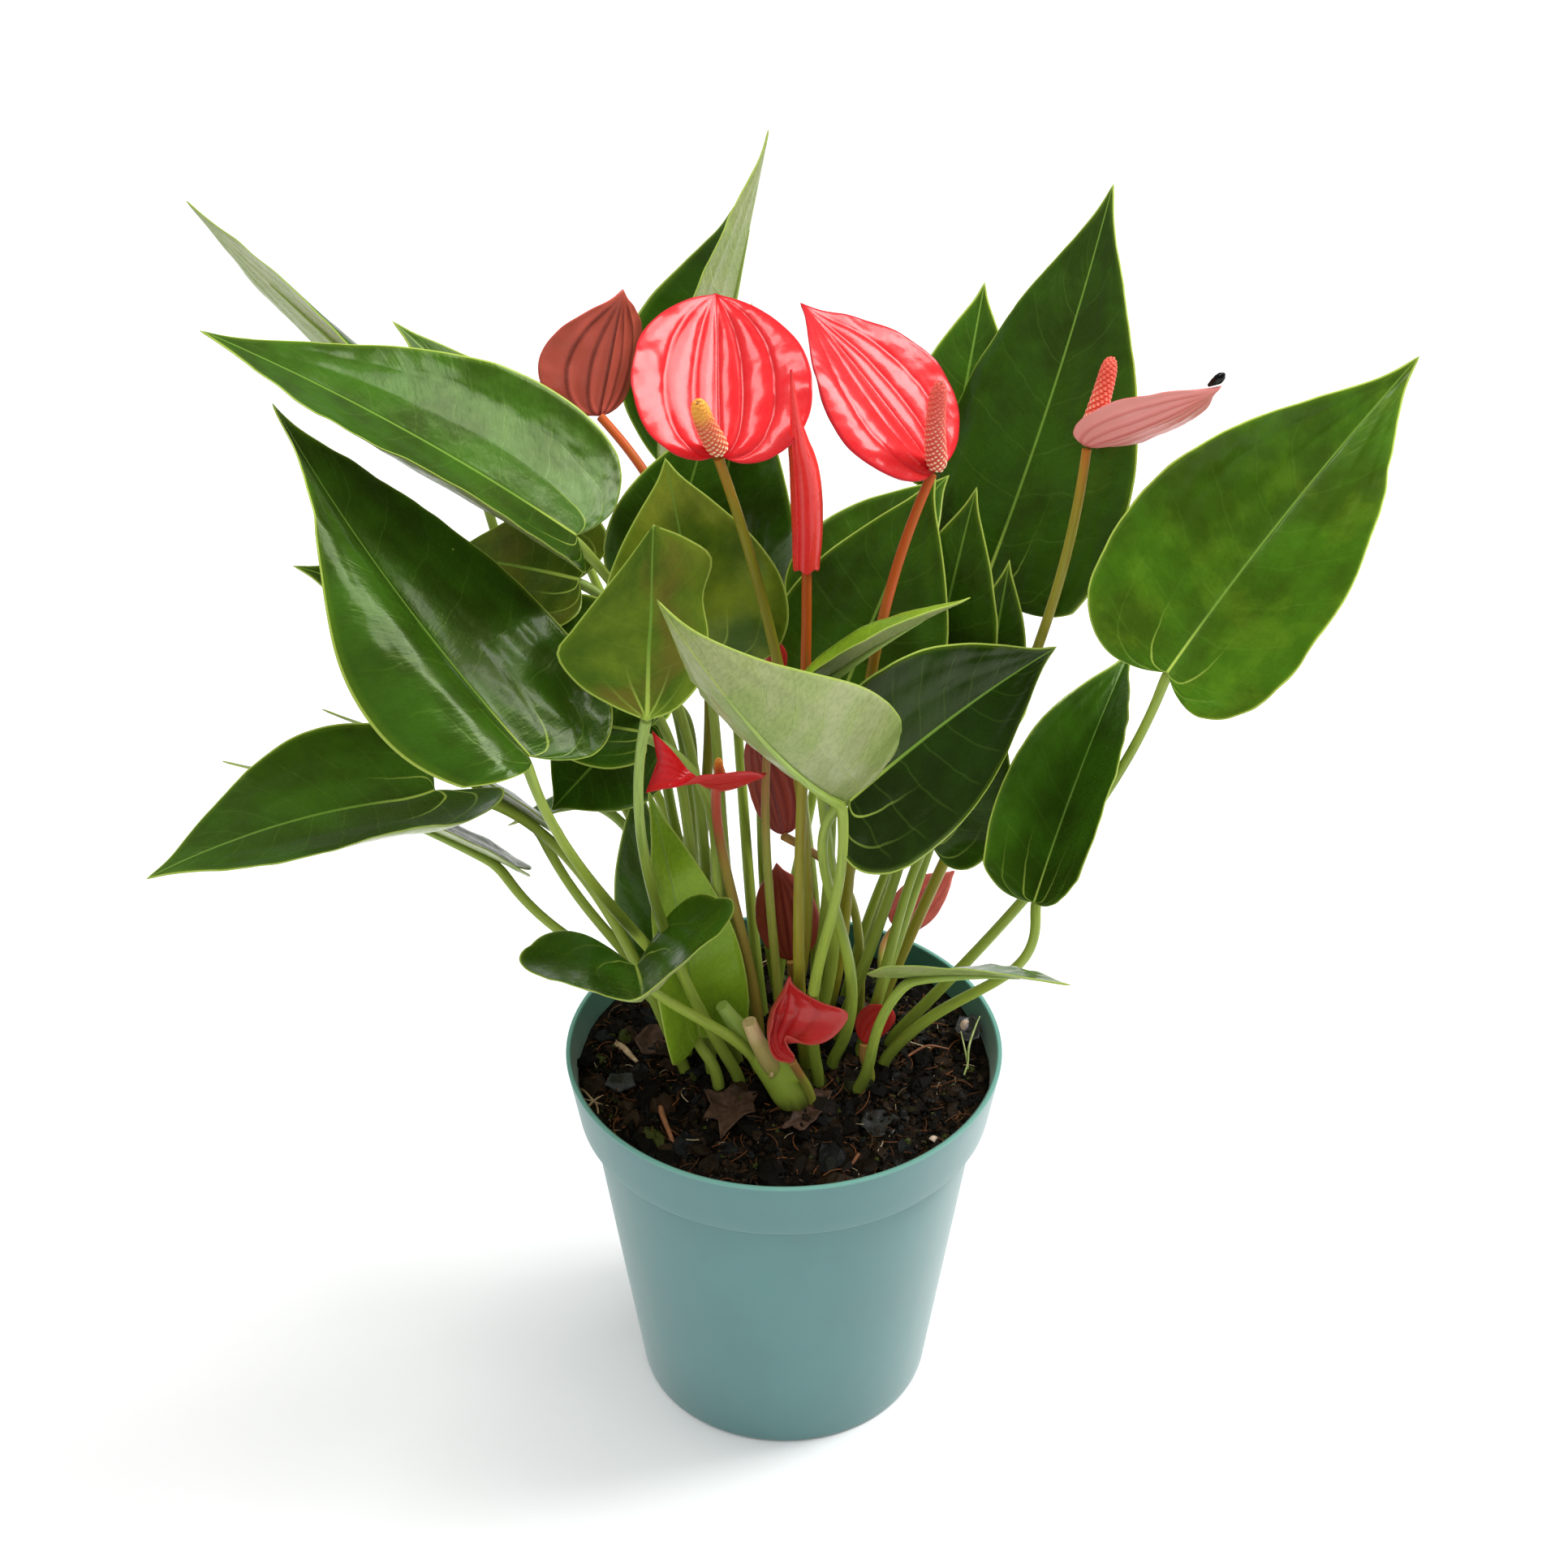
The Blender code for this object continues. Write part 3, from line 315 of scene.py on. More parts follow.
class Blade:
    """The curved surface of one leaf or spathe, from its junction to its tip, in millimetres."""

    def __init__(self, junction, tip, width, face, fold=8, arch=0.03, cup=0.0,
                 lobe=1.0, lift=0.0, curl=(0.0, 0.0), sweep=0.0):
        self.junction = np.array(junction, float)
        span = np.array(tip, float) - self.junction
        self.length = float(np.linalg.norm(span))
        self.axis = span / self.length
        facing = np.array(face, float)
        facing -= self.axis * facing.dot(self.axis)
        self.up = facing / np.linalg.norm(facing)
        self.left = np.cross(self.up, self.axis)
        self.half_width = width / 2
        self.fold = math.radians(fold)
        self.arch = arch
        self.cup = cup
        self.lobes = lobe if isinstance(lobe, tuple) else (lobe, lobe)
        self.lift = lift
        self.curl = curl
        self.sweep = sweep

    def points(self, along, across):
        """The middle of the blade's thickness, at places along and across it."""
        lobe = np.where(across > 0, self.lobes[0], self.lobes[1])
        along = np.where(along < 0, along * lobe, along)
        inside = np.clip(along, 0.0, 1.0)
        bow = 4 * inside * (1 - inside)
        height = self.arch * self.length * np.where(along > 0, bow, 4 * along)
        out = np.abs(across)
        crease = np.sqrt(out * out + CREASE ** 2) - CREASE
        raised = math.sin(self.fold) * crease + self.cup * out * out
        raised = raised + np.where(across > 0, self.curl[0], self.curl[1]) * out ** 3
        height = height + self.half_width * raised
        height = height + 4 * self.lift * self.length * np.maximum(LIFT_FROM - along, 0.0) ** 2
        sideways = self.half_width * across * math.cos(self.fold)
        sideways = sideways + self.sweep * self.length * bow
        return (self.junction + self.axis * (self.length * along)[:, None]
                + self.up * height[:, None] + self.left * sideways[:, None])

    def point(self, along, across=0.0):
        return self.points(np.array([along], float), np.array([across], float))[0]

    def rows(self, outline, pitch):
        """Places along, across and on the midrib of the margin, evenly spaced."""
        line = smooth_line(((0.0, 0.0, 0.0),) + outline + ((1.0, 0.0, 1.0),))
        size = np.array((self.length, self.half_width))
        steps = np.linalg.norm(np.diff(line[:, :2] * size, axis=0), axis=1)
        run = np.concatenate([[0.0], np.cumsum(steps)])
        place = np.linspace(0, run[-1], max(14, int(run[-1] / pitch)) + 1)[1:-1]
        return np.stack([np.interp(place, run, line[:, axis]) for axis in range(3)], axis=1)

    def normals(self, along, across, step=0.02):
        run = self.points(along + step, across) - self.points(along - step, across)
        rise = self.points(along, across + step) - self.points(along, across - step)
        normal = np.cross(run, rise)
        return normal / np.linalg.norm(normal, axis=1, keepdims=True)


# Softness of the fold along the midrib, and the place below which lobes are lifted
CREASE = 0.05
LIFT_FROM = 0.15


class Rails:
    """A sheet drawn through its left margin, its middle line and its right margin."""

    def __init__(self, left, middle, right):
        self.lines = [even(smooth_line(line), np.zeros(8 * (len(line) - 1) + 1), 0.4)[0]
                      for line in (left, middle, right)]
        self.junction = self.lines[1][0]
        span = self.lines[1][-1] - self.junction
        self.length = float(np.linalg.norm(np.diff(self.lines[1], axis=0), axis=1).sum())
        self.axis = span / np.linalg.norm(span)
        middle = [line[len(line) // 2] for line in self.lines]
        self.half_width = float(np.linalg.norm(middle[0] - middle[2])) / 2

    def points(self, along, across):
        found = []
        for line in self.lines:
            share = np.linspace(0, 1, len(line))
            found.append(np.stack([np.interp(along, share, line[:, axis]) for axis in range(3)],
                                  axis=1))
        left, middle, right = found
        out = across[:, None]
        return middle + out * (left - right) / 2 + out * out * ((left + right) / 2 - middle)

    def point(self, along, across=0.0):
        return self.points(np.array([along], float), np.array([across], float))[0]

    def normals(self, along, across, step=0.02):
        return Blade.normals(self, np.clip(along, 0.04, 0.96), np.clip(across, -0.98, 0.98), step)

    def rows(self, outline, pitch):
        share = np.linspace(0, 1, max(14, int(self.length * 1.2 / pitch)) + 1)[1:-1]
        return np.stack([share, np.ones(len(share)), share], axis=1)


def smooth_line(points, pieces=8):
    """A curve through the points, with its ends kept."""
    points = np.array(points, float)
    padded = np.vstack([2 * points[0] - points[1], points, 2 * points[-1] - points[-2]])
    found = []
    for index in range(1, len(padded) - 2):
        a, b, c, d = padded[index - 1:index + 3]
        for piece in range(pieces):
            t = piece / pieces
            found.append(0.5 * (2 * b + (c - a) * t + (2 * a - 5 * b + 4 * c - d) * t * t
                                + (3 * b - 3 * c + d - a) * t ** 3))
    found.append(padded[-2])
    return np.array(found)


def ripples(places, wave, count, draw):
    """Gentle unevenness: waves of about one length in drawn directions, from -1 to 1."""
    total = np.zeros(len(places))
    for _ in range(count):
        heading = draw.uniform(0, 2 * math.pi)
        length = wave * draw.uniform(0.6, 1.6)
        phase = draw.uniform(0, 2 * math.pi)
        run = places[:, 0] * math.cos(heading) + places[:, 1] * math.sin(heading)
        bent = run + 0.25 * length * np.sin(places[:, 1] * 2.1 / length + phase)
        total += np.sin(2 * math.pi * bent / length + phase)
    return total / count ** 0.5


class Skin:
    """How thick a blade is, how finely it is drawn and how its surface swells and ripples."""

    def __init__(self, outline, pitch, thickness, ripple, wave, ribs, puff, furrow, edge_wave):
        self.outline = outline
        self.pitch = pitch
        self.thickness = thickness
        self.ripple = ripple
        self.wave = wave
        self.ribs = ribs
        self.puff = puff
        self.furrow = furrow
        self.edge_wave = edge_wave

    def relief(self, rib, share, side, span, flat, blade, draw):
        """Height over the smooth blade in millimetres, the same on both faces."""
        inner = np.clip(share, 0, 1)
        open_width = np.clip(span / OPEN_SPAN, 0.0, 1.0)
        shape = self.ripple * ripples(flat, self.wave, 9, draw) * np.sqrt(inner) * open_width
        shape += 0.4 * self.ripple * ripples(flat, self.wave * 0.4, 9, draw) * inner * open_width
        stops = np.array((0.0,) + self.ribs + (1.0,))
        share = np.clip(share + 0.015 * np.sin(9 * rib + 2 * side), 0, 1)
        cell = np.clip(np.searchsorted(stops, share, side="right") - 1, 0, len(stops) - 2)
        inside = (share - stops[cell]) / (stops[cell + 1] - stops[cell])
        swell = np.sin(math.pi * np.clip(inside, 0, 1))
        fade = np.clip(rib / 0.08, 0, 1) * np.clip((1 - rib) / 0.25, 0, 1)
        last = cell == len(stops) - 2
        shape += self.puff * swell * open_width * fade * np.where(last, 0.5, 1.0)
        phase = draw.uniform(0, 2 * math.pi, 4)
        run = rib * blade.length / EDGE_WAVE_LENGTH
        wave = np.sin(2 * math.pi * run + np.where(side > 0, phase[0], phase[1]))
        wave += 0.6 * np.sin(4.4 * math.pi * run + np.where(side > 0, phase[2], phase[3]))
        shape += self.edge_wave * wave * share ** 4 * fade
        return shape

    def grooves(self, rib, share, span):
        """Depth of the midrib's and the ribs' furrows on the upper face, in millimetres."""
        depth = np.exp(-(share * span / 0.7) ** 2)
        for place in self.ribs:
            depth = depth + 0.7 * np.exp(-((share - place) * span / 0.8) ** 2)
        fade = np.clip(rib / 0.04, 0, 1) * np.clip((1 - rib) / 0.3, 0, 1)
        return self.furrow * depth * fade


def blade_mesh(name, blade, skin, number, kind):
    """A closed leaf or spathe with a rounded margin; its upper side is the one that faces up."""
    draw = np.random.default_rng(BLADE_SEED + number)
    cells = max(4, int(blade.half_width / skin.pitch))
    line = blade.rows(skin.outline, skin.pitch)
    columns = np.arange(-cells, cells + 1)
    share = np.abs(columns) / cells
    side = np.sign(columns)
    reach = line[:, None, :]
    along = reach[..., 2] + (reach[..., 0] - reach[..., 2]) * share
    across = side * reach[..., 1] * share
    rib = np.repeat(line[:, 2:3], len(columns), axis=1)
    center = blade.points(line[:, 2], np.zeros(len(line)))
    span = sum(np.linalg.norm(blade.points(line[:, 0], turn * line[:, 1]) - center, axis=1)
               for turn in (-1, 1)) / 2
    span = np.repeat(span[:, None], len(columns), axis=1)
    shares = np.repeat(share[None, :], len(line), axis=0)
    sides = np.repeat(side[None, :], len(line), axis=0)

    ends = np.array([[0.0, 0.0], [1.0, 0.0]])
    flat_along = np.concatenate([along.ravel(), ends[:, 0]])
    flat_across = np.concatenate([across.ravel(), ends[:, 1]])
    rib = np.concatenate([rib.ravel(), [0.0, 1.0]])
    span = np.concatenate([span.ravel(), [0.0, 0.0]])
    shares = np.concatenate([shares.ravel(), [1.0, 1.0]])
    sides = np.concatenate([sides.ravel(), [0.0, 0.0]])
    flat = np.stack([flat_along * blade.length, flat_across * blade.half_width], axis=1)
    middle = blade.points(flat_along, flat_across)
    normal = blade.normals(flat_along, flat_across)
    middle = middle + normal * skin.relief(rib, shares, sides, span, flat, blade, draw)[:, None]
    groove = skin.grooves(rib, shares, span)
    half = skin.thickness / 2 * (1 - 0.45 * shares ** 6)
    upper = middle + normal * (half - groove)[:, None]
    lower = middle - normal * (half + groove * RIDGE_SHARE)[:, None]

    width = len(columns)
    count = len(line) * width
    grid = np.arange(count).reshape(len(line), width)
    margin = np.concatenate([grid[:, 0], grid[:, -1]])
    inner = np.concatenate([grid[:, 1], grid[:, -2]])
    outward = middle[margin] - middle[inner]
    outward /= np.linalg.norm(outward, axis=1, keepdims=True)
    rim = middle[margin] + outward * skin.thickness * 0.35
    ends_out = np.stack([-blade.axis, blade.axis]) * skin.thickness * 0.35
    rim = np.concatenate([rim, middle[count:] + ends_out])
    total = count + 2
    points = np.concatenate([upper, lower, rim])
    faces = []
    for offset, flip in ((0, False), (total, True)):
        a, b = grid[:-1, :-1] + offset, grid[1:, :-1] + offset
        c, d = grid[1:, 1:] + offset, grid[:-1, 1:] + offset
        quads = np.stack([a, b, c, d], axis=-1).reshape(-1, 4)
        faces += (quads[:, ::-1] if flip else quads).tolist()
        first, last = count + offset, count + 1 + offset
        for column in range(width - 1):
            near = [first, grid[0, column] + offset, grid[0, column + 1] + offset]
            far = [grid[-1, column] + offset, last, grid[-1, column + 1] + offset]
            faces.append(near[::-1] if flip else near)
            faces.append(far[::-1] if flip else far)
    edge = 2 * total
    length = len(line)
    for turn, column in ((0, 0), (1, width - 1)):
        ring = [count] + grid[:, column].tolist() + [count + 1]
        middle_ring = [edge + 2 * length]
        middle_ring += [edge + turn * length + row for row in range(length)]
        middle_ring += [edge + 2 * length + 1]
        for index in range(len(ring) - 1):
            top = (ring[index], ring[index + 1])
            mid = (middle_ring[index], middle_ring[index + 1])
            low = (top[0] + total, top[1] + total)
            strips = [[top[0], mid[0], mid[1], top[1]], [mid[0], low[0], low[1], mid[1]]]
            faces += [strip[::-1] for strip in strips] if turn else strips
    mesh = bpy.data.meshes.new(name)
    mesh.from_pydata((points * MM).tolist(), [], faces)
    around = np.concatenate([margin, [count, count + 1]])
    signed = sides * shares
    put(mesh, "leaf_place", [np.concatenate([v, v, v[around]]) for v in (rib, signed, span)])
    seed = np.full(len(points), number * SEED_SHIFT)
    put(mesh, "leaf_flat", [np.concatenate([flat[:, 0], flat[:, 0], flat[around, 0]]),
                            np.concatenate([flat[:, 1], flat[:, 1], flat[around, 1]]), seed])
    under = np.concatenate([np.zeros(total), np.ones(total), np.full(len(around), 0.5)])
    put(mesh, "leaf_kind", [under, np.full(len(points), kind.get("tone_and_shade", 1.0)),
                            np.full(len(points), blade.length)])
    put(mesh, "leaf_age", [np.full(len(points), kind.get("yellow", 0.0)),
                           np.full(len(points), kind.get("young", 0.0)),
                           np.full(len(points), kind.get("rust", 0.0))])
    return mesh


# How far a rib stands out below against its furrow above
RIDGE_SHARE = 1.6
BLADE_SEED = 1000
# Half width over which crinkles reach their full height, and length of a margin's waves
OPEN_SPAN = 12.0
EDGE_WAVE_LENGTH = 22.0
SEED_SHIFT = 53.0


def rolled_mesh(name, rings, thickness, turns, number, rows=110, sectors=72):
    """A spathe rolled round itself, with its free edge lying over the turn under it."""
    spots = even(smooth_line([spot for spot, _ in rings]), np.zeros(8 * (len(rings) - 1) + 1),
                 0.5)[0]
    share = np.linspace(0, 1, len(spots))
    places = np.linspace(0, 1, rows + 1)
    line = np.stack([np.interp(places, share, spots[:, axis]) for axis in range(3)], axis=1)
    ahead = np.gradient(line, axis=0)
    ahead /= np.linalg.norm(ahead, axis=1, keepdims=True)
    side = np.cross(ahead, (0.0, 1.0, 0.0))
    side /= np.linalg.norm(side, axis=1, keepdims=True)
    front = np.cross(side, ahead)
    stops = np.linspace(0, 1, len(rings))
    radius = np.interp(places, stops, [girth for _, girth in rings])
    around = np.linspace(0, 1, sectors + 1)
    angle = 2 * math.pi * turns * around + ROLL_START
    points = []
    for skin in (0.0, thickness):
        reach = radius[:, None] * (1.0 - 0.16 * around ** 2) * (1 + 0.03 * np.sin(3 * angle))
        reach = np.maximum(0.08, reach - skin * np.minimum(1.0, radius / 1.2)[:, None])
        lip = np.clip(1 - places / 0.03, 0, 1)[:, None] * 0.5 * np.sin(5 * angle)
        grid = (line[:, None, :] + side[:, None, :] * (reach * np.cos(angle))[..., None]
                + front[:, None, :] * (reach * np.sin(angle))[..., None]
                + ahead[:, None, :] * lip[..., None])
        points.append(grid.reshape(-1, 3))
    total = len(points[0])
    grid = np.arange(total).reshape(rows + 1, sectors + 1)
    faces = []
    for offset, flip in ((0, False), (total, True)):
        quads = np.stack([grid[:-1, :-1], grid[1:, :-1], grid[1:, 1:], grid[:-1, 1:]],
                         axis=-1).reshape(-1, 4) + offset
        faces += (quads[:, ::-1] if flip else quads).tolist()
    loop = np.concatenate([grid[0], grid[1:, -1], grid[-1, -2::-1], grid[-2:0:-1, 0]])
    for first, last in zip(loop, np.roll(loop, -1)):
        faces.append([int(first), int(last), int(last) + total, int(first) + total])
    mesh = bpy.data.meshes.new(name)
    mesh.from_pydata((np.concatenate(points) * MM).tolist(), [], faces)
    rib = np.tile(np.repeat(places, sectors + 1), 2)
    across = np.tile(np.tile(2 * around - 1, rows + 1), 2)
    span = np.tile(np.repeat(radius * math.pi, sectors + 1), 2)
    broad = np.full(2 * total, ROLL_SPAN)
    put(mesh, "leaf_place", [rib, ROLL_PLACE + 0.03 * across, broad])
    put(mesh, "leaf_flat", [rib * ROLL_LENGTH, across * span,
                            np.full(2 * total, number * SEED_SHIFT)])
    put(mesh, "leaf_kind", [np.zeros(2 * total), np.ones(2 * total),
                            np.full(2 * total, ROLL_LENGTH)])
    return mesh


# Where the roll's inner edge starts in radians, its length in millimetres, and the place and
# half width that its skin is drawn with
ROLL_START = -0.9
ROLL_LENGTH = 49.0
ROLL_PLACE = 0.45
ROLL_SPAN = 20.0


def put(mesh, name, parts):
    """Writes a vector to each point of a mesh."""
    attribute = mesh.attributes.new(name, "FLOAT_VECTOR", "POINT")
    attribute.data.foreach_set("vector", np.stack(parts, axis=1).astype(np.float32).ravel())


def outward(mesh):
    """Turns a closed mesh's faces to point out."""
    work = bmesh.new()
    work.from_mesh(mesh)
    if work.calc_volume(signed=True) < 0:
        bmesh.ops.reverse_faces(work, faces=work.faces[:])
    work.to_mesh(mesh)
    work.free()


def curve_points(start, start_handle, end_handle, end, count):
    """Evenly spaced points of one cubic curve."""
    t = np.linspace(0, 1, count + 1)[:, None]
    return (start * (1 - t) ** 3 + start_handle * (3 * t * (1 - t) ** 2)
            + end_handle * (3 * t * t * (1 - t)) + end * t ** 3)


def ground(x, y):
    """Height of the peat's smooth surface, a little higher in the middle."""
    return SOIL_LEVEL + SOIL_CROWN * max(0.0, 1 - (x * x + y * y) / SOIL_CROWN_RADIUS ** 2)


def stem_route(root, end, arrival, steps, bow=0.35, lean=0.3, sway=(0.0, 0.0, 0.0)):
    """A stalk that leaves the peat straight and bends to arrive at its end in a direction."""
    x, y = root
    foot = np.array((x, y, ground(x, y) - ROOT_DEPTH))
    away = np.array((end[0] - x, end[1] - y, 0.0))
    reach = np.linalg.norm(end - foot)
    rise = np.array((0.0, 0.0, 1.0)) + away * (lean / max(np.linalg.norm(away), SHORTEST_LEAN))
    rise /= np.linalg.norm(rise)
    top = foot + rise * STRAIGHT
    shift = np.array(sway)
    points = curve_points(top, top + rise * (bow * reach) + shift,
                          end - arrival * (ARRIVAL_SHARE * reach) + shift, end, steps)
    return np.vstack([foot, foot + (top - foot) * 0.5, points])


def unit(vector):
    return vector / np.linalg.norm(vector)


# Node trees


class Tree:
    """Adds nodes to a shader or geometry tree and joins them as they are made."""

    def __init__(self, tree):
        self.tree = tree

    def feed(self, socket, value):
        if isinstance(value, bpy.types.NodeSocket):
            self.tree.links.new(value, socket)
        elif value is not None:
            socket.default_value = value

    def add(self, kind, inputs=None, **settings):
        node = self.tree.nodes.new(kind)
        for name, value in settings.items():
            setattr(node, name, value)
        for key, value in (inputs or {}).items():
            self.feed(node.inputs[key], value)
        return node

    def math(self, operation, *values, clamp=False):
        node = self.add("ShaderNodeMath", operation=operation, use_clamp=clamp)
        for socket, value in zip(node.inputs, values):
            self.feed(socket, value)
        return node.outputs[0]

    def vector(self, operation, *values, scale=None):
        node = self.add("ShaderNodeVectorMath", operation=operation)
        for socket, value in zip(node.inputs, values):
            self.feed(socket, value)
        if scale is not None:
            self.feed(node.inputs["Scale"], scale)
        return node.outputs["Value" if operation in ("LENGTH", "DOT_PRODUCT") else "Vector"]

    def ramp(self, value, low, high, start=0.0, end=1.0, kind="SMOOTHSTEP"):
        node = self.add("ShaderNodeMapRange", interpolation_type=kind)
        for index, given in enumerate((value, low, high, start, end)):
            self.feed(node.inputs[index], given)
        return node.outputs[0]

    def blend(self, factor, first, second, kind="MIX"):
        node = self.add("ShaderNodeMix", data_type="RGBA", blend_type=kind)
        for index, given in ((0, factor), (6, first), (7, second)):
            self.feed(node.inputs[index], given)
        return node.outputs[2]

    def split(self, value):
        return self.add("ShaderNodeSeparateXYZ", {0: value}).outputs

    def join(self, *values):
        return self.add("ShaderNodeCombineXYZ", dict(enumerate(values))).outputs[0]

    def noise(self, place, scale, detail=2.0, roughness=0.5):
        return self.add("ShaderNodeTexNoise", {"Vector": place, "Scale": scale, "Detail": detail,
                                               "Roughness": roughness}).outputs[0]

    def dots(self, place, scale):
        return self.add("ShaderNodeTexVoronoi", {"Vector": place, "Scale": scale})


def new_group(name, kind, inputs, outputs):
    """An empty node group with named inputs and outputs."""
    group = bpy.data.node_groups.new(name, kind)
    for label, socket, value in inputs:
        made = group.interface.new_socket(label, in_out="INPUT", socket_type=socket)
        if value is not None:
            made.default_value = value
    for label, socket in outputs:
        group.interface.new_socket(label, in_out="OUTPUT", socket_type=socket)
    tree = Tree(group)
    given = tree.add("NodeGroupInput").outputs
    result = tree.add("NodeGroupOutput").inputs
    return group, tree, given, result


COLOR = "NodeSocketColor"
NUMBER = "NodeSocketFloat"
VECTOR = "NodeSocketVector"
SKIN_OUTPUTS = [("Color", COLOR), ("Roughness", NUMBER), ("Height", NUMBER)]
GREY = (0.5, 0.5, 0.5, 1.0)


def leaf_skin():
    """Colour, roughness and relief in millimetres of a leaf, from the places stored on it."""
    group, tree, given, out = new_group("leaf skin", "ShaderNodeTree", [
        ("Place", VECTOR, None), ("Flat", VECTOR, None), ("Kind", VECTOR, None),
        ("Age", VECTOR, None), ("Blade", COLOR, GREY), ("Deep", COLOR, GREY),
        ("Rib", COLOR, GREY), ("Margin", COLOR, GREY), ("Underside", COLOR, GREY),
        ("Young", COLOR, GREY), ("Veins", NUMBER, 9.0)], SKIN_OUTPUTS)
    rib, across, span = tree.split(given["Place"])
    under, tone_and_shade, length = tree.split(given["Kind"])
    yellow, young, rust = tree.split(given["Age"])
    share = tree.math("ABSOLUTE", across)
    flat = given["Flat"]
    drift = tree.math("SUBTRACT", tree.noise(flat, 0.09, 2), 0.5)
    from_rib = tree.math("MULTIPLY", share, span)
    from_edge = tree.math("MULTIPLY", tree.math("SUBTRACT", 1.0, share), span)

    girth = tree.ramp(rib, 0.0, 1.0, 0.85, 0.22, "LINEAR")
    midrib = tree.ramp(from_rib, tree.math("MULTIPLY", girth, 0.35), girth, 1.0, 0.0)
    basal = 0.0
    for place, strength in ((0.36, 0.8), (0.70, 0.6)):
        away = tree.math("ABSOLUTE", tree.math("SUBTRACT", share, tree.math(
            "MULTIPLY_ADD", drift, 0.10, place)))
        line = tree.ramp(tree.math("MULTIPLY", away, span), 0.08, 0.42, 1.0, 0.0)
        fading = tree.ramp(rib, 0.03, 0.36, strength, 0.02)
        basal = tree.math("MAXIMUM", basal, tree.math("MULTIPLY", line, fading))
    leaning = tree.math("MULTIPLY_ADD", share, -0.20, rib)
    phase = tree.math("MULTIPLY", tree.math("MULTIPLY_ADD", drift, 0.05, leaning), given["Veins"])
    near = tree.math("SUBTRACT", 0.5, tree.math("ABSOLUTE", tree.math(
        "SUBTRACT", tree.math("FRACT", phase), 0.5)))
    spacing = tree.math("DIVIDE", length, given["Veins"])
    lateral = tree.ramp(tree.math("MULTIPLY", near, spacing), 0.05, 0.40, 1.0, 0.0)
    lateral = tree.math("MULTIPLY", lateral, tree.ramp(share, 0.72, 0.95, 0.55, 0.0))

    broad = tree.ramp(tree.noise(flat, 0.05, 3, 0.55), 0.32, 0.68)
    fine = tree.noise(flat, 0.9, 3, 0.6)
    color = tree.blend(broad, given["Deep"], given["Blade"])
    color = tree.blend(tree.math("MULTIPLY", young, 0.85), color, given["Young"])
    patches = tree.ramp(tree.noise(flat, 0.07, 4, 0.6), 0.46, 0.66)
    yellowing = tree.math("MULTIPLY", patches, yellow)
    color = tree.blend(yellowing, color, given["Young"])
    rusty = tree.math("MULTIPLY", tree.ramp(tree.noise(flat, 0.045, 3), 0.5, 0.65), rust)
    color = tree.blend(rusty, color, (0.12, 0.055, 0.015, 1))
    color = tree.blend(tree.ramp(fine, 0.3, 0.8, 0.0, 0.22), color, given["Deep"])
    # Scaled by the leaf's tone, which is partly painted light and shade
    color = tree.vector("SCALE", color, scale=tone_and_shade)
    color = tree.blend(tree.math("MULTIPLY", lateral, 0.16), color, given["Rib"])
    color = tree.blend(tree.math("MULTIPLY", basal, 0.30), color, given["Rib"])
    color = tree.blend(tree.math("MULTIPLY", midrib, 0.85), color, given["Rib"])
    junction = tree.ramp(tree.vector("LENGTH", tree.vector("MULTIPLY", flat, (1.0, 1.0, 0.0))),
                         2.0, 20.0, 1.0, 0.0)
    color = tree.blend(tree.math("MULTIPLY", junction, tree.math("MAXIMUM", midrib, basal)),
                       color, given["Margin"])
    paler = tree.ramp(from_edge, 0.2, 1.8, 0.22, 0.0)
    color = tree.blend(paler, color, given["Young"])
    margin = tree.ramp(from_edge, 0.16, 0.42, 0.9, 0.0)
    color = tree.blend(margin, color, given["Margin"])
    speck = tree.dots(flat, 0.055)
    seldom = tree.math("GREATER_THAN", tree.split(speck.outputs["Color"])[0], 0.80)
    speckle = tree.math("MULTIPLY", seldom, tree.ramp(speck.outputs["Distance"], 0.014, 0.026,
                                                      0.7, 0.0))
    color = tree.blend(speckle, color, given["Margin"])

    below = tree.blend(tree.ramp(broad, 0.0, 1.0, 0.0, 0.5), given["Underside"], given["Young"])
    below = tree.blend(tree.ramp(fine, 0.35, 0.75, 0.0, 0.3), below, given["Blade"])
    veins = tree.math("MAXIMUM", tree.math("MAXIMUM", midrib, tree.math("MULTIPLY", basal, 0.7)),
                      tree.math("MULTIPLY", lateral, 0.5))
    below = tree.blend(tree.math("MULTIPLY", veins, 0.7), below, given["Margin"])
    below = tree.blend(tree.math("MULTIPLY", margin, 0.8), below, given["Margin"])
    tree.feed(out["Color"], tree.blend(under, color, below))

    stretched = tree.join(tree.math("MULTIPLY", leaning, length),
                          tree.math("MULTIPLY", tree.math("MULTIPLY", across, span), 0.35),
                          tree.split(flat)[2])
    crumple = tree.math("MULTIPLY", tree.noise(stretched, 0.42, 3, 0.6), 0.20)
    crumple = tree.math("MULTIPLY_ADD", tree.noise(flat, 0.22, 2), 0.16, crumple)
    crumple = tree.math("MULTIPLY_ADD", tree.noise(flat, 1.6, 2), 0.012, crumple)
    sunk = tree.math("MULTIPLY_ADD", basal, -0.06, crumple)
    sunk = tree.math("MULTIPLY_ADD", lateral, -0.035, sunk)
    raised = tree.math("MULTIPLY_ADD", basal, 0.20, crumple)
    raised = tree.math("MULTIPLY_ADD", lateral, 0.12, raised)
    raised = tree.math("MULTIPLY_ADD", midrib, 0.10, raised)
    rise = tree.math("ADD", tree.math("MULTIPLY", sunk, tree.math("SUBTRACT", 1.0, under)),
                     tree.math("MULTIPLY", raised, under))
    tree.feed(out["Height"], rise)
    rough = tree.ramp(tree.noise(flat, 0.35, 3), 0.3, 0.7, 0.24, 0.34)
    tree.feed(out["Roughness"], tree.math("MULTIPLY_ADD", under, 0.06, rough))
    return group


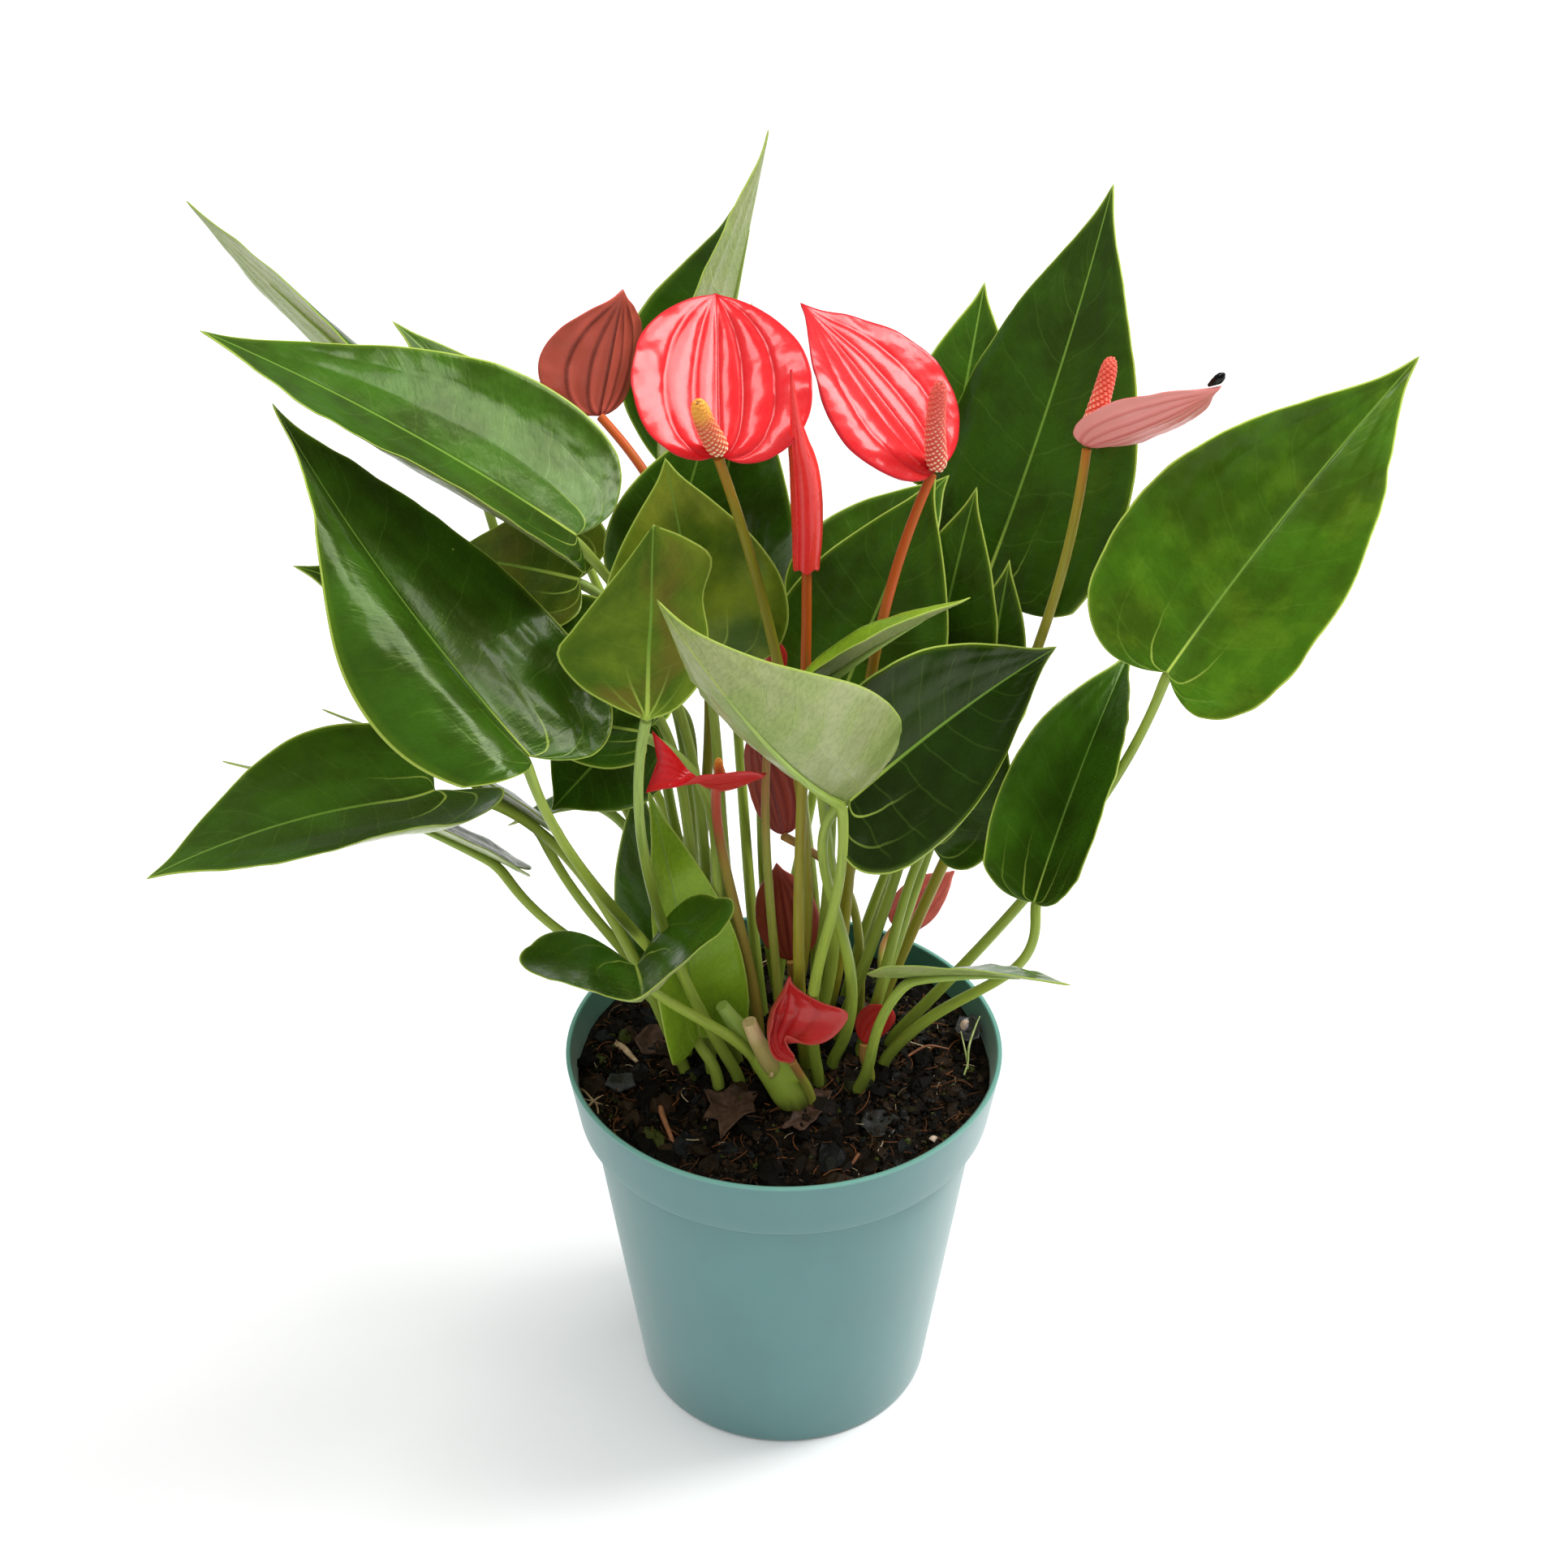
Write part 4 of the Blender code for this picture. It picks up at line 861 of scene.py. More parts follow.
def spathe_skin():
    """Colour, roughness and relief in millimetres of a spathe with furrows between its ribs."""
    group, tree, given, out = new_group("spathe skin", "ShaderNodeTree", [
        ("Place", VECTOR, None), ("Flat", VECTOR, None), ("Kind", VECTOR, None),
        ("Face", COLOR, GREY), ("Furrow", COLOR, GREY), ("Bloom", COLOR, GREY),
        ("Margin", COLOR, GREY), ("Back", COLOR, GREY), ("Shine", NUMBER, 0.2)], SKIN_OUTPUTS)
    rib, across, span = tree.split(given["Place"])
    under, tone_and_shade, _ = tree.split(given["Kind"])
    flat = given["Flat"]
    share = tree.math("ABSOLUTE", across)
    drift = tree.math("SUBTRACT", tree.noise(flat, 0.12, 2), 0.5)
    furrow = tree.ramp(tree.math("MULTIPLY", share, span), 0.1, 0.9, 1.0, 0.0)
    for place in SPATHE_RIBS:
        away = tree.math("ABSOLUTE", tree.math("SUBTRACT", share, tree.math(
            "MULTIPLY_ADD", drift, 0.03, place)))
        line = tree.ramp(tree.math("MULTIPLY", away, span), 0.05, 1.1, 0.8, 0.0)
        furrow = tree.math("MAXIMUM", furrow, line)
    furrow = tree.math("MULTIPLY", furrow, tree.ramp(rib, 0.75, 1.0, 1.0, 0.2))
    patches = tree.ramp(tree.noise(flat, 0.16, 4, 0.6), 0.35, 0.7)
    freckle = tree.noise(flat, 1.1, 3, 0.7)
    color = tree.blend(tree.math("MULTIPLY", patches, 0.06), given["Face"], given["Bloom"])
    color = tree.blend(tree.ramp(freckle, 0.55, 0.8, 0.0, 0.10), color, given["Bloom"])
    color = tree.blend(tree.math("MULTIPLY", furrow, 0.55), color, given["Furrow"])
    from_edge = tree.math("MULTIPLY", tree.math("SUBTRACT", 1.0, share), span)
    margin = tree.ramp(from_edge, 0.2, 1.0, 0.7, 0.0)
    color = tree.blend(margin, color, given["Margin"])
    color = tree.blend(tree.ramp(rib, 0.93, 1.0), color, given["Furrow"])
    back = tree.blend(tree.math("MULTIPLY", furrow, 0.85), given["Back"], given["Furrow"])
    back = tree.blend(tree.ramp(freckle, 0.4, 0.8, 0.0, 0.08), back, given["Bloom"])
    color = tree.blend(under, color, back)
    tree.feed(out["Color"], tree.vector("SCALE", color, scale=tone_and_shade))
    crumple = tree.math("MULTIPLY", tree.noise(flat, 0.24, 2), 0.14)
    crumple = tree.math("MULTIPLY_ADD", tree.noise(flat, 1.6, 2), 0.02, crumple)
    depth = tree.math("MULTIPLY", furrow, tree.ramp(rib, 0.45, 0.85, -0.10, 0.0))
    tree.feed(out["Height"], tree.math("ADD", depth, crumple))
    rough = tree.math("MULTIPLY_ADD", tree.noise(flat, 0.5, 3), 0.10, given["Shine"])
    tree.feed(out["Roughness"], tree.math("MULTIPLY_ADD", under, 0.22, rough))
    return group


def stalk_skin():
    """Colour, roughness and relief of a stalk that changes from its foot to its top."""
    group, tree, given, out = new_group("stalk skin", "ShaderNodeTree", [
        ("Run", VECTOR, None), ("Ring", VECTOR, None), ("Foot", COLOR, GREY),
        ("Middle", COLOR, GREY), ("Top", COLOR, GREY), ("Streak", COLOR, GREY),
        ("Turn", NUMBER, 0.6)], SKIN_OUTPUTS)
    along, length, seed = tree.split(given["Run"])
    around = tree.vector("SCALE", given["Ring"], scale=1.1)
    streaks = tree.vector("ADD", around, tree.join(seed, 0.0, tree.math("MULTIPLY", length, 0.05)))
    streak = tree.noise(streaks, 1.6, 3, 0.6)
    color = tree.blend(tree.ramp(along, 0.02, 0.25), given["Foot"], given["Middle"])
    shift = tree.math("MULTIPLY_ADD", streak, 0.2, tree.math("SUBTRACT", given["Turn"], 0.1))
    color = tree.blend(tree.ramp(along, shift, tree.math("ADD", shift, 0.22)), color,
                       given["Top"])
    color = tree.blend(tree.ramp(streak, 0.45, 0.75, 0.0, 0.55), color, given["Streak"])
    tree.feed(out["Color"], color)
    tree.feed(out["Roughness"], tree.ramp(streak, 0.3, 0.7, 0.32, 0.5))
    blobs = tree.noise(streaks, 5.0, 2)
    tree.feed(out["Height"], tree.math("MULTIPLY", tree.math("ADD", blobs, streak), 0.06))
    return group


SPATHE_RIBS = (0.28, 0.62)
LEAF_RIBS = (0.36, 0.70)


# Materials


def new_material(name):
    """A material with only its Principled shader and output, and its tree."""
    made = bpy.data.materials.new(name)
    made.use_nodes = True
    return made, Tree(made.node_tree), made.node_tree.nodes["Principled BSDF"].inputs


def stored(tree, name):
    return tree.add("ShaderNodeAttribute", attribute_name=name).outputs["Vector"]


def emboss(tree, shader, height, depth=MM, strength=1.0):
    """Raises a material's surface by a height that stands for a depth in metres."""
    bump = tree.add("ShaderNodeBump", {"Strength": strength, "Distance": depth, "Height": height})
    tree.feed(shader["Normal"], bump.outputs[0])


WHITE = (1.0, 1.0, 1.0, 1.0)


def skinned(name, group, places, values, gloss=0.25, coat=0.0, glow=0.0, tint=WHITE):
    """A material whose colour, gloss and relief come from one skin group."""
    made, tree, shader = new_material(name)
    given = {socket: stored(tree, attribute) for socket, attribute in places.items()}
    given.update(values)
    skin = tree.add("ShaderNodeGroup", given, node_tree=group).outputs
    tree.feed(shader["Base Color"], skin["Color"])
    tree.feed(shader["Roughness"], skin["Roughness"])
    emboss(tree, shader, skin["Height"])
    shader["Specular IOR Level"].default_value = gloss
    shader["Specular Tint"].default_value = tint
    shader["Coat Weight"].default_value = coat
    shader["Coat Roughness"].default_value = 0.12
    shader["Subsurface Weight"].default_value = glow
    shader["Subsurface Scale"].default_value = MM
    shader["Subsurface Radius"].default_value = (1.0, 0.6, 0.3)
    return made


LEAF_PLACES = {"Place": "leaf_place", "Flat": "leaf_flat", "Kind": "leaf_kind",
               "Age": "leaf_age"}
SPATHE_PLACES = {"Place": "leaf_place", "Flat": "leaf_flat", "Kind": "leaf_kind"}
STALK_PLACES = {"Run": "run", "Ring": "ring"}


def leaf_material(name, hues, blade):
    return skinned(name, kept("leaf skin", leaf_skin), LEAF_PLACES, {
        "Blade": rgba(blade), "Deep": rgba(hues.leaf_deep), "Rib": rgba(hues.leaf_vein),
        "Margin": rgba(hues.leaf_margin), "Underside": rgba(hues.leaf_under),
        "Young": rgba(hues.leaf_young)}, gloss=0.24, coat=0.15,
        tint=(0.70, 0.95, 0.30, 1.0))


def stalk_material(name, foot, middle, top, streak, turn=0.6):
    return skinned(name, kept("stalk skin", stalk_skin), STALK_PLACES, {
        "Foot": rgba(foot), "Middle": rgba(middle), "Top": rgba(top), "Streak": rgba(streak),
        "Turn": turn})


def spathe_material(name, face, furrow, bloom, margin, back, shine=0.22):
    return skinned(name, kept("spathe skin", spathe_skin), SPATHE_PLACES, {
        "Face": rgba(face), "Furrow": rgba(furrow), "Bloom": rgba(bloom),
        "Margin": rgba(margin), "Back": rgba(back), "Shine": shine}, gloss=0.2, coat=0.28)


def kept(name, make):
    """The node group of this name, made the first time that it is asked for."""
    found = bpy.data.node_groups.get(name)
    return found if found else make()


def rgba(color):
    return tuple(color)[:3] + (1.0,)


def spadix_material(name, foot, middle, tip, dot):
    """Small domed florets, each with a cream point, over a core that changes along it and is painted darker
    as the shade between the florets.
    """
    made, tree, shader = new_material(name)
    along, drawn, bead = tree.split(stored(tree, "bead_run"))
    local = tree.split(stored(tree, "bead_place"))
    color = tree.blend(tree.ramp(along, 0.02, 0.30), rgba(foot), rgba(middle))
    color = tree.blend(tree.ramp(along, 0.55, 0.85), color, rgba(tip))
    color = tree.blend(tree.math("MULTIPLY", drawn, 0.25), color, rgba(tip))
    # Painted shade: the core between the florets is painted darker, as the shade between them
    core = tree.vector("SCALE", color, scale=0.35)
    color = tree.blend(bead, core, color)
    limit = tree.ramp(along, 0.1, 0.80, 0.80, 0.93, "LINEAR")
    point = tree.ramp(local[2], limit, tree.math("ADD", limit, 0.07))
    chosen = tree.math("GREATER_THAN", tree.math("ADD", drawn, tree.ramp(
        along, 0.45, 0.85, 0.9, -0.1)), 0.3)
    point = tree.math("MULTIPLY", tree.math("MULTIPLY", point, bead), chosen)
    color = tree.blend(point, color, rgba(dot))
    tree.feed(shader["Base Color"], color)
    place = tree.add("ShaderNodeTexCoord").outputs["Object"]
    grain = tree.noise(place, 2500.0, 2)
    tree.feed(shader["Roughness"], tree.ramp(grain, 0.3, 0.7, 0.38, 0.55))
    emboss(tree, shader, grain, 0.05 * MM, 0.6)
    shader["Subsurface Weight"].default_value = 0.1
    shader["Subsurface Scale"].default_value = MM
    return made


def pot_material(hues):
    """Matte injection-moulded plastic with faint haze, darker patches low down and light scuffs, a top edge
    painted lighter as highlight and an inner wall painted darker as shade.
    """
    made, tree, shader = new_material("teal pot plastic")
    place = tree.add("ShaderNodeTexCoord").outputs["Object"]
    z = tree.split(place)[2]
    radius = tree.vector("LENGTH", tree.vector("MULTIPLY", place, (1.0, 1.0, 0.0)))
    slope = (RIM_RADIUS - COLLAR_RADIUS) / COLLAR_DEPTH
    wall = tree.math("MULTIPLY_ADD", tree.math("SUBTRACT", z, POT_HEIGHT * MM), slope,
                     (RIM_RADIUS - WALL * 0.6) * MM)
    # Painted shade: the inner wall above the peat is painted darker, as the shade inside the pot
    inside = tree.math("MULTIPLY", tree.ramp(radius, tree.math("SUBTRACT", wall, 0.4 * MM),
                                             wall, 1.0, 0.0),
                       tree.ramp(z, 0.09, 0.095))
    mist = tree.noise(place, 28.0, 4, 0.6)
    streaks = tree.noise(tree.vector("MULTIPLY", place, (1.0, 1.0, 0.12)), 160.0, 3, 0.6)
    color = tree.blend(tree.ramp(mist, 0.3, 0.7), rgba(hues.pot), rgba(hues.pot_pale))
    color = tree.blend(tree.ramp(streaks, 0.42, 0.72, 0.0, 0.18), color, rgba(hues.pot_pale))
    # Darker patches towards the bottom of the pot
    low = tree.ramp(z, 0.0, 0.030, 0.35, 0.0)
    color = tree.blend(tree.math("MULTIPLY", low, tree.ramp(mist, 0.35, 0.6)), color,
                       rgba(hues.pot_deep))
    scuff_place = tree.vector("MULTIPLY", place, (1.0, 1.0, 0.5))
    scuff = tree.ramp(tree.noise(scuff_place, 420.0, 5, 0.75), 0.66, 0.74)
    scuff = tree.math("MULTIPLY", scuff, tree.ramp(tree.noise(place, 45.0, 2), 0.56, 0.66))
    scuff = tree.math("MULTIPLY", scuff, tree.ramp(z, 0.080, 0.100, 0.35, 1.0))
    color = tree.blend(tree.math("MULTIPLY", scuff, 0.55), color, rgba(hues.pot_scuff))
    # Painted highlight: the thin top edge of the rim is painted lighter, as the light that it catches
    rim = tree.ramp(z, (POT_HEIGHT - 0.9) * MM, (POT_HEIGHT - 0.1) * MM)
    color = tree.blend(tree.math("MULTIPLY", rim, 0.75), color, rgba(hues.pot_rim_highlight))
    color = tree.blend(inside, color, rgba(hues.pot_inside_shade))
    tree.feed(shader["Base Color"], color)
    rough = tree.ramp(mist, 0.3, 0.7, 0.50, 0.62)
    tree.feed(shader["Roughness"], tree.math("MULTIPLY_ADD", scuff, 0.2, rough))
    grain = tree.noise(place, 3000.0, 2)
    waviness = tree.math("MULTIPLY_ADD", tree.noise(place, 60.0, 2), 0.10,
                         tree.math("MULTIPLY", grain, 0.012))
    emboss(tree, shader, waviness)
    shader["Sheen Weight"].default_value = 0.4
    shader["Sheen Roughness"].default_value = 0.45
    return made


def peat_material(hues):
    """Damp peat: nearly black, with brown fibres, grey glints from glossy wet patches whose grey tint is
    painted sheen, and a little moss.
    """
    made, tree, shader = new_material("damp peat")
    place = tree.add("ShaderNodeTexCoord").outputs["Object"]
    coarse = tree.noise(place, 220.0, 4, 0.65)
    fine = tree.noise(place, 1400.0, 4, 0.7)
    color = tree.blend(tree.ramp(coarse, 0.42, 0.75), rgba(hues.peat), rgba(hues.peat_brown))
    # Wet patches: lower roughness for their real gloss, and a grey tint painted in as their sheen
    wet = tree.ramp(tree.noise(place, 130.0, 3), 0.56, 0.68)
    color = tree.blend(tree.math("MULTIPLY", wet, 0.6), color, rgba(hues.peat_sheen_grey))
    moss = tree.ramp(tree.noise(place, 60.0, 4, 0.65), 0.60, 0.70)
    color = tree.blend(tree.math("MULTIPLY", moss, 0.45), color, rgba(hues.moss))
    color = tree.blend(tree.ramp(fine, 0.62, 0.78, 0.0, 0.5), color, rgba(hues.peat_brown))
    tree.feed(shader["Base Color"], color)
    tree.feed(shader["Roughness"], tree.ramp(wet, 0.0, 1.0, 0.75, 0.28))
    shader["Specular IOR Level"].default_value = 0.12
    lumps = tree.math("MULTIPLY_ADD", fine, 0.25, tree.math("MULTIPLY", coarse, 0.8))
    emboss(tree, shader, lumps)
    return made


def litter_material(hues):
    """Loose crumbs, fibres and flakes, each tinted by its own drawn number."""
    made, tree, shader = new_material("loose peat")
    drawn, kind, _ = tree.split(stored(tree, "litter_tint"))
    place = tree.add("ShaderNodeTexCoord").outputs["Object"]
    color = tree.blend(tree.ramp(drawn, 0.45, 0.72), rgba(hues.peat), rgba(hues.peat_brown))
    # Some crumbs get the grey tint that is painted sheen
    color = tree.blend(tree.ramp(drawn, 0.76, 0.82), color, rgba(hues.peat_sheen_grey))
    color = tree.blend(tree.ramp(drawn, 0.955, 0.965), color, rgba(hues.moss))
    thread = tree.blend(drawn, rgba(hues.fibre), rgba(hues.peat_brown))
    thread = tree.blend(tree.ramp(drawn, 0.86, 0.9), thread, rgba(hues.fibre_pale))
    color = tree.blend(kind, color, thread)
    fine = tree.noise(place, 1600.0, 4, 0.7)
    color = tree.blend(tree.ramp(fine, 0.4, 0.8, 0.0, 0.5), color, rgba(hues.peat))
    tree.feed(shader["Base Color"], color)
    tree.feed(shader["Roughness"], tree.ramp(drawn, 0.3, 0.9, 0.7, 0.2))
    shader["Specular IOR Level"].default_value = 0.14
    emboss(tree, shader, fine, 0.3 * MM, 0.8)
    return made


def scrap_material(name, first, second, scale=400.0, rough=0.6):
    """A dry or moist scrap of the plant, mottled between two colours."""
    made, tree, shader = new_material(name)
    place = tree.add("ShaderNodeTexCoord").outputs["Object"]
    mottle = tree.noise(place, scale, 4, 0.65)
    fine = tree.noise(place, scale * 5, 2, 0.6)
    color = tree.blend(tree.ramp(mottle, 0.35, 0.65), rgba(first), rgba(second))
    color = tree.blend(tree.ramp(fine, 0.5, 0.8, 0.0, 0.4), color, rgba(first))
    tree.feed(shader["Base Color"], color)
    tree.feed(shader["Roughness"], tree.ramp(fine, 0.3, 0.7, rough - 0.1, rough + 0.1))
    height = tree.math("MULTIPLY_ADD", mottle, 0.5, tree.math("MULTIPLY", fine, 0.15))
    emboss(tree, shader, height, 0.5 * MM, 0.9)
    return made


# Geometry trees


SHAPE = "NodeSocketGeometry"


def read(tree, name, kind="FLOAT"):
    return tree.add("GeometryNodeInputNamedAttribute", {"Name": name}, data_type=kind).outputs[0]


def write(tree, shape, name, value, kind="FLOAT_VECTOR", domain="POINT"):
    return tree.add("GeometryNodeStoreNamedAttribute",
                    {"Geometry": shape, "Name": name, "Value": value},
                    data_type=kind, domain=domain).outputs[0]


def finished(tree, shape, given, out, smooth=True):
    """Ends a geometry tree: real meshes, shading and the material."""
    shape = tree.add("GeometryNodeRealizeInstances", {0: shape}).outputs[0]
    shape = tree.add("GeometryNodeSetShadeSmooth", {0: shape, 2: smooth}).outputs[0]
    shape = tree.add("GeometryNodeSetMaterial", {"Geometry": shape,
                                                 "Material": given["Material"]}).outputs[0]
    tree.feed(out["Geometry"], shape)


def tube_tree():
    """A tube of changing girth along a line of points."""
    group, tree, given, out = new_group("tube along a line", "GeometryNodeTree", [
        ("Geometry", SHAPE, None), ("Sides", "NodeSocketInt", 14),
        ("Material", "NodeSocketMaterial", None)], [("Geometry", SHAPE)])
    line = tree.add("GeometryNodeMeshToCurve", {0: given["Geometry"]}).outputs[0]
    ring = tree.add("GeometryNodeCurvePrimitiveCircle", {"Resolution": given["Sides"],
                                                         "Radius": 1.0}).outputs[0]
    ring = write(tree, ring, "ring", tree.add("GeometryNodeInputPosition").outputs[0])
    tube = tree.add("GeometryNodeCurveToMesh", {"Curve": line, "Profile Curve": ring,
                                                "Scale": read(tree, "girth"),
                                                "Fill Caps": True}).outputs[0]
    finished(tree, tube, given, out)
    return group


def spadix_tree():
    """A spike of small domed florets in a spiral over its core."""
    group, tree, given, out = new_group("beaded spike", "GeometryNodeTree", [
        ("Geometry", SHAPE, None), ("Florets", "NodeSocketInt", 400),
        ("Floret Radius", NUMBER, 0.0005), ("Sides", "NodeSocketInt", 16),
        ("Seed", "NodeSocketInt", 3), ("Material", "NodeSocketMaterial", None)],
        [("Geometry", SHAPE)])
    line = tree.add("GeometryNodeMeshToCurve", {0: given["Geometry"]}).outputs[0]
    ring = tree.add("GeometryNodeCurvePrimitiveCircle", {"Resolution": given["Sides"],
                                                         "Radius": 1.0}).outputs[0]
    core = tree.add("GeometryNodeCurveToMesh", {"Curve": line, "Profile Curve": ring,
                                                "Scale": read(tree, "girth"),
                                                "Fill Caps": True}).outputs[0]
    core = write(tree, core, "bead_run", tree.join(
        tree.split(read(tree, "run", "FLOAT_VECTOR"))[0], 0.5, 0.0))
    points = tree.add("GeometryNodePoints", {"Count": given["Florets"]}).outputs[0]
    index = tree.add("GeometryNodeInputIndex").outputs[0]
    share = tree.math("DIVIDE", tree.math("ADD", index, 0.5), given["Florets"])
    share = tree.math("MULTIPLY_ADD", share, 0.985, 0.01)
    sampled = tree.add("GeometryNodeSampleCurve", {"Curves": line, "Factor": share},
                       mode="FACTOR", data_type="FLOAT")
    tree.feed(sampled.inputs["Value"], read(tree, "girth"))
    girth, spot, ahead, side = (sampled.outputs[i] for i in range(4))
    angle = tree.math("MULTIPLY", index, GOLDEN_ANGLE)
    across = tree.vector("CROSS_PRODUCT", ahead, side)
    out_way = tree.vector("ADD", tree.vector("SCALE", side, scale=tree.math("COSINE", angle)),
                          tree.vector("SCALE", across, scale=tree.math("SINE", angle)))
    spot = tree.vector("ADD", spot, tree.vector("SCALE", out_way, scale=girth))
    draw = tree.add("FunctionNodeRandomValue", {"Seed": given["Seed"]}, data_type="FLOAT")
    points = write(tree, points, "bead_run", tree.join(share, draw.outputs[1], 1.0))
    points = write(tree, points, "bead_girth", girth, "FLOAT")
    points = write(tree, points, "bead_way", out_way)
    points = tree.add("GeometryNodeSetPosition", {"Geometry": points, "Position": spot}).outputs[0]
    bead = tree.add("GeometryNodeMeshUVSphere", {"Segments": 8, "Rings": 5, "Radius": 1.0})
    local = tree.add("GeometryNodeInputPosition").outputs[0]
    bead = write(tree, bead.outputs[0], "bead_place", local)
    turn = tree.add("FunctionNodeAlignRotationToVector",
                    {"Vector": read(tree, "bead_way", "FLOAT_VECTOR")}, axis="Z").outputs[0]
    size = tree.math("MULTIPLY", given["Floret Radius"], tree.ramp(
        read(tree, "bead_girth"), 0.0, 0.0015, 0.55, 1.0, "LINEAR"))
    beads = tree.add("GeometryNodeInstanceOnPoints", {
        "Points": points, "Instance": bead, "Rotation": turn,
        "Scale": tree.join(size, size, tree.math("MULTIPLY", size, 0.75))}).outputs[0]
    both = tree.add("GeometryNodeJoinGeometry")
    tree.feed(both.inputs[0], beads)
    tree.feed(both.inputs[0], core)
    finished(tree, both.outputs[0], given, out)
    return group


GOLDEN_ANGLE = 2.39996


def pot_tree():
    """A line of radius and height turned round the upright axis, with drain holes in its floor."""
    group, tree, given, out = new_group("turned pot", "GeometryNodeTree", [
        ("Geometry", SHAPE, None), ("Sides", "NodeSocketInt", 128),
        ("Drain Holes", "NodeSocketInt", 6), ("Drain Radius", NUMBER, 0.004),
        ("Drain Circle", NUMBER, 0.027), ("Floor", NUMBER, 0.002),
        ("Material", "NodeSocketMaterial", None)], [("Geometry", SHAPE)])
    rows = tree.add("GeometryNodeAttributeDomainSize", {0: given["Geometry"]},
                    component="MESH").outputs["Point Count"]
    columns = tree.math("ADD", given["Sides"], 1)
    grid = tree.add("GeometryNodeMeshGrid", {"Vertices X": columns, "Vertices Y": rows}).outputs[0]
    index = tree.add("GeometryNodeInputIndex").outputs[0]
    column = tree.math("FLOOR", tree.math("DIVIDE", tree.math("ADD", index, 0.5), rows))
    row = tree.math("SUBTRACT", index, tree.math("MULTIPLY", column, rows))
    sampled = tree.add("GeometryNodeSampleIndex", {"Geometry": given["Geometry"]},
                       data_type="FLOAT_VECTOR", domain="POINT")
    tree.feed(sampled.inputs["Value"], tree.add("GeometryNodeInputPosition").outputs[0])
    tree.feed(sampled.inputs["Index"], row)
    radius, _, height = tree.split(sampled.outputs[0])
    angle = tree.math("MULTIPLY", tree.math("DIVIDE", column, given["Sides"]), 2 * math.pi)
    spot = tree.join(tree.math("MULTIPLY", radius, tree.math("COSINE", angle)),
                     tree.math("MULTIPLY", radius, tree.math("SINE", angle)), height)
    wall = tree.add("GeometryNodeSetPosition", {"Geometry": grid, "Position": spot}).outputs[0]
    wall = tree.add("GeometryNodeMergeByDistance", {"Geometry": wall,
                                                    "Distance": 0.00001}).outputs[0]
    circle = tree.add("GeometryNodeMeshCircle", {"Vertices": given["Drain Holes"],
                                                 "Radius": given["Drain Circle"]}).outputs[0]
    drill = tree.add("GeometryNodeMeshCylinder", {
        "Vertices": 32, "Radius": given["Drain Radius"],
        "Depth": tree.math("MULTIPLY", given["Floor"], 4.0)}).outputs[0]
    drills = tree.add("GeometryNodeInstanceOnPoints", {"Points": circle,
                                                       "Instance": drill}).outputs[0]
    drills = tree.add("GeometryNodeRealizeInstances", {0: drills}).outputs[0]
    bored = tree.add("GeometryNodeMeshBoolean", operation="DIFFERENCE", solver="EXACT")
    tree.feed(bored.inputs[0], wall)
    tree.feed(bored.inputs[1], drills)
    finished(tree, bored.outputs[0], given, out)
    return group


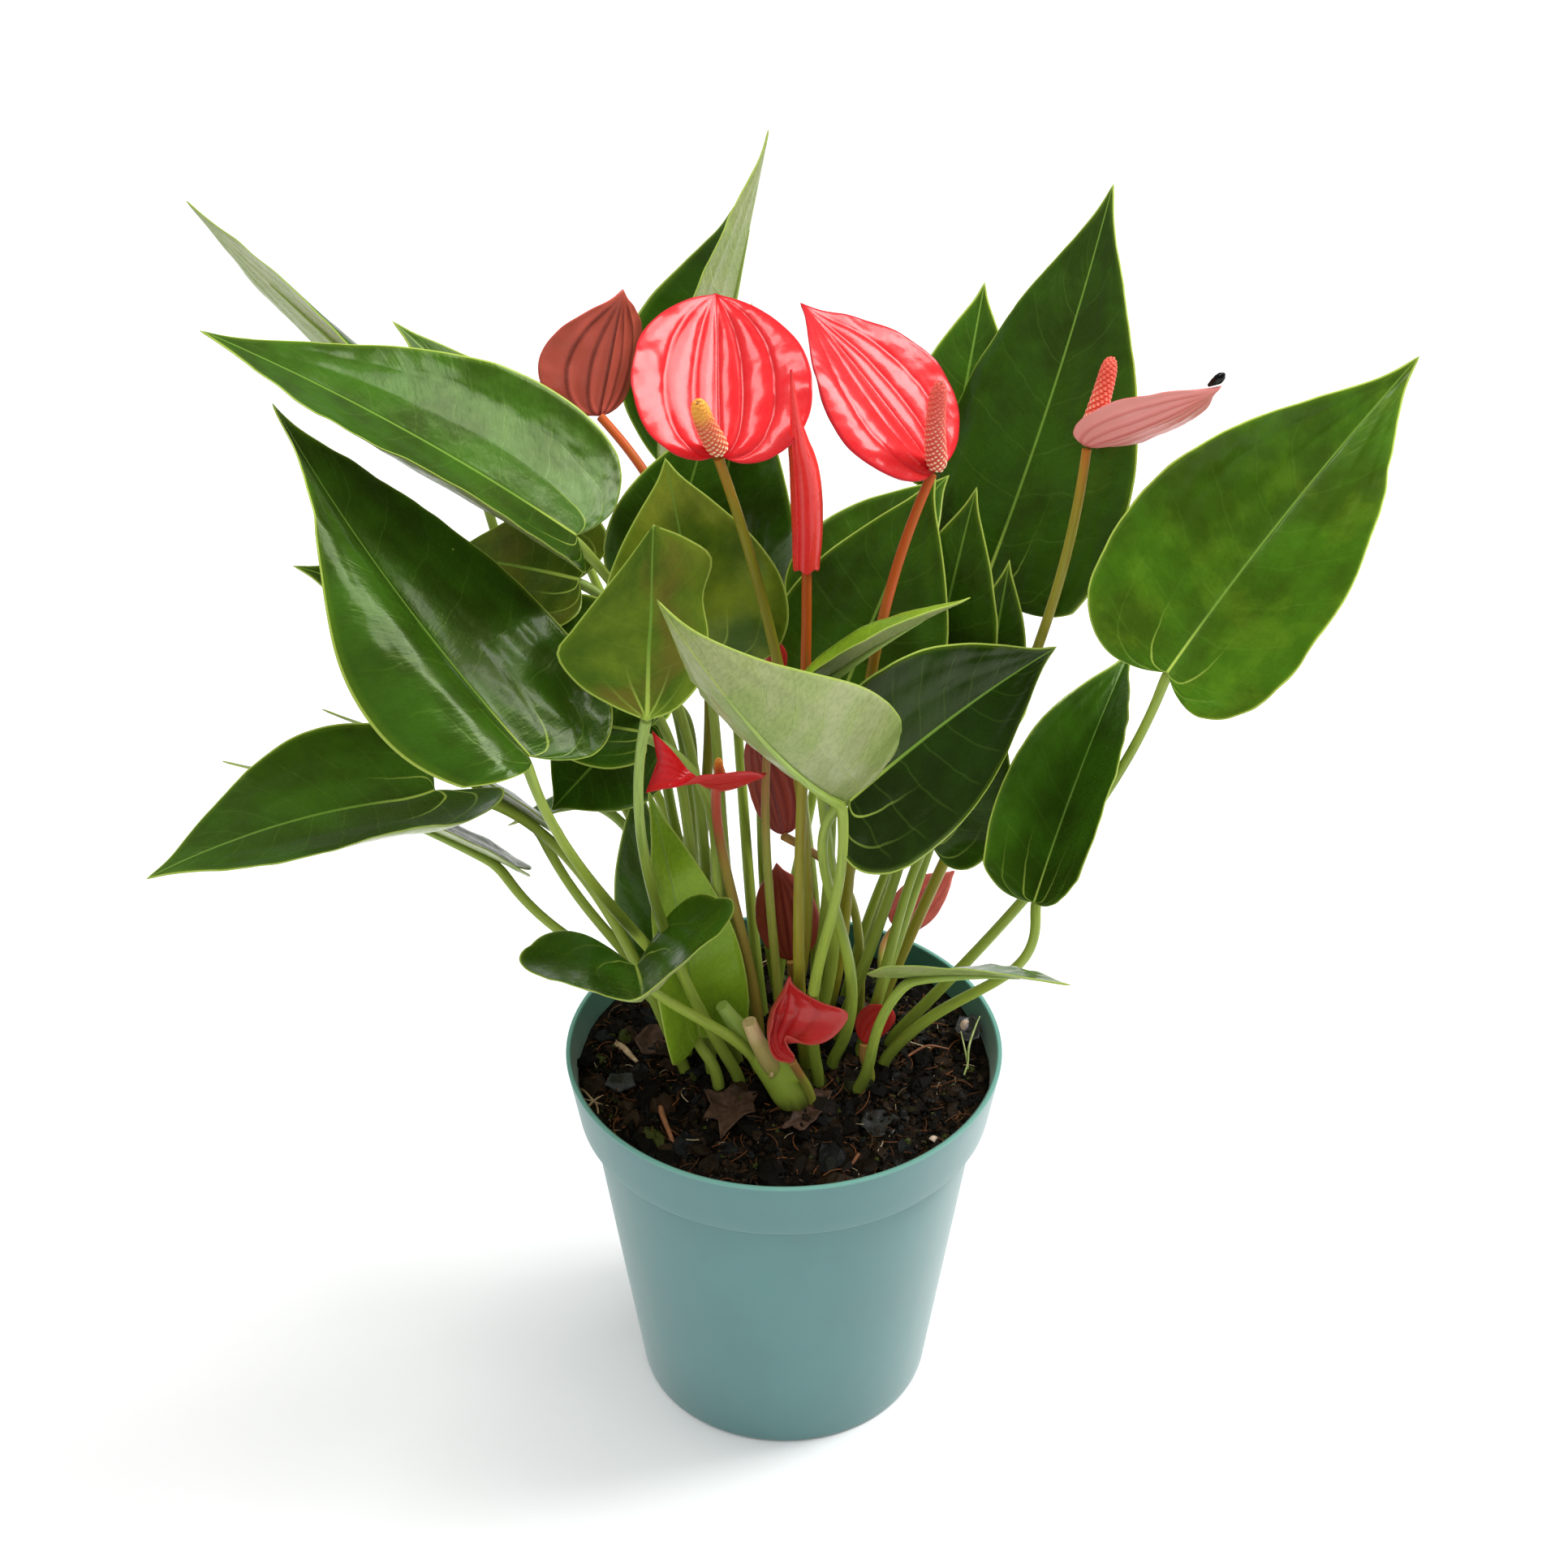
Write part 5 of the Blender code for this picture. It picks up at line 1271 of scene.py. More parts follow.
def litter_tree():
    """Crumbs, lumps and bent fibres strewn over a surface."""
    group, tree, given, out = new_group("strewn litter", "GeometryNodeTree", [
        ("Geometry", SHAPE, None), ("Crumbs", NUMBER, 230000.0), ("Lumps", NUMBER, 40000.0),
        ("Clods", NUMBER, 14000.0), ("Fibres", NUMBER, 40000.0), ("Crumb Radius", NUMBER, 0.0006),
        ("Lump Radius", NUMBER, 0.0015), ("Fibre Length", NUMBER, 0.007),
        ("Fibre Radius", NUMBER, 0.00014), ("Seed", "NodeSocketInt", 5),
        ("Material", "NodeSocketMaterial", None)], [("Geometry", SHAPE)])
    here = tree.add("GeometryNodeInputPosition").outputs[0]

    def strewn(density, add, instance, radius, tall, kind, low, high):
        seed = tree.add("ShaderNodeMath", {0: given["Seed"], 1: float(add)},
                        operation="ADD").outputs[0]
        spread = tree.add("GeometryNodeDistributePointsOnFaces",
                          {"Mesh": given["Geometry"], "Density": density, "Seed": seed})
        drawn = tree.add("FunctionNodeRandomValue", {"Seed": seed}, data_type="FLOAT").outputs[1]
        dots = write(tree, spread.outputs[0], "litter_tint", tree.join(drawn, kind, 0.0))
        turn = tree.add("FunctionNodeRandomValue", {
            0: (-tall, -tall, -math.pi), 1: (tall, tall, math.pi), "Seed": tree.math(
                "ADD", seed, 7.0)}, data_type="FLOAT_VECTOR").outputs[0]
        turn = tree.add("FunctionNodeEulerToRotation", {0: turn}).outputs[0]
        size = tree.add("FunctionNodeRandomValue", {
            2: low, 3: high, "Seed": tree.math("ADD", seed, 11.0)}, data_type="FLOAT").outputs[1]
        return tree.add("GeometryNodeInstanceOnPoints", {
            "Points": dots, "Instance": instance, "Rotation": turn,
            "Scale": tree.math("MULTIPLY", size, radius)}).outputs[0]

    def lump(seed, rough, levels, shape=(1.0, 1.0, 1.0)):
        ball = tree.add("GeometryNodeMeshIcoSphere", {"Radius": 1.0,
                                                      "Subdivisions": levels}).outputs[0]
        ball = tree.add("GeometryNodeTransform", {"Geometry": ball, "Scale": shape}).outputs[0]
        shift = tree.add("FunctionNodeRandomValue", {0: (-rough,) * 3, 1: (rough,) * 3,
                                                     "Seed": seed}, data_type="FLOAT_VECTOR")
        return tree.add("GeometryNodeSetPosition", {"Geometry": ball,
                                                    "Offset": shift.outputs[0]}).outputs[0]

    bend = tree.add("GeometryNodeCurveQuadraticBezier", {
        "Resolution": 5, "Start": (-0.5, 0.0, 0.0), "Middle": (0.1, 0.42, 0.16),
        "End": (0.5, 0.0, 0.03)}).outputs[0]
    thin = tree.add("GeometryNodeCurvePrimitiveCircle", {
        "Resolution": 4, "Radius": tree.math("DIVIDE", given["Fibre Radius"],
                                             given["Fibre Length"])}).outputs[0]
    fibre = tree.add("GeometryNodeCurveToMesh", {"Curve": bend, "Profile Curve": thin,
                                                 "Fill Caps": True}).outputs[0]
    both = tree.add("GeometryNodeJoinGeometry")
    tree.feed(both.inputs[0], strewn(given["Crumbs"], 0, lump(1, 0.35, 1),
                                     given["Crumb Radius"], math.pi, 0.0, 0.5, 1.5))
    tree.feed(both.inputs[0], strewn(given["Crumbs"], 31, lump(2, 0.45, 1),
                                     given["Crumb Radius"], math.pi, 0.0, 0.6, 1.8))
    tree.feed(both.inputs[0], strewn(given["Lumps"], 57, lump(3, 0.22, 2, (1.2, 0.8, 0.6)),
                                     given["Lump Radius"], 0.8, 0.0, 0.5, 1.4))
    tree.feed(both.inputs[0], strewn(given["Clods"], 71, lump(4, 0.20, 2, (1.3, 0.9, 0.42)),
                                     given["Lump Radius"], 0.5, 0.0, 1.6, 3.4))
    tree.feed(both.inputs[0], strewn(given["Fibres"], 97, fibre, given["Fibre Length"], 0.9,
                                     1.0, 0.2, 0.8))
    tree.feed(both.inputs[0], strewn(given["Fibres"], 83, fibre, given["Fibre Length"], 0.35,
                                     1.0, 0.3, 1.4))
    finished(tree, both.outputs[0], given, out, smooth=False)
    return group


def grown(name, mesh, group, values):
    """The plain mesh that a geometry tree makes from a mesh."""
    source = bpy.data.objects.new(name, mesh)
    bpy.context.scene.collection.objects.link(source)
    modifier = source.modifiers.new("shape", "NODES")
    modifier.node_group = group
    for item in group.interface.items_tree:
        if item.item_type == "SOCKET" and item.in_out == "INPUT" and item.name in values:
            modifier[item.identifier] = values[item.name]
    bpy.context.view_layer.update()
    graph = bpy.context.evaluated_depsgraph_get()
    made = bpy.data.meshes.new_from_object(source.evaluated_get(graph),
                                           preserve_all_data_layers=True, depsgraph=graph)
    if not made.polygons:
        raise RuntimeError("no faces were made for " + name)
    source.modifiers.remove(modifier)
    bpy.data.objects.remove(source)
    bpy.data.meshes.remove(mesh)
    return made


def even(points, values, pitch):
    """A line resampled at an even pitch, with the values carried along it."""
    steps = np.linalg.norm(np.diff(points, axis=0), axis=1)
    run = np.concatenate([[0.0], np.cumsum(steps)])
    place = np.linspace(0, run[-1], max(8, int(run[-1] / pitch)) + 1)
    line = np.stack([np.interp(place, run, points[:, axis]) for axis in range(3)], axis=1)
    return line, np.interp(place, run, values), place


def softened(line, passes):
    """The line with its corners eased and its ends kept."""
    line = line.copy()
    for _ in range(passes):
        line[1:-1] = (line[:-2] + 2 * line[1:-1] + line[2:]) / 4
    return line


def line_mesh(name, points, girths, seed):
    """Points joined in a row, with their girths in metres and their places along the row."""
    mesh = bpy.data.meshes.new(name)
    edges = [(index, index + 1) for index in range(len(points) - 1)]
    mesh.from_pydata((points * MM).tolist(), edges, [])
    girth = mesh.attributes.new("girth", "FLOAT", "POINT")
    girth.data.foreach_set("value", (girths * MM).astype(np.float32))
    steps = np.linalg.norm(np.diff(points, axis=0), axis=1)
    run = np.concatenate([[0.0], np.cumsum(steps)])
    put(mesh, "run", [run / run[-1], run, np.full(len(points), seed * 7.3)])
    return mesh


def tube(name, points, radii, material, seed, pitch=1.6, sides=14, passes=4):
    """A round stem along the points, as a plain mesh."""
    line, girths, _ = even(np.array(points, float), np.array(radii, float), pitch)
    mesh = line_mesh(name, softened(line, passes), girths, seed)
    made = grown(name, mesh, kept("tube along a line", tube_tree),
                 {"Sides": sides, "Material": material})
    outward(made)
    return made


def joined(name, parts):
    """One object made of several plain meshes, with their materials kept."""
    pieces = []
    for index, mesh in enumerate(parts):
        piece = bpy.data.objects.new(name if index == 0 else f"{name}_{index}", mesh)
        bpy.context.scene.collection.objects.link(piece)
        pieces.append(piece)
    if len(pieces) > 1:
        with bpy.context.temp_override(active_object=pieces[0], object=pieces[0],
                                       selected_objects=pieces,
                                       selected_editable_objects=pieces):
            bpy.ops.object.join()
    pieces[0].data.name = name
    return pieces[0]


def settle(piece, nodes=(), smooth=True):
    """Fixes a finished piece to the body, in place of the nodes that it stands for."""
    for polygon in piece.data.polygons:
        polygon.use_smooth = smooth
    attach(piece, BODY)
    if nodes:
        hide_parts(*nodes)


# Looks of single leaves and blooms


# Tone, yellowing, youth and brown patches of each leaf; leaves not named here are plain.
# The tone is partly the leaf's own green and partly painted light: higher on leaves that lie in
# shade, lower on leaves that catch sheen.
LEAF_LOOKS = {
    "leaf_upper_left": dict(tone_and_shade=1.05),
    "leaf_facing_left": dict(tone_and_shade=0.85),
    "leaf_low_left": dict(tone_and_shade=1.0, young=0.05),
    "leaf_back_tall": dict(tone_and_shade=0.9),
    "leaf_right_tall": dict(tone_and_shade=0.8),
    "leaf_right_far": dict(tone_and_shade=1.3, yellow=0.16, young=0.06),
    "leaf_front_right": dict(tone_and_shade=0.3),
    "leaf_right_hanging": dict(tone_and_shade=1.15),
    "leaf_middle_olive": dict(tone_and_shade=1.5, young=0.1, rust=0.4),
    "leaf_middle_behind": dict(tone_and_shade=2.0, rust=0.1),
    "leaf_left_olive": dict(tone_and_shade=0.9, young=0.1, rust=0.3),
    "leaf_young_erect": dict(tone_and_shade=1.6, young=0.9),
    "leaf_folded_yellow": dict(tone_and_shade=1.6, young=0.8, yellow=0.5),
    "leaf_low_right": dict(tone_and_shade=1.3),
}
HERO_LEAVES = ("leaf_upper_left", "leaf_facing_left", "leaf_low_left", "leaf_right_tall",
               "leaf_right_far", "leaf_front_right", "leaf_right_hanging",
               "leaf_front_underside", "leaf_back_tall")
LEAF_HUES = {"leaf_middle_olive": "leaf_olive", "leaf_left_olive": "leaf_olive",
             "leaf_folded_yellow": "leaf_olive", "leaf_young_erect": "leaf_olive"}

OLIVE_LEAVES = tuple(LEAF_HUES) + ("leaf_middle_behind",)

# Face, furrow, bloom, margin and back colour of each spathe.
RED = ((0.60, 0.009, 0.013), (0.42, 0.003, 0.006), (0.85, 0.16, 0.14), (0.55, 0.01, 0.015),
       (0.50, 0.03, 0.03))
SPATHE_HUES = {
    "bloom_round_red": RED,
    "bloom_heart_red": ((0.60, 0.012, 0.016), (0.42, 0.003, 0.007), (0.85, 0.18, 0.17),
                        (0.38, 0.008, 0.015), (0.50, 0.03, 0.03)),
    "bloom_slim_red": ((0.90, 0.035, 0.035), (0.74, 0.016, 0.020), (0.85, 0.14, 0.12),
                       (0.55, 0.01, 0.015), (0.60, 0.03, 0.03)),
    "bloom_right_pink": ((0.70, 0.10, 0.09), (0.62, 0.12, 0.10), (0.90, 0.45, 0.40),
                         (0.70, 0.12, 0.10), (0.82, 0.30, 0.27)),
    "bloom_back_maroon": ((0.50, 0.07, 0.045), (0.085, 0.010, 0.006), (0.62, 0.25, 0.20),
                          (0.60, 0.04, 0.03), (0.56, 0.100, 0.066)),
    "bloom_small_red": RED,
    "bud_front_red": ((0.50, 0.02, 0.02), (0.35, 0.01, 0.01), (0.70, 0.25, 0.18),
                      (0.45, 0.05, 0.04), (0.50, 0.05, 0.04)),
    "bud_front_right": RED,
    "bud_back_right": ((0.55, 0.10, 0.08), (0.40, 0.05, 0.04), (0.75, 0.35, 0.28),
                       (0.50, 0.12, 0.10), (0.60, 0.18, 0.14)),
    "bud_inner_tip": RED,
    "bud_middle_upper": ((0.32, 0.03, 0.02), (0.16, 0.01, 0.008), (0.50, 0.12, 0.08),
                         (0.30, 0.03, 0.02), (0.34, 0.05, 0.035)),
    "bud_middle_lower": ((0.34, 0.03, 0.02), (0.18, 0.01, 0.008), (0.50, 0.14, 0.10),
                         (0.30, 0.03, 0.02), (0.36, 0.06, 0.04)),
}
SPADIX_HUES = {
    "bloom_round_red": ((0.70, 0.07, 0.05), (0.72, 0.13, 0.06), (0.85, 0.36, 0.04)),
    "bloom_heart_red": ((0.74, 0.11, 0.08), (0.76, 0.12, 0.09), (0.78, 0.10, 0.07)),
    "bloom_slim_red": ((0.60, 0.20, 0.06), (0.60, 0.20, 0.06), (0.65, 0.20, 0.05)),
    "bloom_right_pink": ((0.80, 0.25, 0.18), (0.78, 0.16, 0.10), (0.72, 0.10, 0.06)),
    "bloom_back_maroon": ((0.45, 0.20, 0.08), (0.50, 0.22, 0.07), (0.55, 0.25, 0.06)),
    "bloom_small_red": ((0.60, 0.18, 0.06), (0.65, 0.22, 0.06), (0.75, 0.30, 0.04)),
}
SPADIX_SHAPE = (
    (0.0, 0.85), (0.06, 1.05), (0.16, 1.10), (0.3, 1.08), (0.45, 1.02),
    (0.6, 0.96), (0.74, 0.90), (0.86, 0.83), (0.95, 0.65), (1.0, 0.35),
)
SPADIX_BEND = 0.03


# Blooms whose spathes are drawn through their margins: left, middle and right.
FLAG_RAILS = (
    ((-4.4, -31.0, 222.6), (-8.5, -33.0, 224.6), (-14.7, -34.0, 224.6), (-19.3, -34.0, 223.8),
     (-21.7, -33.0, 222.2), (-24.8, -32.0, 219.9), (-29.2, -31.0, 218.3), (-34.7, -30.0, 216.2)),
    ((-4.4, -31.0, 222.6), (-8.4, -31.0, 221.6), (-14.6, -30.0, 219.5), (-18.5, -29.0, 218.4),
     (-21.7, -29.0, 219.4), (-24.7, -28.0, 220.1), (-27.6, -28.0, 222.5), (-31.0, -28.0, 224.4)),
    ((-4.4, -31.0, 222.6), (-8.6, -28.0, 217.7), (-15.0, -25.0, 213.3), (-18.0, -24.0, 213.2),
     (-20.5, -24.0, 214.4), (-23.8, -25.0, 219.4), (-27.4, -26.0, 225.5), (-32.8, -27.0, 233.0)),
)
CURLED_RAILS = (
    ((1.9, -27.0, 127.9), (-1.9, -26.0, 128.5), (-3.5, -25.0, 131.5), (-3.9, -24.0, 134.8),
     (-3.4, -24.0, 138.7), (-2.6, -23.0, 141.7), (-1.5, -22.0, 143.9), (0.0, -21.0, 146.1),
     (1.1, -20.0, 148.6), (1.5, -20.0, 151.5)),
    ((2.6, -27.0, 128.7), (-0.9, -24.0, 129.9), (-1.9, -22.0, 132.7), (-1.3, -20.0, 134.9),
     (-0.4, -19.0, 137.5), (0.2, -19.0, 140.2), (0.6, -19.0, 142.6), (1.1, -19.0, 145.4),
     (1.3, -19.5, 148.5), (1.5, -20.0, 151.5)),
    ((3.2, -27.0, 129.3), (0.6, -26.0, 134.0), (0.9, -25.0, 135.6), (6.7, -27.0, 134.2),
     (11.6, -28.0, 136.7), (15.6, -28.0, 141.8), (16.0, -27.0, 145.4), (8.5, -24.0, 146.8),
     (2.1, -21.0, 149.3), (1.5, -20.0, 151.5)),
)
OLIVE_RAILS = (
    ((-32.7, -41.0, 244.2), (-41.3, -41.0, 248.7), (-48.9, -39.0, 253.1), (-53.8, -36.0, 259.6),
     (-50.0, -33.0, 264.6), (-43.8, -29.0, 271.3), (-36.9, -24.0, 278.4), (-30.9, -20.0, 285.6)),
    ((-32.7, -41.0, 244.2), (-32.5, -39.5, 247.6), (-32.3, -37.0, 253.7), (-32.1, -34.0, 259.7),
     (-31.6, -31.0, 265.8), (-31.4, -27.5, 271.8), (-31.2, -24.0, 279.0), (-30.9, -20.0, 285.6)),
    ((-32.7, -41.0, 244.2), (-25.3, -40.0, 247.2), (-18.9, -37.0, 254.9), (-18.1, -32.0, 263.1),
     (-19.3, -27.0, 270.2), (-17.1, -23.5, 278.6), (-23.3, -21.0, 282.7), (-30.9, -20.0, 285.6)),
)
# Middle and radius of the spathe that is rolled round its spadix, from its mouth to its point.
ROLL = (
    ((5.4, -20.0, 274.2), 3.3), ((5.4, -20.0, 276.6), 3.6), ((5.6, -20.0, 282.8), 3.8),
    ((5.5, -20.3, 289.0), 3.9), ((5.3, -21.0, 294.5), 3.8), ((4.9, -22.5, 300.2), 3.5),
    ((4.3, -24.5, 305.2), 3.0), ((3.5, -27.0, 310.1), 2.3), ((3.0, -29.5, 315.1), 1.45),
    ((2.5, -32.0, 320.4), 0.95), ((2.0, -34.0, 326.5), 0.65), ((1.6, -36.0, 333.0), 0.3),
)


# Settings


def length_of(label, note, default, low=0.0, high=1000.0):
    return FloatProperty(name=label, description=note, default=default * MM, min=low * MM,
                         max=high * MM, subtype="DISTANCE", unit="LENGTH")


def hue_of(label, note, default):
    return FloatVectorProperty(name=label, description=note, default=default, min=0.0,
                               max=1.0, size=3, subtype="COLOR")


class AnthuriumSizes(bpy.types.PropertyGroup):
    """Sizes that can be changed before the pieces are made."""
    leaf_pitch: length_of("Leaf Mesh Pitch", "Distance between points of a front leaf", 1.25, 0.4)
    hidden_pitch: length_of("Inner Leaf Pitch", "Distance between points of an inner leaf", 1.8, 0.4)
    spathe_pitch: length_of("Spathe Pitch", "Distance between points of a spathe", 0.65, 0.3)
    leaf_thickness: length_of("Leaf Thickness", "Thickness of a leaf in its middle", 0.55, 0.1, 2)
    spathe_thickness: length_of("Spathe Thickness", "Thickness of a spathe", 0.7, 0.1, 2)
    leaf_ripple: length_of("Leaf Ripple", "Height of the crinkles of a leaf", 0.20, 0.0, 3)
    spathe_puff: length_of("Spathe Puff", "Swelling between the ribs of a spathe", 0.55, 0.0, 3)
    stem_base: length_of("Stem Base Radius", "Radius of a stalk at the peat", STEM_BASE_RADIUS)
    stem_top: length_of("Stem Top Radius", "Radius of a stalk under its blade", STEM_TOP_RADIUS)
    floret: length_of("Floret Radius", "Radius of one floret on a spadix", 0.74, 0.1, 2)
    crumb: length_of("Crumb Radius", "Radius of a loose crumb of peat", 0.55, 0.1, 5)
    lump: length_of("Lump Radius", "Radius of a loose lump of peat", 1.3, 0.1, 8)
    fibre: length_of("Fibre Length", "Length of a loose fibre", 7.0, 1.0, 40)
    peat_relief: length_of("Peat Relief", "Height of the unevenness of the peat", 1.6, 0.0, 5)
    pot_sides: IntProperty(name="Pot Sides", description="Sides of the turned pot", default=144,
                           min=24, max=400)


class AnthuriumHues(bpy.types.PropertyGroup):
    """Colours that can be changed before the pieces are made."""
    leaf: hue_of("Leaf", "Upper side of a leaf", (0.034, 0.100, 0.005))
    leaf_olive: hue_of("Olive Leaf", "Upper side of an olive leaf", (0.105, 0.140, 0.010))
    leaf_deep: hue_of("Leaf Depth", "Darker parts of a leaf", (0.021, 0.047, 0.003))
    leaf_vein: hue_of("Leaf Vein", "Veins of a leaf", (0.15, 0.27, 0.035))
    leaf_margin: hue_of("Leaf Margin", "Thin edge of a leaf", (0.34, 0.44, 0.07))
    leaf_under: hue_of("Leaf Underside", "Lower side of a leaf", (0.31, 0.34, 0.15))
    leaf_young: hue_of("Young Leaf", "Young or paler parts of a leaf", (0.16, 0.27, 0.014))
    stalk_foot: hue_of("Stalk Foot", "Stalk at the peat", (0.19, 0.25, 0.030))
    stalk: hue_of("Stalk", "Middle of a stalk", (0.27, 0.36, 0.045))
    stalk_top: hue_of("Stalk Top", "Stalk under its blade", (0.30, 0.42, 0.09))
    stalk_streak: hue_of("Stalk Streak", "Fine streaks of a stalk", (0.12, 0.19, 0.03))
    knob: hue_of("Knob", "Thick green shoot at the front", (0.26, 0.36, 0.04))
    pot: hue_of("Pot", "Outside of the pot", (0.066, 0.192, 0.188))
    pot_pale: hue_of("Pot Haze", "Paler haze on the pot", (0.082, 0.220, 0.215))
    pot_deep: hue_of("Pot Depth", "Darker patches low on the pot", (0.062, 0.180, 0.174))
    # Painted highlight on the thin top edge of the rim
    pot_rim_highlight: hue_of("Pot Rim", "Thin top edge of the rim", (0.16, 0.40, 0.33))
    # Painted shade on the inner wall of the pot
    pot_inside_shade: hue_of("Pot Inside", "Inner wall of the pot", (0.025, 0.14, 0.09))
    pot_scuff: hue_of("Pot Scuff", "Scuffs on the collar", (0.42, 0.55, 0.52))
    peat: hue_of("Peat", "Peat", (0.0030, 0.0022, 0.0012))
    peat_brown: hue_of("Brown Peat", "Browner bits of the peat", (0.028, 0.015, 0.007))
    # Grey tint painted on wet peat and some crumbs as their sheen
    peat_sheen_grey: hue_of("Wet Peat Sheen", "Wet bits of the peat, painted grey for their sheen", (0.010, 0.011, 0.011))
    moss: hue_of("Moss", "Mossy tint on the peat", (0.045, 0.055, 0.010))
    fibre: hue_of("Fibre", "Orange-brown fibres", (0.24, 0.085, 0.028))
    fibre_pale: hue_of("Pale Fibre", "Pale fibres", (0.48, 0.38, 0.24))
    floor: hue_of("Floor", "Plain pale floor", (0.90, 0.90, 0.90))


# Operators


def filleted(corners, pieces=5):
    """A line of radius and height whose corners are rounded by each corner's radius."""
    points = []
    for index, (radius, height, rounding) in enumerate(corners):
        spot = np.array((radius, height))
        if not rounding:
            points.append(spot)
            continue
        before = np.array(corners[index - 1][:2]) - spot
        after = np.array(corners[index + 1][:2]) - spot
        first = spot + before * rounding / np.linalg.norm(before)
        last = spot + after * rounding / np.linalg.norm(after)
        for share in np.linspace(0, 1, pieces + 1):
            points.append(first * (1 - share) ** 2 + 2 * spot * share * (1 - share)
                          + last * share ** 2)
    return np.array(points)


def wall_radius(height):
    """Outer radius of the pot's body under its collar."""
    share = height / (POT_HEIGHT - COLLAR_DEPTH)
    return BASE_RADIUS + (SHOULDER_RADIUS - BASE_RADIUS) * share


class MakePot(bpy.types.Operator):
    """Turns the pot from its outline and bores the drain holes"""
    bl_idname = "anthurium.make_pot"
    bl_label = "Make Pot"

    def execute(self, context):
        sizes, hues = context.scene.anthurium_sizes, context.scene.anthurium_hues
        shoulder = POT_HEIGHT - COLLAR_DEPTH
        corners = [
            (0.0, 0.0, 0), (BASE_RADIUS, 0.0, 1.5), (SHOULDER_RADIUS, shoulder, 0.6),
            (COLLAR_RADIUS, shoulder, 0.6), (RIM_RADIUS, POT_HEIGHT, 0.5),
            (RIM_RADIUS - WALL, POT_HEIGHT, 0.5),
            (COLLAR_RADIUS - WALL, shoulder + WALL, 0.8),
            (SHOULDER_RADIUS - WALL, shoulder - 0.5, 0.8),
            (wall_radius(FLOOR_THICKNESS) - WALL, FLOOR_THICKNESS, 1.0),
            (0.0, FLOOR_THICKNESS, 0),
        ]
        line = filleted(corners)
        dense = [line[:1]]
        for first, last in zip(line, line[1:]):
            steps = max(1, int(np.linalg.norm(last - first) / POT_PITCH))
            dense.append(first + (last - first) * np.linspace(0, 1, steps + 1)[1:, None])
        line = np.vstack(dense)
        mesh = bpy.data.meshes.new("pot outline")
        spots = [(radius * MM, 0.0, height * MM) for radius, height in line]
        mesh.from_pydata(spots, [(i, i + 1) for i in range(len(spots) - 1)], [])
        made = grown("pot", mesh, kept("turned pot", pot_tree), {
            "Sides": sizes.pot_sides, "Drain Holes": DRAIN_COUNT,
            "Drain Radius": DRAIN_RADIUS * MM, "Drain Circle": DRAIN_CIRCLE * MM,
            "Floor": FLOOR_THICKNESS * MM, "Material": pot_material(hues)})
        outward(made)
        settle(joined("fine_pot", [made]), ["pot"])
        return {"FINISHED"}


# Longest side of the pot's drawn outline
POT_PITCH = 4.0
# Size of the peat's unevenness in millimetres, how many clods fit in it, how far it lies under
# the smooth surface and how far from the wall it is lower
PEAT_WAVE = 9.0
CLODS = 1.7
PEAT_SINK = 0.4
WALL_EASE = 3.0
# Rings of the plug under the uneven surface, and its room to the wall
PLUG_EDGE = (55.4, 97.0)
PLUG_TOP = 90.0
PLUG_FOOT = 3.0
PLUG_ROOM = 0.5
LITTER_RINGS = 60
LITTER_SECTORS = 180
LITTER_REACH = 0.975


def peat_height(x, y, relief):
    """Height of the uneven peat in millimetres."""
    place = Vector((x / PEAT_WAVE, y / PEAT_WAVE, 4.7))
    rough = noise.fractal(place, 0.9, 2.1, 5) + 0.5 * abs(noise.noise(place * 4.3))
    near, far = noise.voronoi(place * CLODS)[0][:2]
    rough += 0.8 * min(1.0, 2.5 * (far - near)) - 0.4
    near_wall = min(1.0, max(0.0, (SOIL_EDGE - math.hypot(x, y)) / WALL_EASE))
    return ground(x, y) - PEAT_SINK + relief * rough * (0.35 + 0.65 * near_wall)


def peat_bed(relief, rings=114, sectors=330):
    """Points and faces of the uneven peat and of the plug that it tops."""
    radii = SOIL_EDGE * np.linspace(0, 1, rings + 1)[1:] ** 0.85
    points = [(0.0, 0.0, peat_height(0.0, 0.0, relief))]
    turns = np.linspace(0, 2 * math.pi, sectors, endpoint=False)
    for radius in radii:
        points += [(radius * math.cos(a), radius * math.sin(a),
                    peat_height(radius * math.cos(a), radius * math.sin(a), relief))
                   for a in turns]
    plug = [(wall_radius(height) - WALL - PLUG_ROOM, height) for height in (PLUG_TOP, PLUG_FOOT)]
    for radius, height in [PLUG_EDGE] + plug:
        points += [(radius * math.cos(a), radius * math.sin(a), height) for a in turns]
    points.append((0.0, 0.0, PLUG_FOOT))
    faces = []
    for row in range(rings + 3):
        start = 1 + (row - 1) * sectors
        for sector in range(sectors):
            after = (sector + 1) % sectors
            if row == 0:
                faces.append((0, 1 + sector, 1 + after))
            else:
                faces.append((start + sector, start + sectors + sector,
                              start + sectors + after, start + after))
    last = 1 + (rings + 2) * sectors
    faces += [(last + (sector + 1) % sectors, last + sector, len(points) - 1)
              for sector in range(sectors)]
    return points, faces


class MakePeat(bpy.types.Operator):
    """Fills the pot with uneven peat"""
    bl_idname = "anthurium.make_peat"
    bl_label = "Make Peat"

    def execute(self, context):
        sizes, hues = context.scene.anthurium_sizes, context.scene.anthurium_hues
        points, faces = peat_bed(sizes.peat_relief / MM)
        mesh = bpy.data.meshes.new("peat")
        mesh.from_pydata([(x * MM, y * MM, z * MM) for x, y, z in points], [], faces)
        mesh.materials.append(peat_material(hues))
        outward(mesh)
        settle(joined("fine_soil", [mesh]), ["soil"])
        return {"FINISHED"}


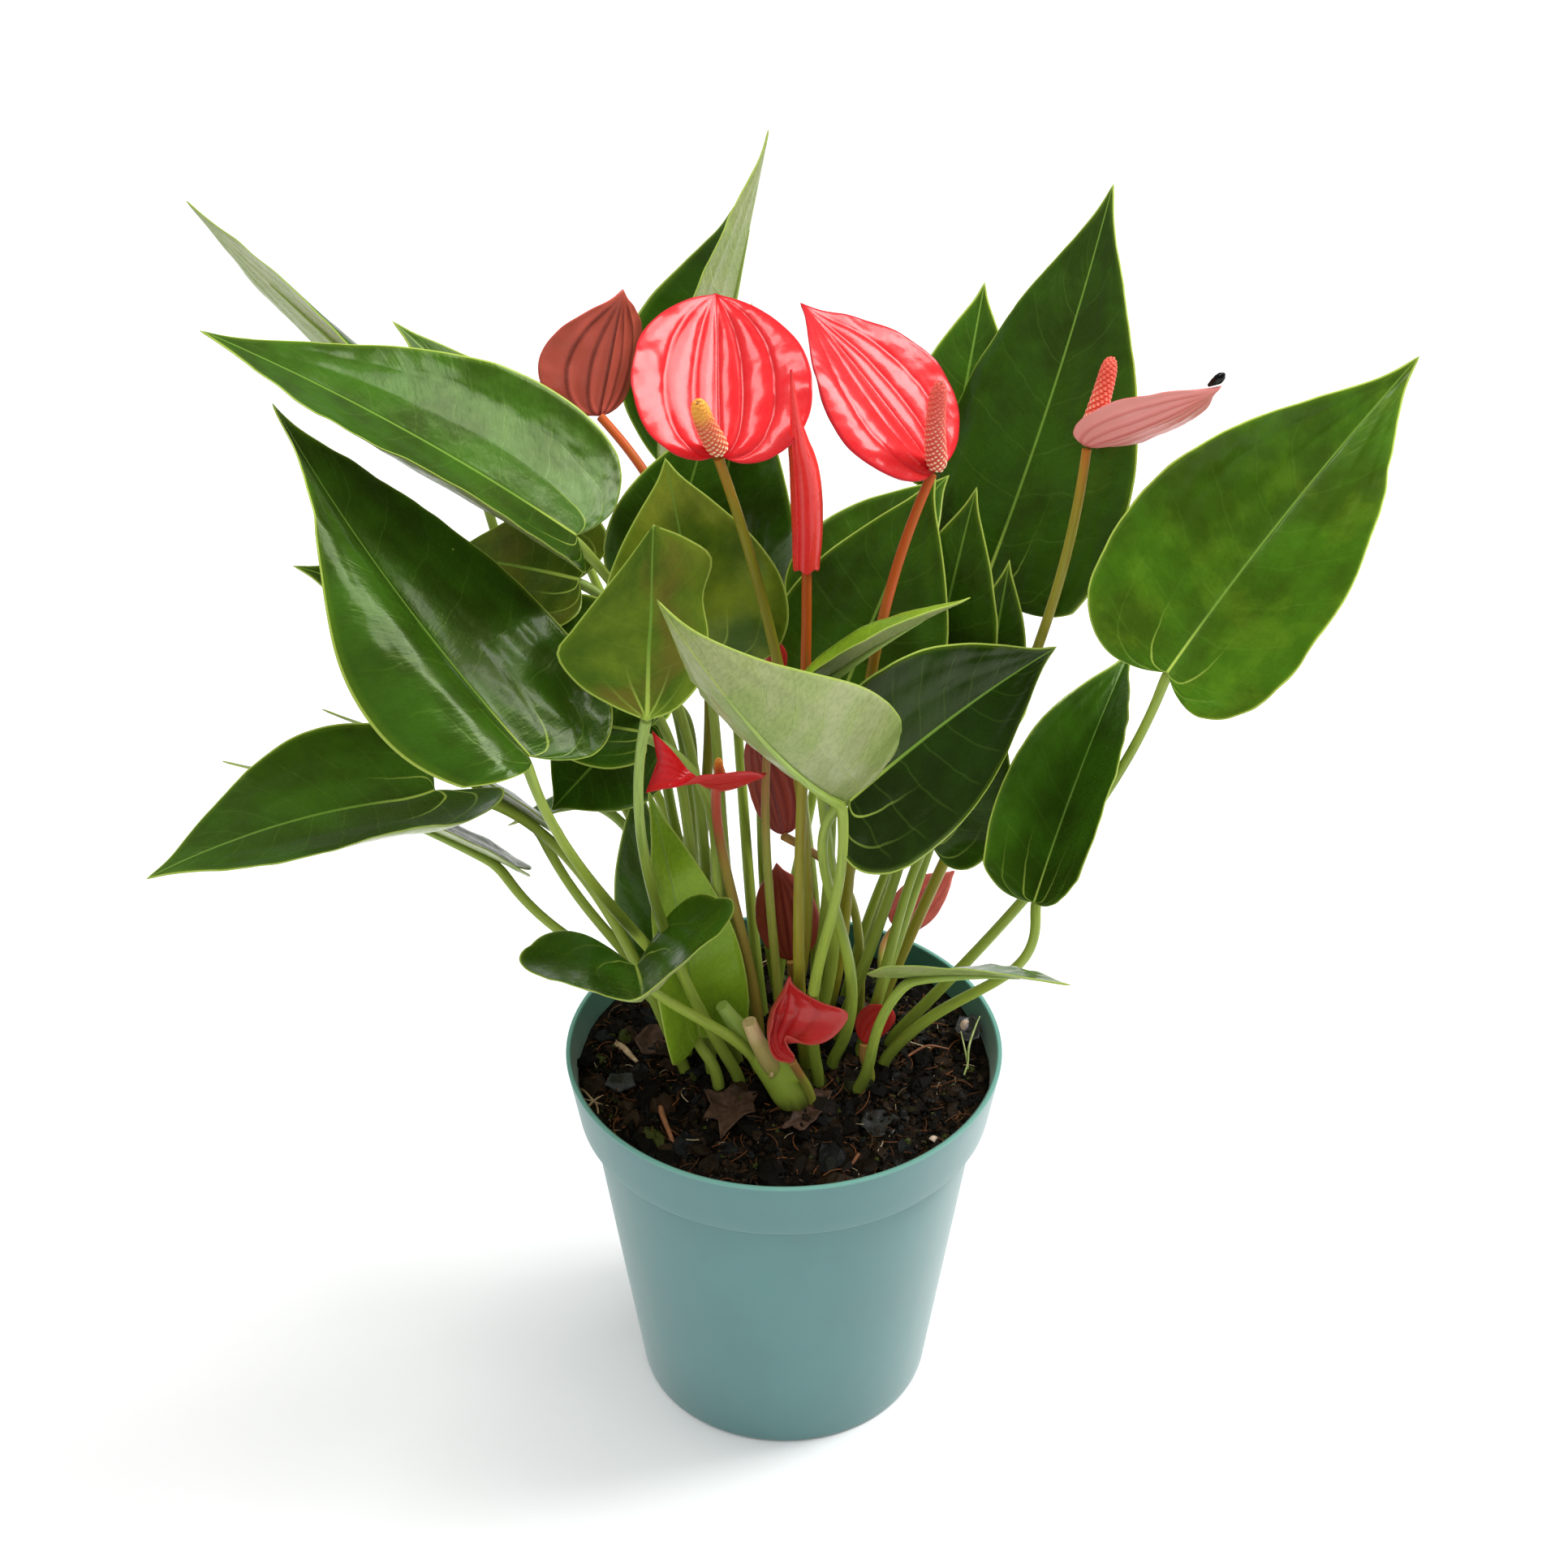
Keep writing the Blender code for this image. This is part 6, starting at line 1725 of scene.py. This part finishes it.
class StrewLitter(bpy.types.Operator):
    """Strews loose crumbs, lumps and fibres over the peat"""
    bl_idname = "anthurium.strew_litter"
    bl_label = "Strew Litter"

    def execute(self, context):
        sizes, hues = context.scene.anthurium_sizes, context.scene.anthurium_hues
        points, faces = peat_bed(sizes.peat_relief / MM, LITTER_RINGS, LITTER_SECTORS)
        mesh = bpy.data.meshes.new("peat top")
        reach = LITTER_REACH * MM
        mesh.from_pydata([(x * reach, y * reach, z * MM) for x, y, z in points], [],
                         faces[:(LITTER_RINGS - 1) * LITTER_SECTORS])
        made = grown("litter", mesh, kept("strewn litter", litter_tree), {
            "Crumb Radius": sizes.crumb, "Lump Radius": sizes.lump,
            "Fibre Length": sizes.fibre, "Material": litter_material(hues)})
        settle(joined("peat_litter", [made]), smooth=False)
        return {"FINISHED"}


def fallen(name, corners, rise, relief, seed, thickness=0.5):
    """A dead leaf that lies on the peat: its corners, and how far its edge curls up."""
    draw = np.random.default_rng(seed)
    corners = np.array(corners, float)
    after = np.roll(corners, -1, axis=0)
    edge = np.concatenate([[a + (b - a) * share for share in (0.0, 0.34, 0.67)]
                           for a, b in zip(corners, after)])
    middle = edge.mean(axis=0)
    points = [(middle[0], middle[1], peat_height(*middle, relief) + 0.9)]
    for share in FALLEN_RINGS:
        for x, y in middle + (edge - middle) * share:
            wave = 0.5 * math.sin(x * 1.3 + seed) + 0.5 * math.sin(y * 1.7)
            wave += draw.uniform(-0.2, 0.2)
            points.append((x, y, max(peat_height(x, y, relief) + 0.4,
                                     points[0][2] + rise * share ** 2 + 0.7 * wave * share)))
    points = np.array(points)
    count, around = len(points), len(edge)
    faces = [[0, 1 + i, 1 + (i + 1) % around] for i in range(around)]
    for ring in range(len(FALLEN_RINGS) - 1):
        first = 1 + ring * around
        faces += [[first + i, first + around + i, first + around + (i + 1) % around,
                   first + (i + 1) % around] for i in range(around)]
    last = 1 + (len(FALLEN_RINGS) - 1) * around
    rim = [[last + i, last + i + count, last + (i + 1) % around + count,
            last + (i + 1) % around] for i in range(around)]
    low = [[index + count for index in face[::-1]] for face in faces]
    mesh = bpy.data.meshes.new(name)
    below = points - (0.0, 0.0, thickness)
    mesh.from_pydata((np.concatenate([points, below]) * MM).tolist(), [], faces + low + rim)
    outward(mesh)
    return mesh


FALLEN_RINGS = (0.3, 0.6, 0.85, 1.0)
DEAD_LEAVES = (
    (((-13.6, -13.2), (-10.5, -16.2), (-6.4, -15.4), (-8.4, -20.5), (-7.6, -24.5), (-12.0, -27.0),
      (-16.9, -36.2), (-17.8, -27.5), (-21.8, -27.0), (-19.8, -22.0), (-22.0, -15.2),
      (-16.8, -16.6)), 1.8),
    (((7.0, -14.5), (13.4, -15.2), (11.5, -21.0), (8.5, -27.5), (4.1, -32.3), (2.2, -29.5),
      (-0.6, -30.6), (2.2, -25.0), (3.2, -19.0)), 1.2),
    (((-38.1, 14.8), (-31.0, 13.0), (-29.8, 5.7), (-34.0, 1.0), (-39.8, 2.1), (-42.0, 8.0)), 2.5),
    (((22.0, -21.0), (27.0, -20.5), (31.0, -24.0), (29.5, -30.0), (24.0, -31.5), (20.5, -27.0)), 0.6),
    (((53.0, 18.0), (55.5, 13.0), (54.5, 7.0), (50.0, 6.0), (48.0, 11.0), (49.5, 16.0)), 2.2),
    (((-48.0, -6.0), (-42.0, -5.0), (-40.5, -10.5), (-45.0, -13.0), (-49.5, -10.5)), 1.0),
)
# The first dead leaf that is wet and black
WET_LEAVES = 3
DEAD_LEAF_SEED = 40
TWIG_SEED = 60
# Roots, stalks and sprouts on the peat: kind, thickness and places over it.
TWIGS = (
    ("root", 1.1, ((-47.6, 7.9, 0.8), (-45.0, 7.0, 1.6), (-43.0, 4.0, 1.2), (-40.9, 1.4, 0.2))),
    ("root", 0.35, ((-56.0, -10.5, 1.0), (-54.5, -13.5, 2.0), (-51.5, -16.5, 1.4), (-48.0, -16.5, 0.6))),
    ("root", 0.35, ((-54.5, -20.0, 0.6), (-52.0, -17.5, 2.0), (-49.5, -14.0, 1.0))),
    ("root", 0.3, ((-50.5, -21.5, 0.4), (-51.5, -17.5, 1.6), (-55.0, -15.5, 1.2))),
    ("stick", 0.85, ((-33.6, -19.8, 0.6), (-32.6, -25.0, 1.6), (-30.4, -31.0, 1.4), (-28.8, -36.2, 0.3))),
    ("stick", 0.5, ((20.0, -38.5, 0.4), (17.5, -41.5, 1.2), (13.5, -44.5, 0.6))),
    ("stick", 0.4, ((34.0, 2.0, 0.5), (40.0, 5.0, 2.2), (46.0, 5.5, 0.8))),
    ("sprout", 0.35, ((51.2, 0.5, 0.2), (51.6, 4.0, 3.5), (53.5, 9.0, 6.5), (55.0, 12.5, 7.5))),
    ("sprout", 0.3, ((51.4, 1.0, 0.2), (50.5, 3.5, 3.0), (49.5, 8.5, 5.0))),
    ("sprout", 0.3, ((50.0, -3.0, 0.2), (51.2, 0.5, 2.4), (51.6, 4.0, 3.4))),
    ("grain", 1.0, ((39.6, -33.4, 0.6), (40.1, -32.9, 0.9), (40.9, -32.3, 0.7))),
    ("grain", 1.1, ((50.2, 13.4, 3.2), (51.0, 13.8, 3.6), (51.8, 14.2, 3.2))),
)


class ScatterScraps(bpy.types.Operator):
    """Lays dead leaves, roots, bits of stalk and sprouts on the peat"""
    bl_idname = "anthurium.scatter_scraps"
    bl_label = "Scatter Scraps"

    def execute(self, context):
        relief = context.scene.anthurium_sizes.peat_relief / MM
        dry = scrap_material("dead leaf", (0.095, 0.045, 0.028), (0.040, 0.018, 0.011))
        wet = scrap_material("wet dead leaf", (0.012, 0.012, 0.011), (0.028, 0.030, 0.030),
                             scale=300, rough=0.3)
        finishes = {
            "root": scrap_material("dry root", (0.55, 0.40, 0.24), (0.28, 0.17, 0.08)),
            "stick": scrap_material("dry stick", (0.32, 0.12, 0.045), (0.18, 0.07, 0.03)),
            "sprout": scrap_material("sprout", (0.28, 0.36, 0.10), (0.45, 0.50, 0.22)),
            "grain": scrap_material("pale grain", (0.60, 0.45, 0.35), (0.42, 0.30, 0.22)),
        }
        parts = []
        for number, (corners, rise) in enumerate(DEAD_LEAVES):
            made = fallen("scrap", corners, rise, relief, DEAD_LEAF_SEED + number)
            made.materials.append(wet if number >= WET_LEAVES else dry)
            parts.append(made)
        for number, (kind, radius, places) in enumerate(TWIGS):
            line = smooth_line([(x, y, peat_height(x, y, relief) + z) for x, y, z in places])
            girths = radius * (1 - 0.55 * np.linspace(0, 1, len(line)) ** 2)
            parts.append(tube("scrap", line, girths, finishes[kind], TWIG_SEED + number,
                              pitch=0.5, sides=8, passes=1))
        settle(joined("peat_scraps", parts))
        return {"FINISHED"}


def stalked(name, leaf, root, radii, stalk_finish, seed, ridge=0.7):
    """The stalk of one blade and the midrib that it goes on as under the blade."""
    shape = dict(leaf)
    lift = shape.pop("arrive", 0.8)
    route = {key: shape.pop(key) for key in ("bow", "lean", "sway") if key in shape}
    blade = Blade(**shape)
    arrival = unit(blade.axis + blade.up * lift)
    sunk = blade.up * (RIB_DEPTH * radii[1] + RIB_SINK)
    path = stem_route(root, blade.point(0.0) - sunk, arrival, STALK_PARTS, **route)
    girths = np.linspace(radii[0], radii[1], len(path))
    reach = np.linalg.norm(path - path[-1], axis=1)
    girths = girths * (1 + KNEE * np.exp(-(reach / KNEE_LENGTH) ** 2))
    if ridge:
        places = np.linspace(0.03, ridge, 24)
        under = np.linspace(radii[1], RIB_TIP, len(places))
        spine = blade.points(places, np.zeros(len(places)))
        normal = blade.normals(places, np.zeros(len(places)))
        spine = spine - normal * (under * RIB_DEPTH + RIB_SINK)[:, None]
        path, girths = np.vstack([path, spine]), np.concatenate([girths, under])
    return blade, tube(name, path, girths, stalk_finish, seed)


STALK_PARTS = 48
RIB_DEPTH = 0.85
RIB_SINK = 0.25
RIB_TIP = 0.22
KNEE = 0.16
KNEE_LENGTH = 9.0


class GrowLeaves(bpy.types.Operator):
    """Grows every leafy shoot: stalks from the peat and blades on them"""
    bl_idname = "anthurium.grow_leaves"
    bl_label = "Grow Leaves"

    def execute(self, context):
        sizes, hues = context.scene.anthurium_sizes, context.scene.anthurium_hues
        finishes = {"leaf_green": leaf_material("leaf green", hues, hues.leaf),
                    "leaf_olive": leaf_material("leaf olive", hues, hues.leaf_olive)}
        stalk = stalk_material("leaf stalk", hues.stalk_foot, hues.stalk, hues.stalk_top,
                               hues.stalk_streak)
        radii = (sizes.stem_base / MM, sizes.stem_top / MM)
        for number, (name, (root, leaves)) in enumerate(LEAF_SHOOTS.items()):
            slot = LEAF_HUES.get(name, "leaf_green")
            pitch = (sizes.leaf_pitch if name in HERO_LEAVES else sizes.hidden_pitch) / MM
            skin = Skin(LEAF_OUTLINE, pitch, sizes.leaf_thickness / MM,
                        ripple=sizes.leaf_ripple / MM, wave=18.0, ribs=LEAF_RIBS, puff=0.10,
                        furrow=0.16, edge_wave=0.12)
            look = LEAF_LOOKS.get(name, {})
            parts = []
            for index, leaf in enumerate(leaves):
                railed = name == "leaf_middle_olive"
                blade, stem = stalked(name, leaf, root, radii, stalk, number * 3 + index,
                                      ridge=0 if railed else 0.7)
                if railed:
                    blade = Rails(*OLIVE_RAILS)
                made = blade_mesh(name, blade, skin, number * 3 + index, look)
                made.materials.append(finishes["leaf_olive" if name in OLIVE_LEAVES else slot])
                outward(made)
                parts += [made, stem]
            settle(joined("fine_" + name, parts), [name])
        return {"FINISHED"}


class GrowCrown(bpy.types.Operator):
    """Grows the thick green shoot at the front, its cut stub and its leaf"""
    bl_idname = "anthurium.grow_crown"
    bl_label = "Grow Crown Shoot"

    def execute(self, context):
        sizes, hues = context.scene.anthurium_sizes, context.scene.anthurium_hues
        finish = leaf_material("crown leaf green", hues, hues.leaf)
        stalk = stalk_material("crown stalk", hues.stalk_foot, hues.stalk, hues.stalk_top,
                               hues.stalk_streak)
        thick = stalk_material("crown knob", hues.peat_brown, hues.knob, hues.stalk_top,
                               hues.stalk, 0.7)
        blade, stem = stalked("crown", CROWN_LEAF, CROWN_ROOT,
                              (sizes.stem_base / MM, sizes.stem_top / MM), stalk, CROWN_SEED)
        skin = Skin(LEAF_OUTLINE, sizes.leaf_pitch / MM, sizes.leaf_thickness / MM,
                    ripple=sizes.leaf_ripple / MM, wave=18.0, ribs=LEAF_RIBS, puff=0.10,
                    furrow=0.16, edge_wave=0.2)
        # Its tone is partly painted light, as for the leaves in LEAF_LOOKS
        leaf = blade_mesh("crown leaf", blade, skin, CROWN_SEED + 1, dict(tone_and_shade=1.4))
        leaf.materials.append(finish)
        outward(leaf)
        parts = [leaf, stem]
        base = np.array((*CROWN_ROOT, ground(*CROWN_ROOT)))
        cut = stalk_material("cut stub", hues.knob, (0.42, 0.34, 0.11), (0.60, 0.44, 0.22),
                             (0.30, 0.24, 0.07), 0.6)
        for index, (rings, look) in enumerate(((KNOB, thick), (STUB, cut))):
            line = smooth_line([base + np.array(offset) for offset, _ in rings], 6)
            girth = smooth_line([(radius, 0.0) for _, radius in rings], 6)[:, 0]
            parts.append(tube("crown", line, girth, look, CROWN_SEED + 2 + index,
                              pitch=0.5, sides=28, passes=2))
        scar = np.array(SCAR)
        parts.append(tube("crown", scar, np.array(SCAR_GIRTH), cut, CROWN_SEED + 5,
                          pitch=0.3, sides=12, passes=1))
        settle(joined("fine_crown_shoot", parts), ["crown_shoot"])
        return {"FINISHED"}


CROWN_SEED = 90
BLOOM_SEED = 200
BUD_SEED = 300
SCAR_GIRTH = (0.3, 0.75, 0.3)
# Shares of a bloom's stalk after which it turns from green to red
STALK_TURNS = (0.66, 0.88)
# Girth of the dark knob at the pink spathe's tip
KNOB_GIRTH = (0.4, 0.9, 1.25, 1.1, 0.4)
BLOOM_STALK_PARTS = 60
ROLL_TURNS = 1.2
ROLL_THICKNESS = 0.5
FLORET_DOT = (0.95, 0.72, 0.45)
# Largest floret against its spadix's radius, and how densely florets stand
FLORET_SHARE = 0.33
FLORET_COVER = 0.9
FLORET_PITCH = 1.55


def spadix(name, foot, tip, radius, finish, floret, seed):
    """A beaded spike from its foot to its tip, bent a little sideways."""
    span = tip - foot
    length = np.linalg.norm(span)
    side = unit(np.cross(span, (0.0, 0.0, 1.0)))
    shares = np.linspace(0, 1, 60)
    sizes = np.interp(shares, [share for share, _ in SPADIX_SHAPE],
                      [size for _, size in SPADIX_SHAPE])
    bend = SPADIX_BEND * length * 4 * shares * (1 - shares)
    points = foot + span * shares[:, None] + side * bend[:, None]
    core = np.maximum(0.15, sizes * radius - floret * 0.5)
    mesh = line_mesh(name, points, core, seed)
    side_area = 2 * math.pi * radius * length
    count = int(side_area * FLORET_COVER / (FLORET_PITCH * floret) ** 2)
    return grown(name, mesh, kept("beaded spike", spadix_tree), {
        "Florets": count, "Floret Radius": floret * MM, "Seed": seed, "Material": finish})


class GrowBlooms(bpy.types.Operator):
    """Grows the open blooms, each a stalk, a spathe and a beaded spadix"""
    bl_idname = "anthurium.grow_blooms"
    bl_label = "Grow Blooms"

    def execute(self, context):
        sizes, hues = context.scene.anthurium_sizes, context.scene.anthurium_hues
        green = {turn: stalk_material("bloom stalk", hues.stalk_foot, (0.27, 0.25, 0.020),
                                      (0.50, 0.085, 0.012), (0.26, 0.14, 0.012), turn)
                 for turn in STALK_TURNS}
        red = stalk_material("red bloom stalk", hues.stalk_foot, (0.26, 0.20, 0.03),
                             (0.48, 0.07, 0.045), (0.24, 0.10, 0.03), 0.66)
        skin = Skin(SPATHE_OUTLINE, sizes.spathe_pitch / MM, sizes.spathe_thickness / MM,
                    ripple=0.12, wave=12.0, ribs=SPATHE_RIBS, puff=sizes.spathe_puff / MM,
                    furrow=0.20, edge_wave=0.25)
        for number, (name, spec) in enumerate(BLOOMS.items()):
            seed = BLOOM_SEED + number
            blade = Blade(**spec["spathe"])
            skin.outline = ROUND_OUTLINE if name == "bloom_round_red" else SPATHE_OUTLINE
            skin.puff = spec.get("puff", 1.0) * sizes.spathe_puff / MM
            if name == "bloom_slim_red":
                made = rolled_mesh(name, ROLL, ROLL_THICKNESS, ROLL_TURNS, seed)
            elif name == "bloom_small_red":
                made = blade_mesh(name, Rails(*FLAG_RAILS), skin, seed, {})
            else:
                made = blade_mesh(name, blade, skin, seed, {})
            finish = spathe_material(name.replace("_", " "), *SPATHE_HUES[name])
            made.materials.append(finish)
            outward(made)
            parts = [made]
            if "knob" in spec:
                parts.append(tube(name, np.array(spec["knob"]), np.array(KNOB_GIRTH), finish, seed,
                                  pitch=0.3, passes=1))
            settle(joined(f"fine_{name}_spathe", parts), [name + "_spathe"])

            furled = spec["spathe"]["fold"] > FURLED
            end = blade.junction - blade.up * (SPATHE_CLEARANCE + STALK_DROP)
            arrival = unit(blade.up * ARRIVAL_RISE + blade.axis)
            if furled:
                end = np.array(ROLL[1][0])
                arrival = blade.axis
            path = stem_route(spec["root"], end, arrival, BLOOM_STALK_PARTS, **spec["route"])
            girths = np.linspace(sizes.stem_base / MM, sizes.stem_top / MM, len(path))
            look = red if name == "bloom_small_red" else green[spec.get("turn", STALK_TURNS[0])]
            stem = tube(name, path, girths, look, seed)
            settle(joined(f"fine_{name}_stalk", [stem]), [name + "_stalk"])

            radius = spec["spadix_radius"]
            rise = SPATHE_CLEARANCE + GAP + radius / 4 + (FURLED_SPADIX_RISE if furled else 0)
            foot = blade.junction + blade.up * rise + blade.axis * SPADIX_AHEAD
            finish = spadix_material(name.replace("_", " ") + " spadix", *SPADIX_HUES[name],
                                     FLORET_DOT)
            spike = spadix(name, foot, np.array(spec["spadix_tip"], float), radius, finish,
                           min(sizes.floret / MM, radius * FLORET_SHARE), seed)
            settle(joined(f"fine_{name}_spadix", [spike]), [name + "_spadix"])
        return {"FINISHED"}


class GrowBuds(bpy.types.Operator):
    """Grows the young blooms that are still furled"""
    bl_idname = "anthurium.grow_buds"
    bl_label = "Grow Buds"

    def execute(self, context):
        sizes, hues = context.scene.anthurium_sizes, context.scene.anthurium_hues
        stalk = stalk_material("bud stalk", hues.stalk_foot, (0.28, 0.30, 0.04),
                               (0.36, 0.18, 0.05), (0.18, 0.15, 0.03), 0.6)
        skin = Skin(SPATHE_OUTLINE, sizes.spathe_pitch / MM, sizes.spathe_thickness / MM,
                    ripple=0.12, wave=7.0, ribs=SPATHE_RIBS, puff=0.3, furrow=0.2,
                    edge_wave=0.2)
        for number, (name, spec) in enumerate(BUDS.items()):
            leaf = {key: value for key, value in spec.items() if key != "root"}
            leaf.setdefault("arrive", 0.1)
            blade, stem = stalked(name, leaf, spec["root"], BUD_STEM_RADII, stalk,
                                  BUD_SEED + number, ridge=0)
            if name == "bud_front_red":
                blade = Rails(*CURLED_RAILS)
            made = blade_mesh(name, blade, skin, BUD_SEED + number, {})
            made.materials.append(spathe_material(name.replace("_", " "), *SPATHE_HUES[name]))
            outward(made)
            settle(joined("fine_" + name, [made, stem]), [name])
        return {"FINISHED"}


class SetStage(bpy.types.Operator):
    """Sets the pale floor, the soft lights and the camera"""
    bl_idname = "anthurium.set_stage"
    bl_label = "Set Stage"

    def execute(self, context):
        scene = context.scene
        made, tree, shader = new_material("pale floor")
        place = tree.add("ShaderNodeTexCoord").outputs["Object"]
        hue = rgba(scene.anthurium_hues.floor)
        soft = tree.ramp(tree.noise(place, 6.0, 2), 0.3, 0.7, 0.0, 0.03)
        tree.feed(shader["Base Color"], tree.blend(soft, hue, (0.8, 0.8, 0.8, 1.0)))
        shader["Roughness"].default_value = 0.6
        mesh = bpy.data.meshes.new("floor")
        half = FLOOR_WIDTH / 2
        corners = [(-half, -half, 0), (half, -half, 0), (half, half, 0), (-half, half, 0)]
        mesh.from_pydata(corners, [], [(0, 1, 2, 3)])
        mesh.materials.append(made)
        floor = bpy.data.objects.new("floor", mesh)
        scene.collection.objects.link(floor)

        for name, spot, size, power in STUDIO_LIGHTS:
            light = bpy.data.lights.new(name, "AREA")
            light.shape = "RECTANGLE"
            light.size, light.size_y = size
            light.energy = power
            lamp = bpy.data.objects.new(name, light)
            lamp.location = spot
            aim = Vector(LIGHT_AIM) - Vector(spot)
            lamp.rotation_euler = aim.to_track_quat("-Z", "Y").to_euler()
            scene.collection.objects.link(lamp)
        for name, spot, power, spread in SUN_LIGHTS:
            light = bpy.data.lights.new(name, "SUN")
            light.energy = power
            light.angle = math.radians(spread)
            lamp = bpy.data.objects.new(name, light)
            lamp.rotation_euler = (-Vector(spot)).to_track_quat("-Z", "Y").to_euler()
            lamp.visible_glossy = False
            scene.collection.objects.link(lamp)
        world = bpy.data.worlds.new("soft surroundings")
        world.use_nodes = True
        sky = world.node_tree.nodes["Background"].inputs
        sky[0].default_value = (1.0, 1.0, 1.0, 1.0)
        sky[1].default_value = WORLD_LIGHT
        scene.world = world
        scene.view_settings.view_transform = "Standard"

        lens = bpy.data.cameras.new("camera")
        lens.lens = CAMERA_LENS
        lens.sensor_width = CAMERA_SENSOR
        lens.sensor_fit = "HORIZONTAL"
        camera = bpy.data.objects.new("camera", lens)
        angle = math.radians(CAMERA_ELEVATION)
        back = Vector((0.0, -math.cos(angle), math.sin(angle)))
        camera.location = Vector(CAMERA_AIM) + back * CAMERA_DISTANCE
        camera.rotation_euler = back.to_track_quat("Z", "Y").to_euler()
        scene.collection.objects.link(camera)
        scene.camera = camera
        return {"FINISHED"}


FLOOR_WIDTH = 8.0
LIGHT_AIM = (0.0, 0.0, 0.24)
WORLD_LIGHT = 0.27
# Each softbox: its place, its two sides and its power
STUDIO_LIGHTS = (
    ("right softbox", (0.76, 0.20, 0.92), (0.36, 0.34), 5.5),
    ("top softbox", (0.50, 0.12, 1.15), (0.50, 0.40), 5.5),
    ("small softbox", (-0.40, 0.0, 1.18), (0.14, 0.30), 1.8),
)
# Each broad light that gloss doesn't mirror: where it comes from, its strength and its angle
SUN_LIGHTS = (
    ("right sun", (0.55, 0.1, 0.85), 1.25, 60.0),
    ("left sun", (-0.6, 0.3, 0.9), 1.15, 60.0),
    ("front sun", (-0.2, -0.8, 0.8), 1.0, 70.0),
)

STEPS = (SetStage, MakePot, MakePeat, StrewLitter, ScatterScraps, GrowLeaves, GrowCrown,
         GrowBlooms, GrowBuds)


class AnthuriumPanel(bpy.types.Panel):
    """Lists the steps that make the plant"""
    bl_idname = "VIEW3D_PT_anthurium"
    bl_label = "Potted Anthurium"
    bl_space_type = "VIEW_3D"
    bl_region_type = "UI"
    bl_category = "Anthurium"

    def draw(self, context):
        for step in STEPS:
            self.layout.operator(step.bl_idname)
        for group in (context.scene.anthurium_sizes, context.scene.anthurium_hues):
            box = self.layout.box()
            for label in group.__annotations__:
                box.prop(group, label)


CLASSES = (AnthuriumSizes, AnthuriumHues) + STEPS + (AnthuriumPanel,)


def register():
    for kind in CLASSES:
        bpy.utils.register_class(kind)
    bpy.types.Scene.anthurium_sizes = PointerProperty(type=AnthuriumSizes)
    bpy.types.Scene.anthurium_hues = PointerProperty(type=AnthuriumHues)


def unregister():
    del bpy.types.Scene.anthurium_sizes
    del bpy.types.Scene.anthurium_hues
    for kind in reversed(CLASSES):
        bpy.utils.unregister_class(kind)


def main():
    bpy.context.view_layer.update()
    register()
    for step in STEPS:
        group, label = step.bl_idname.split(".")
        getattr(getattr(bpy.ops, group), label)()


if __name__ == "__main__":
    main()
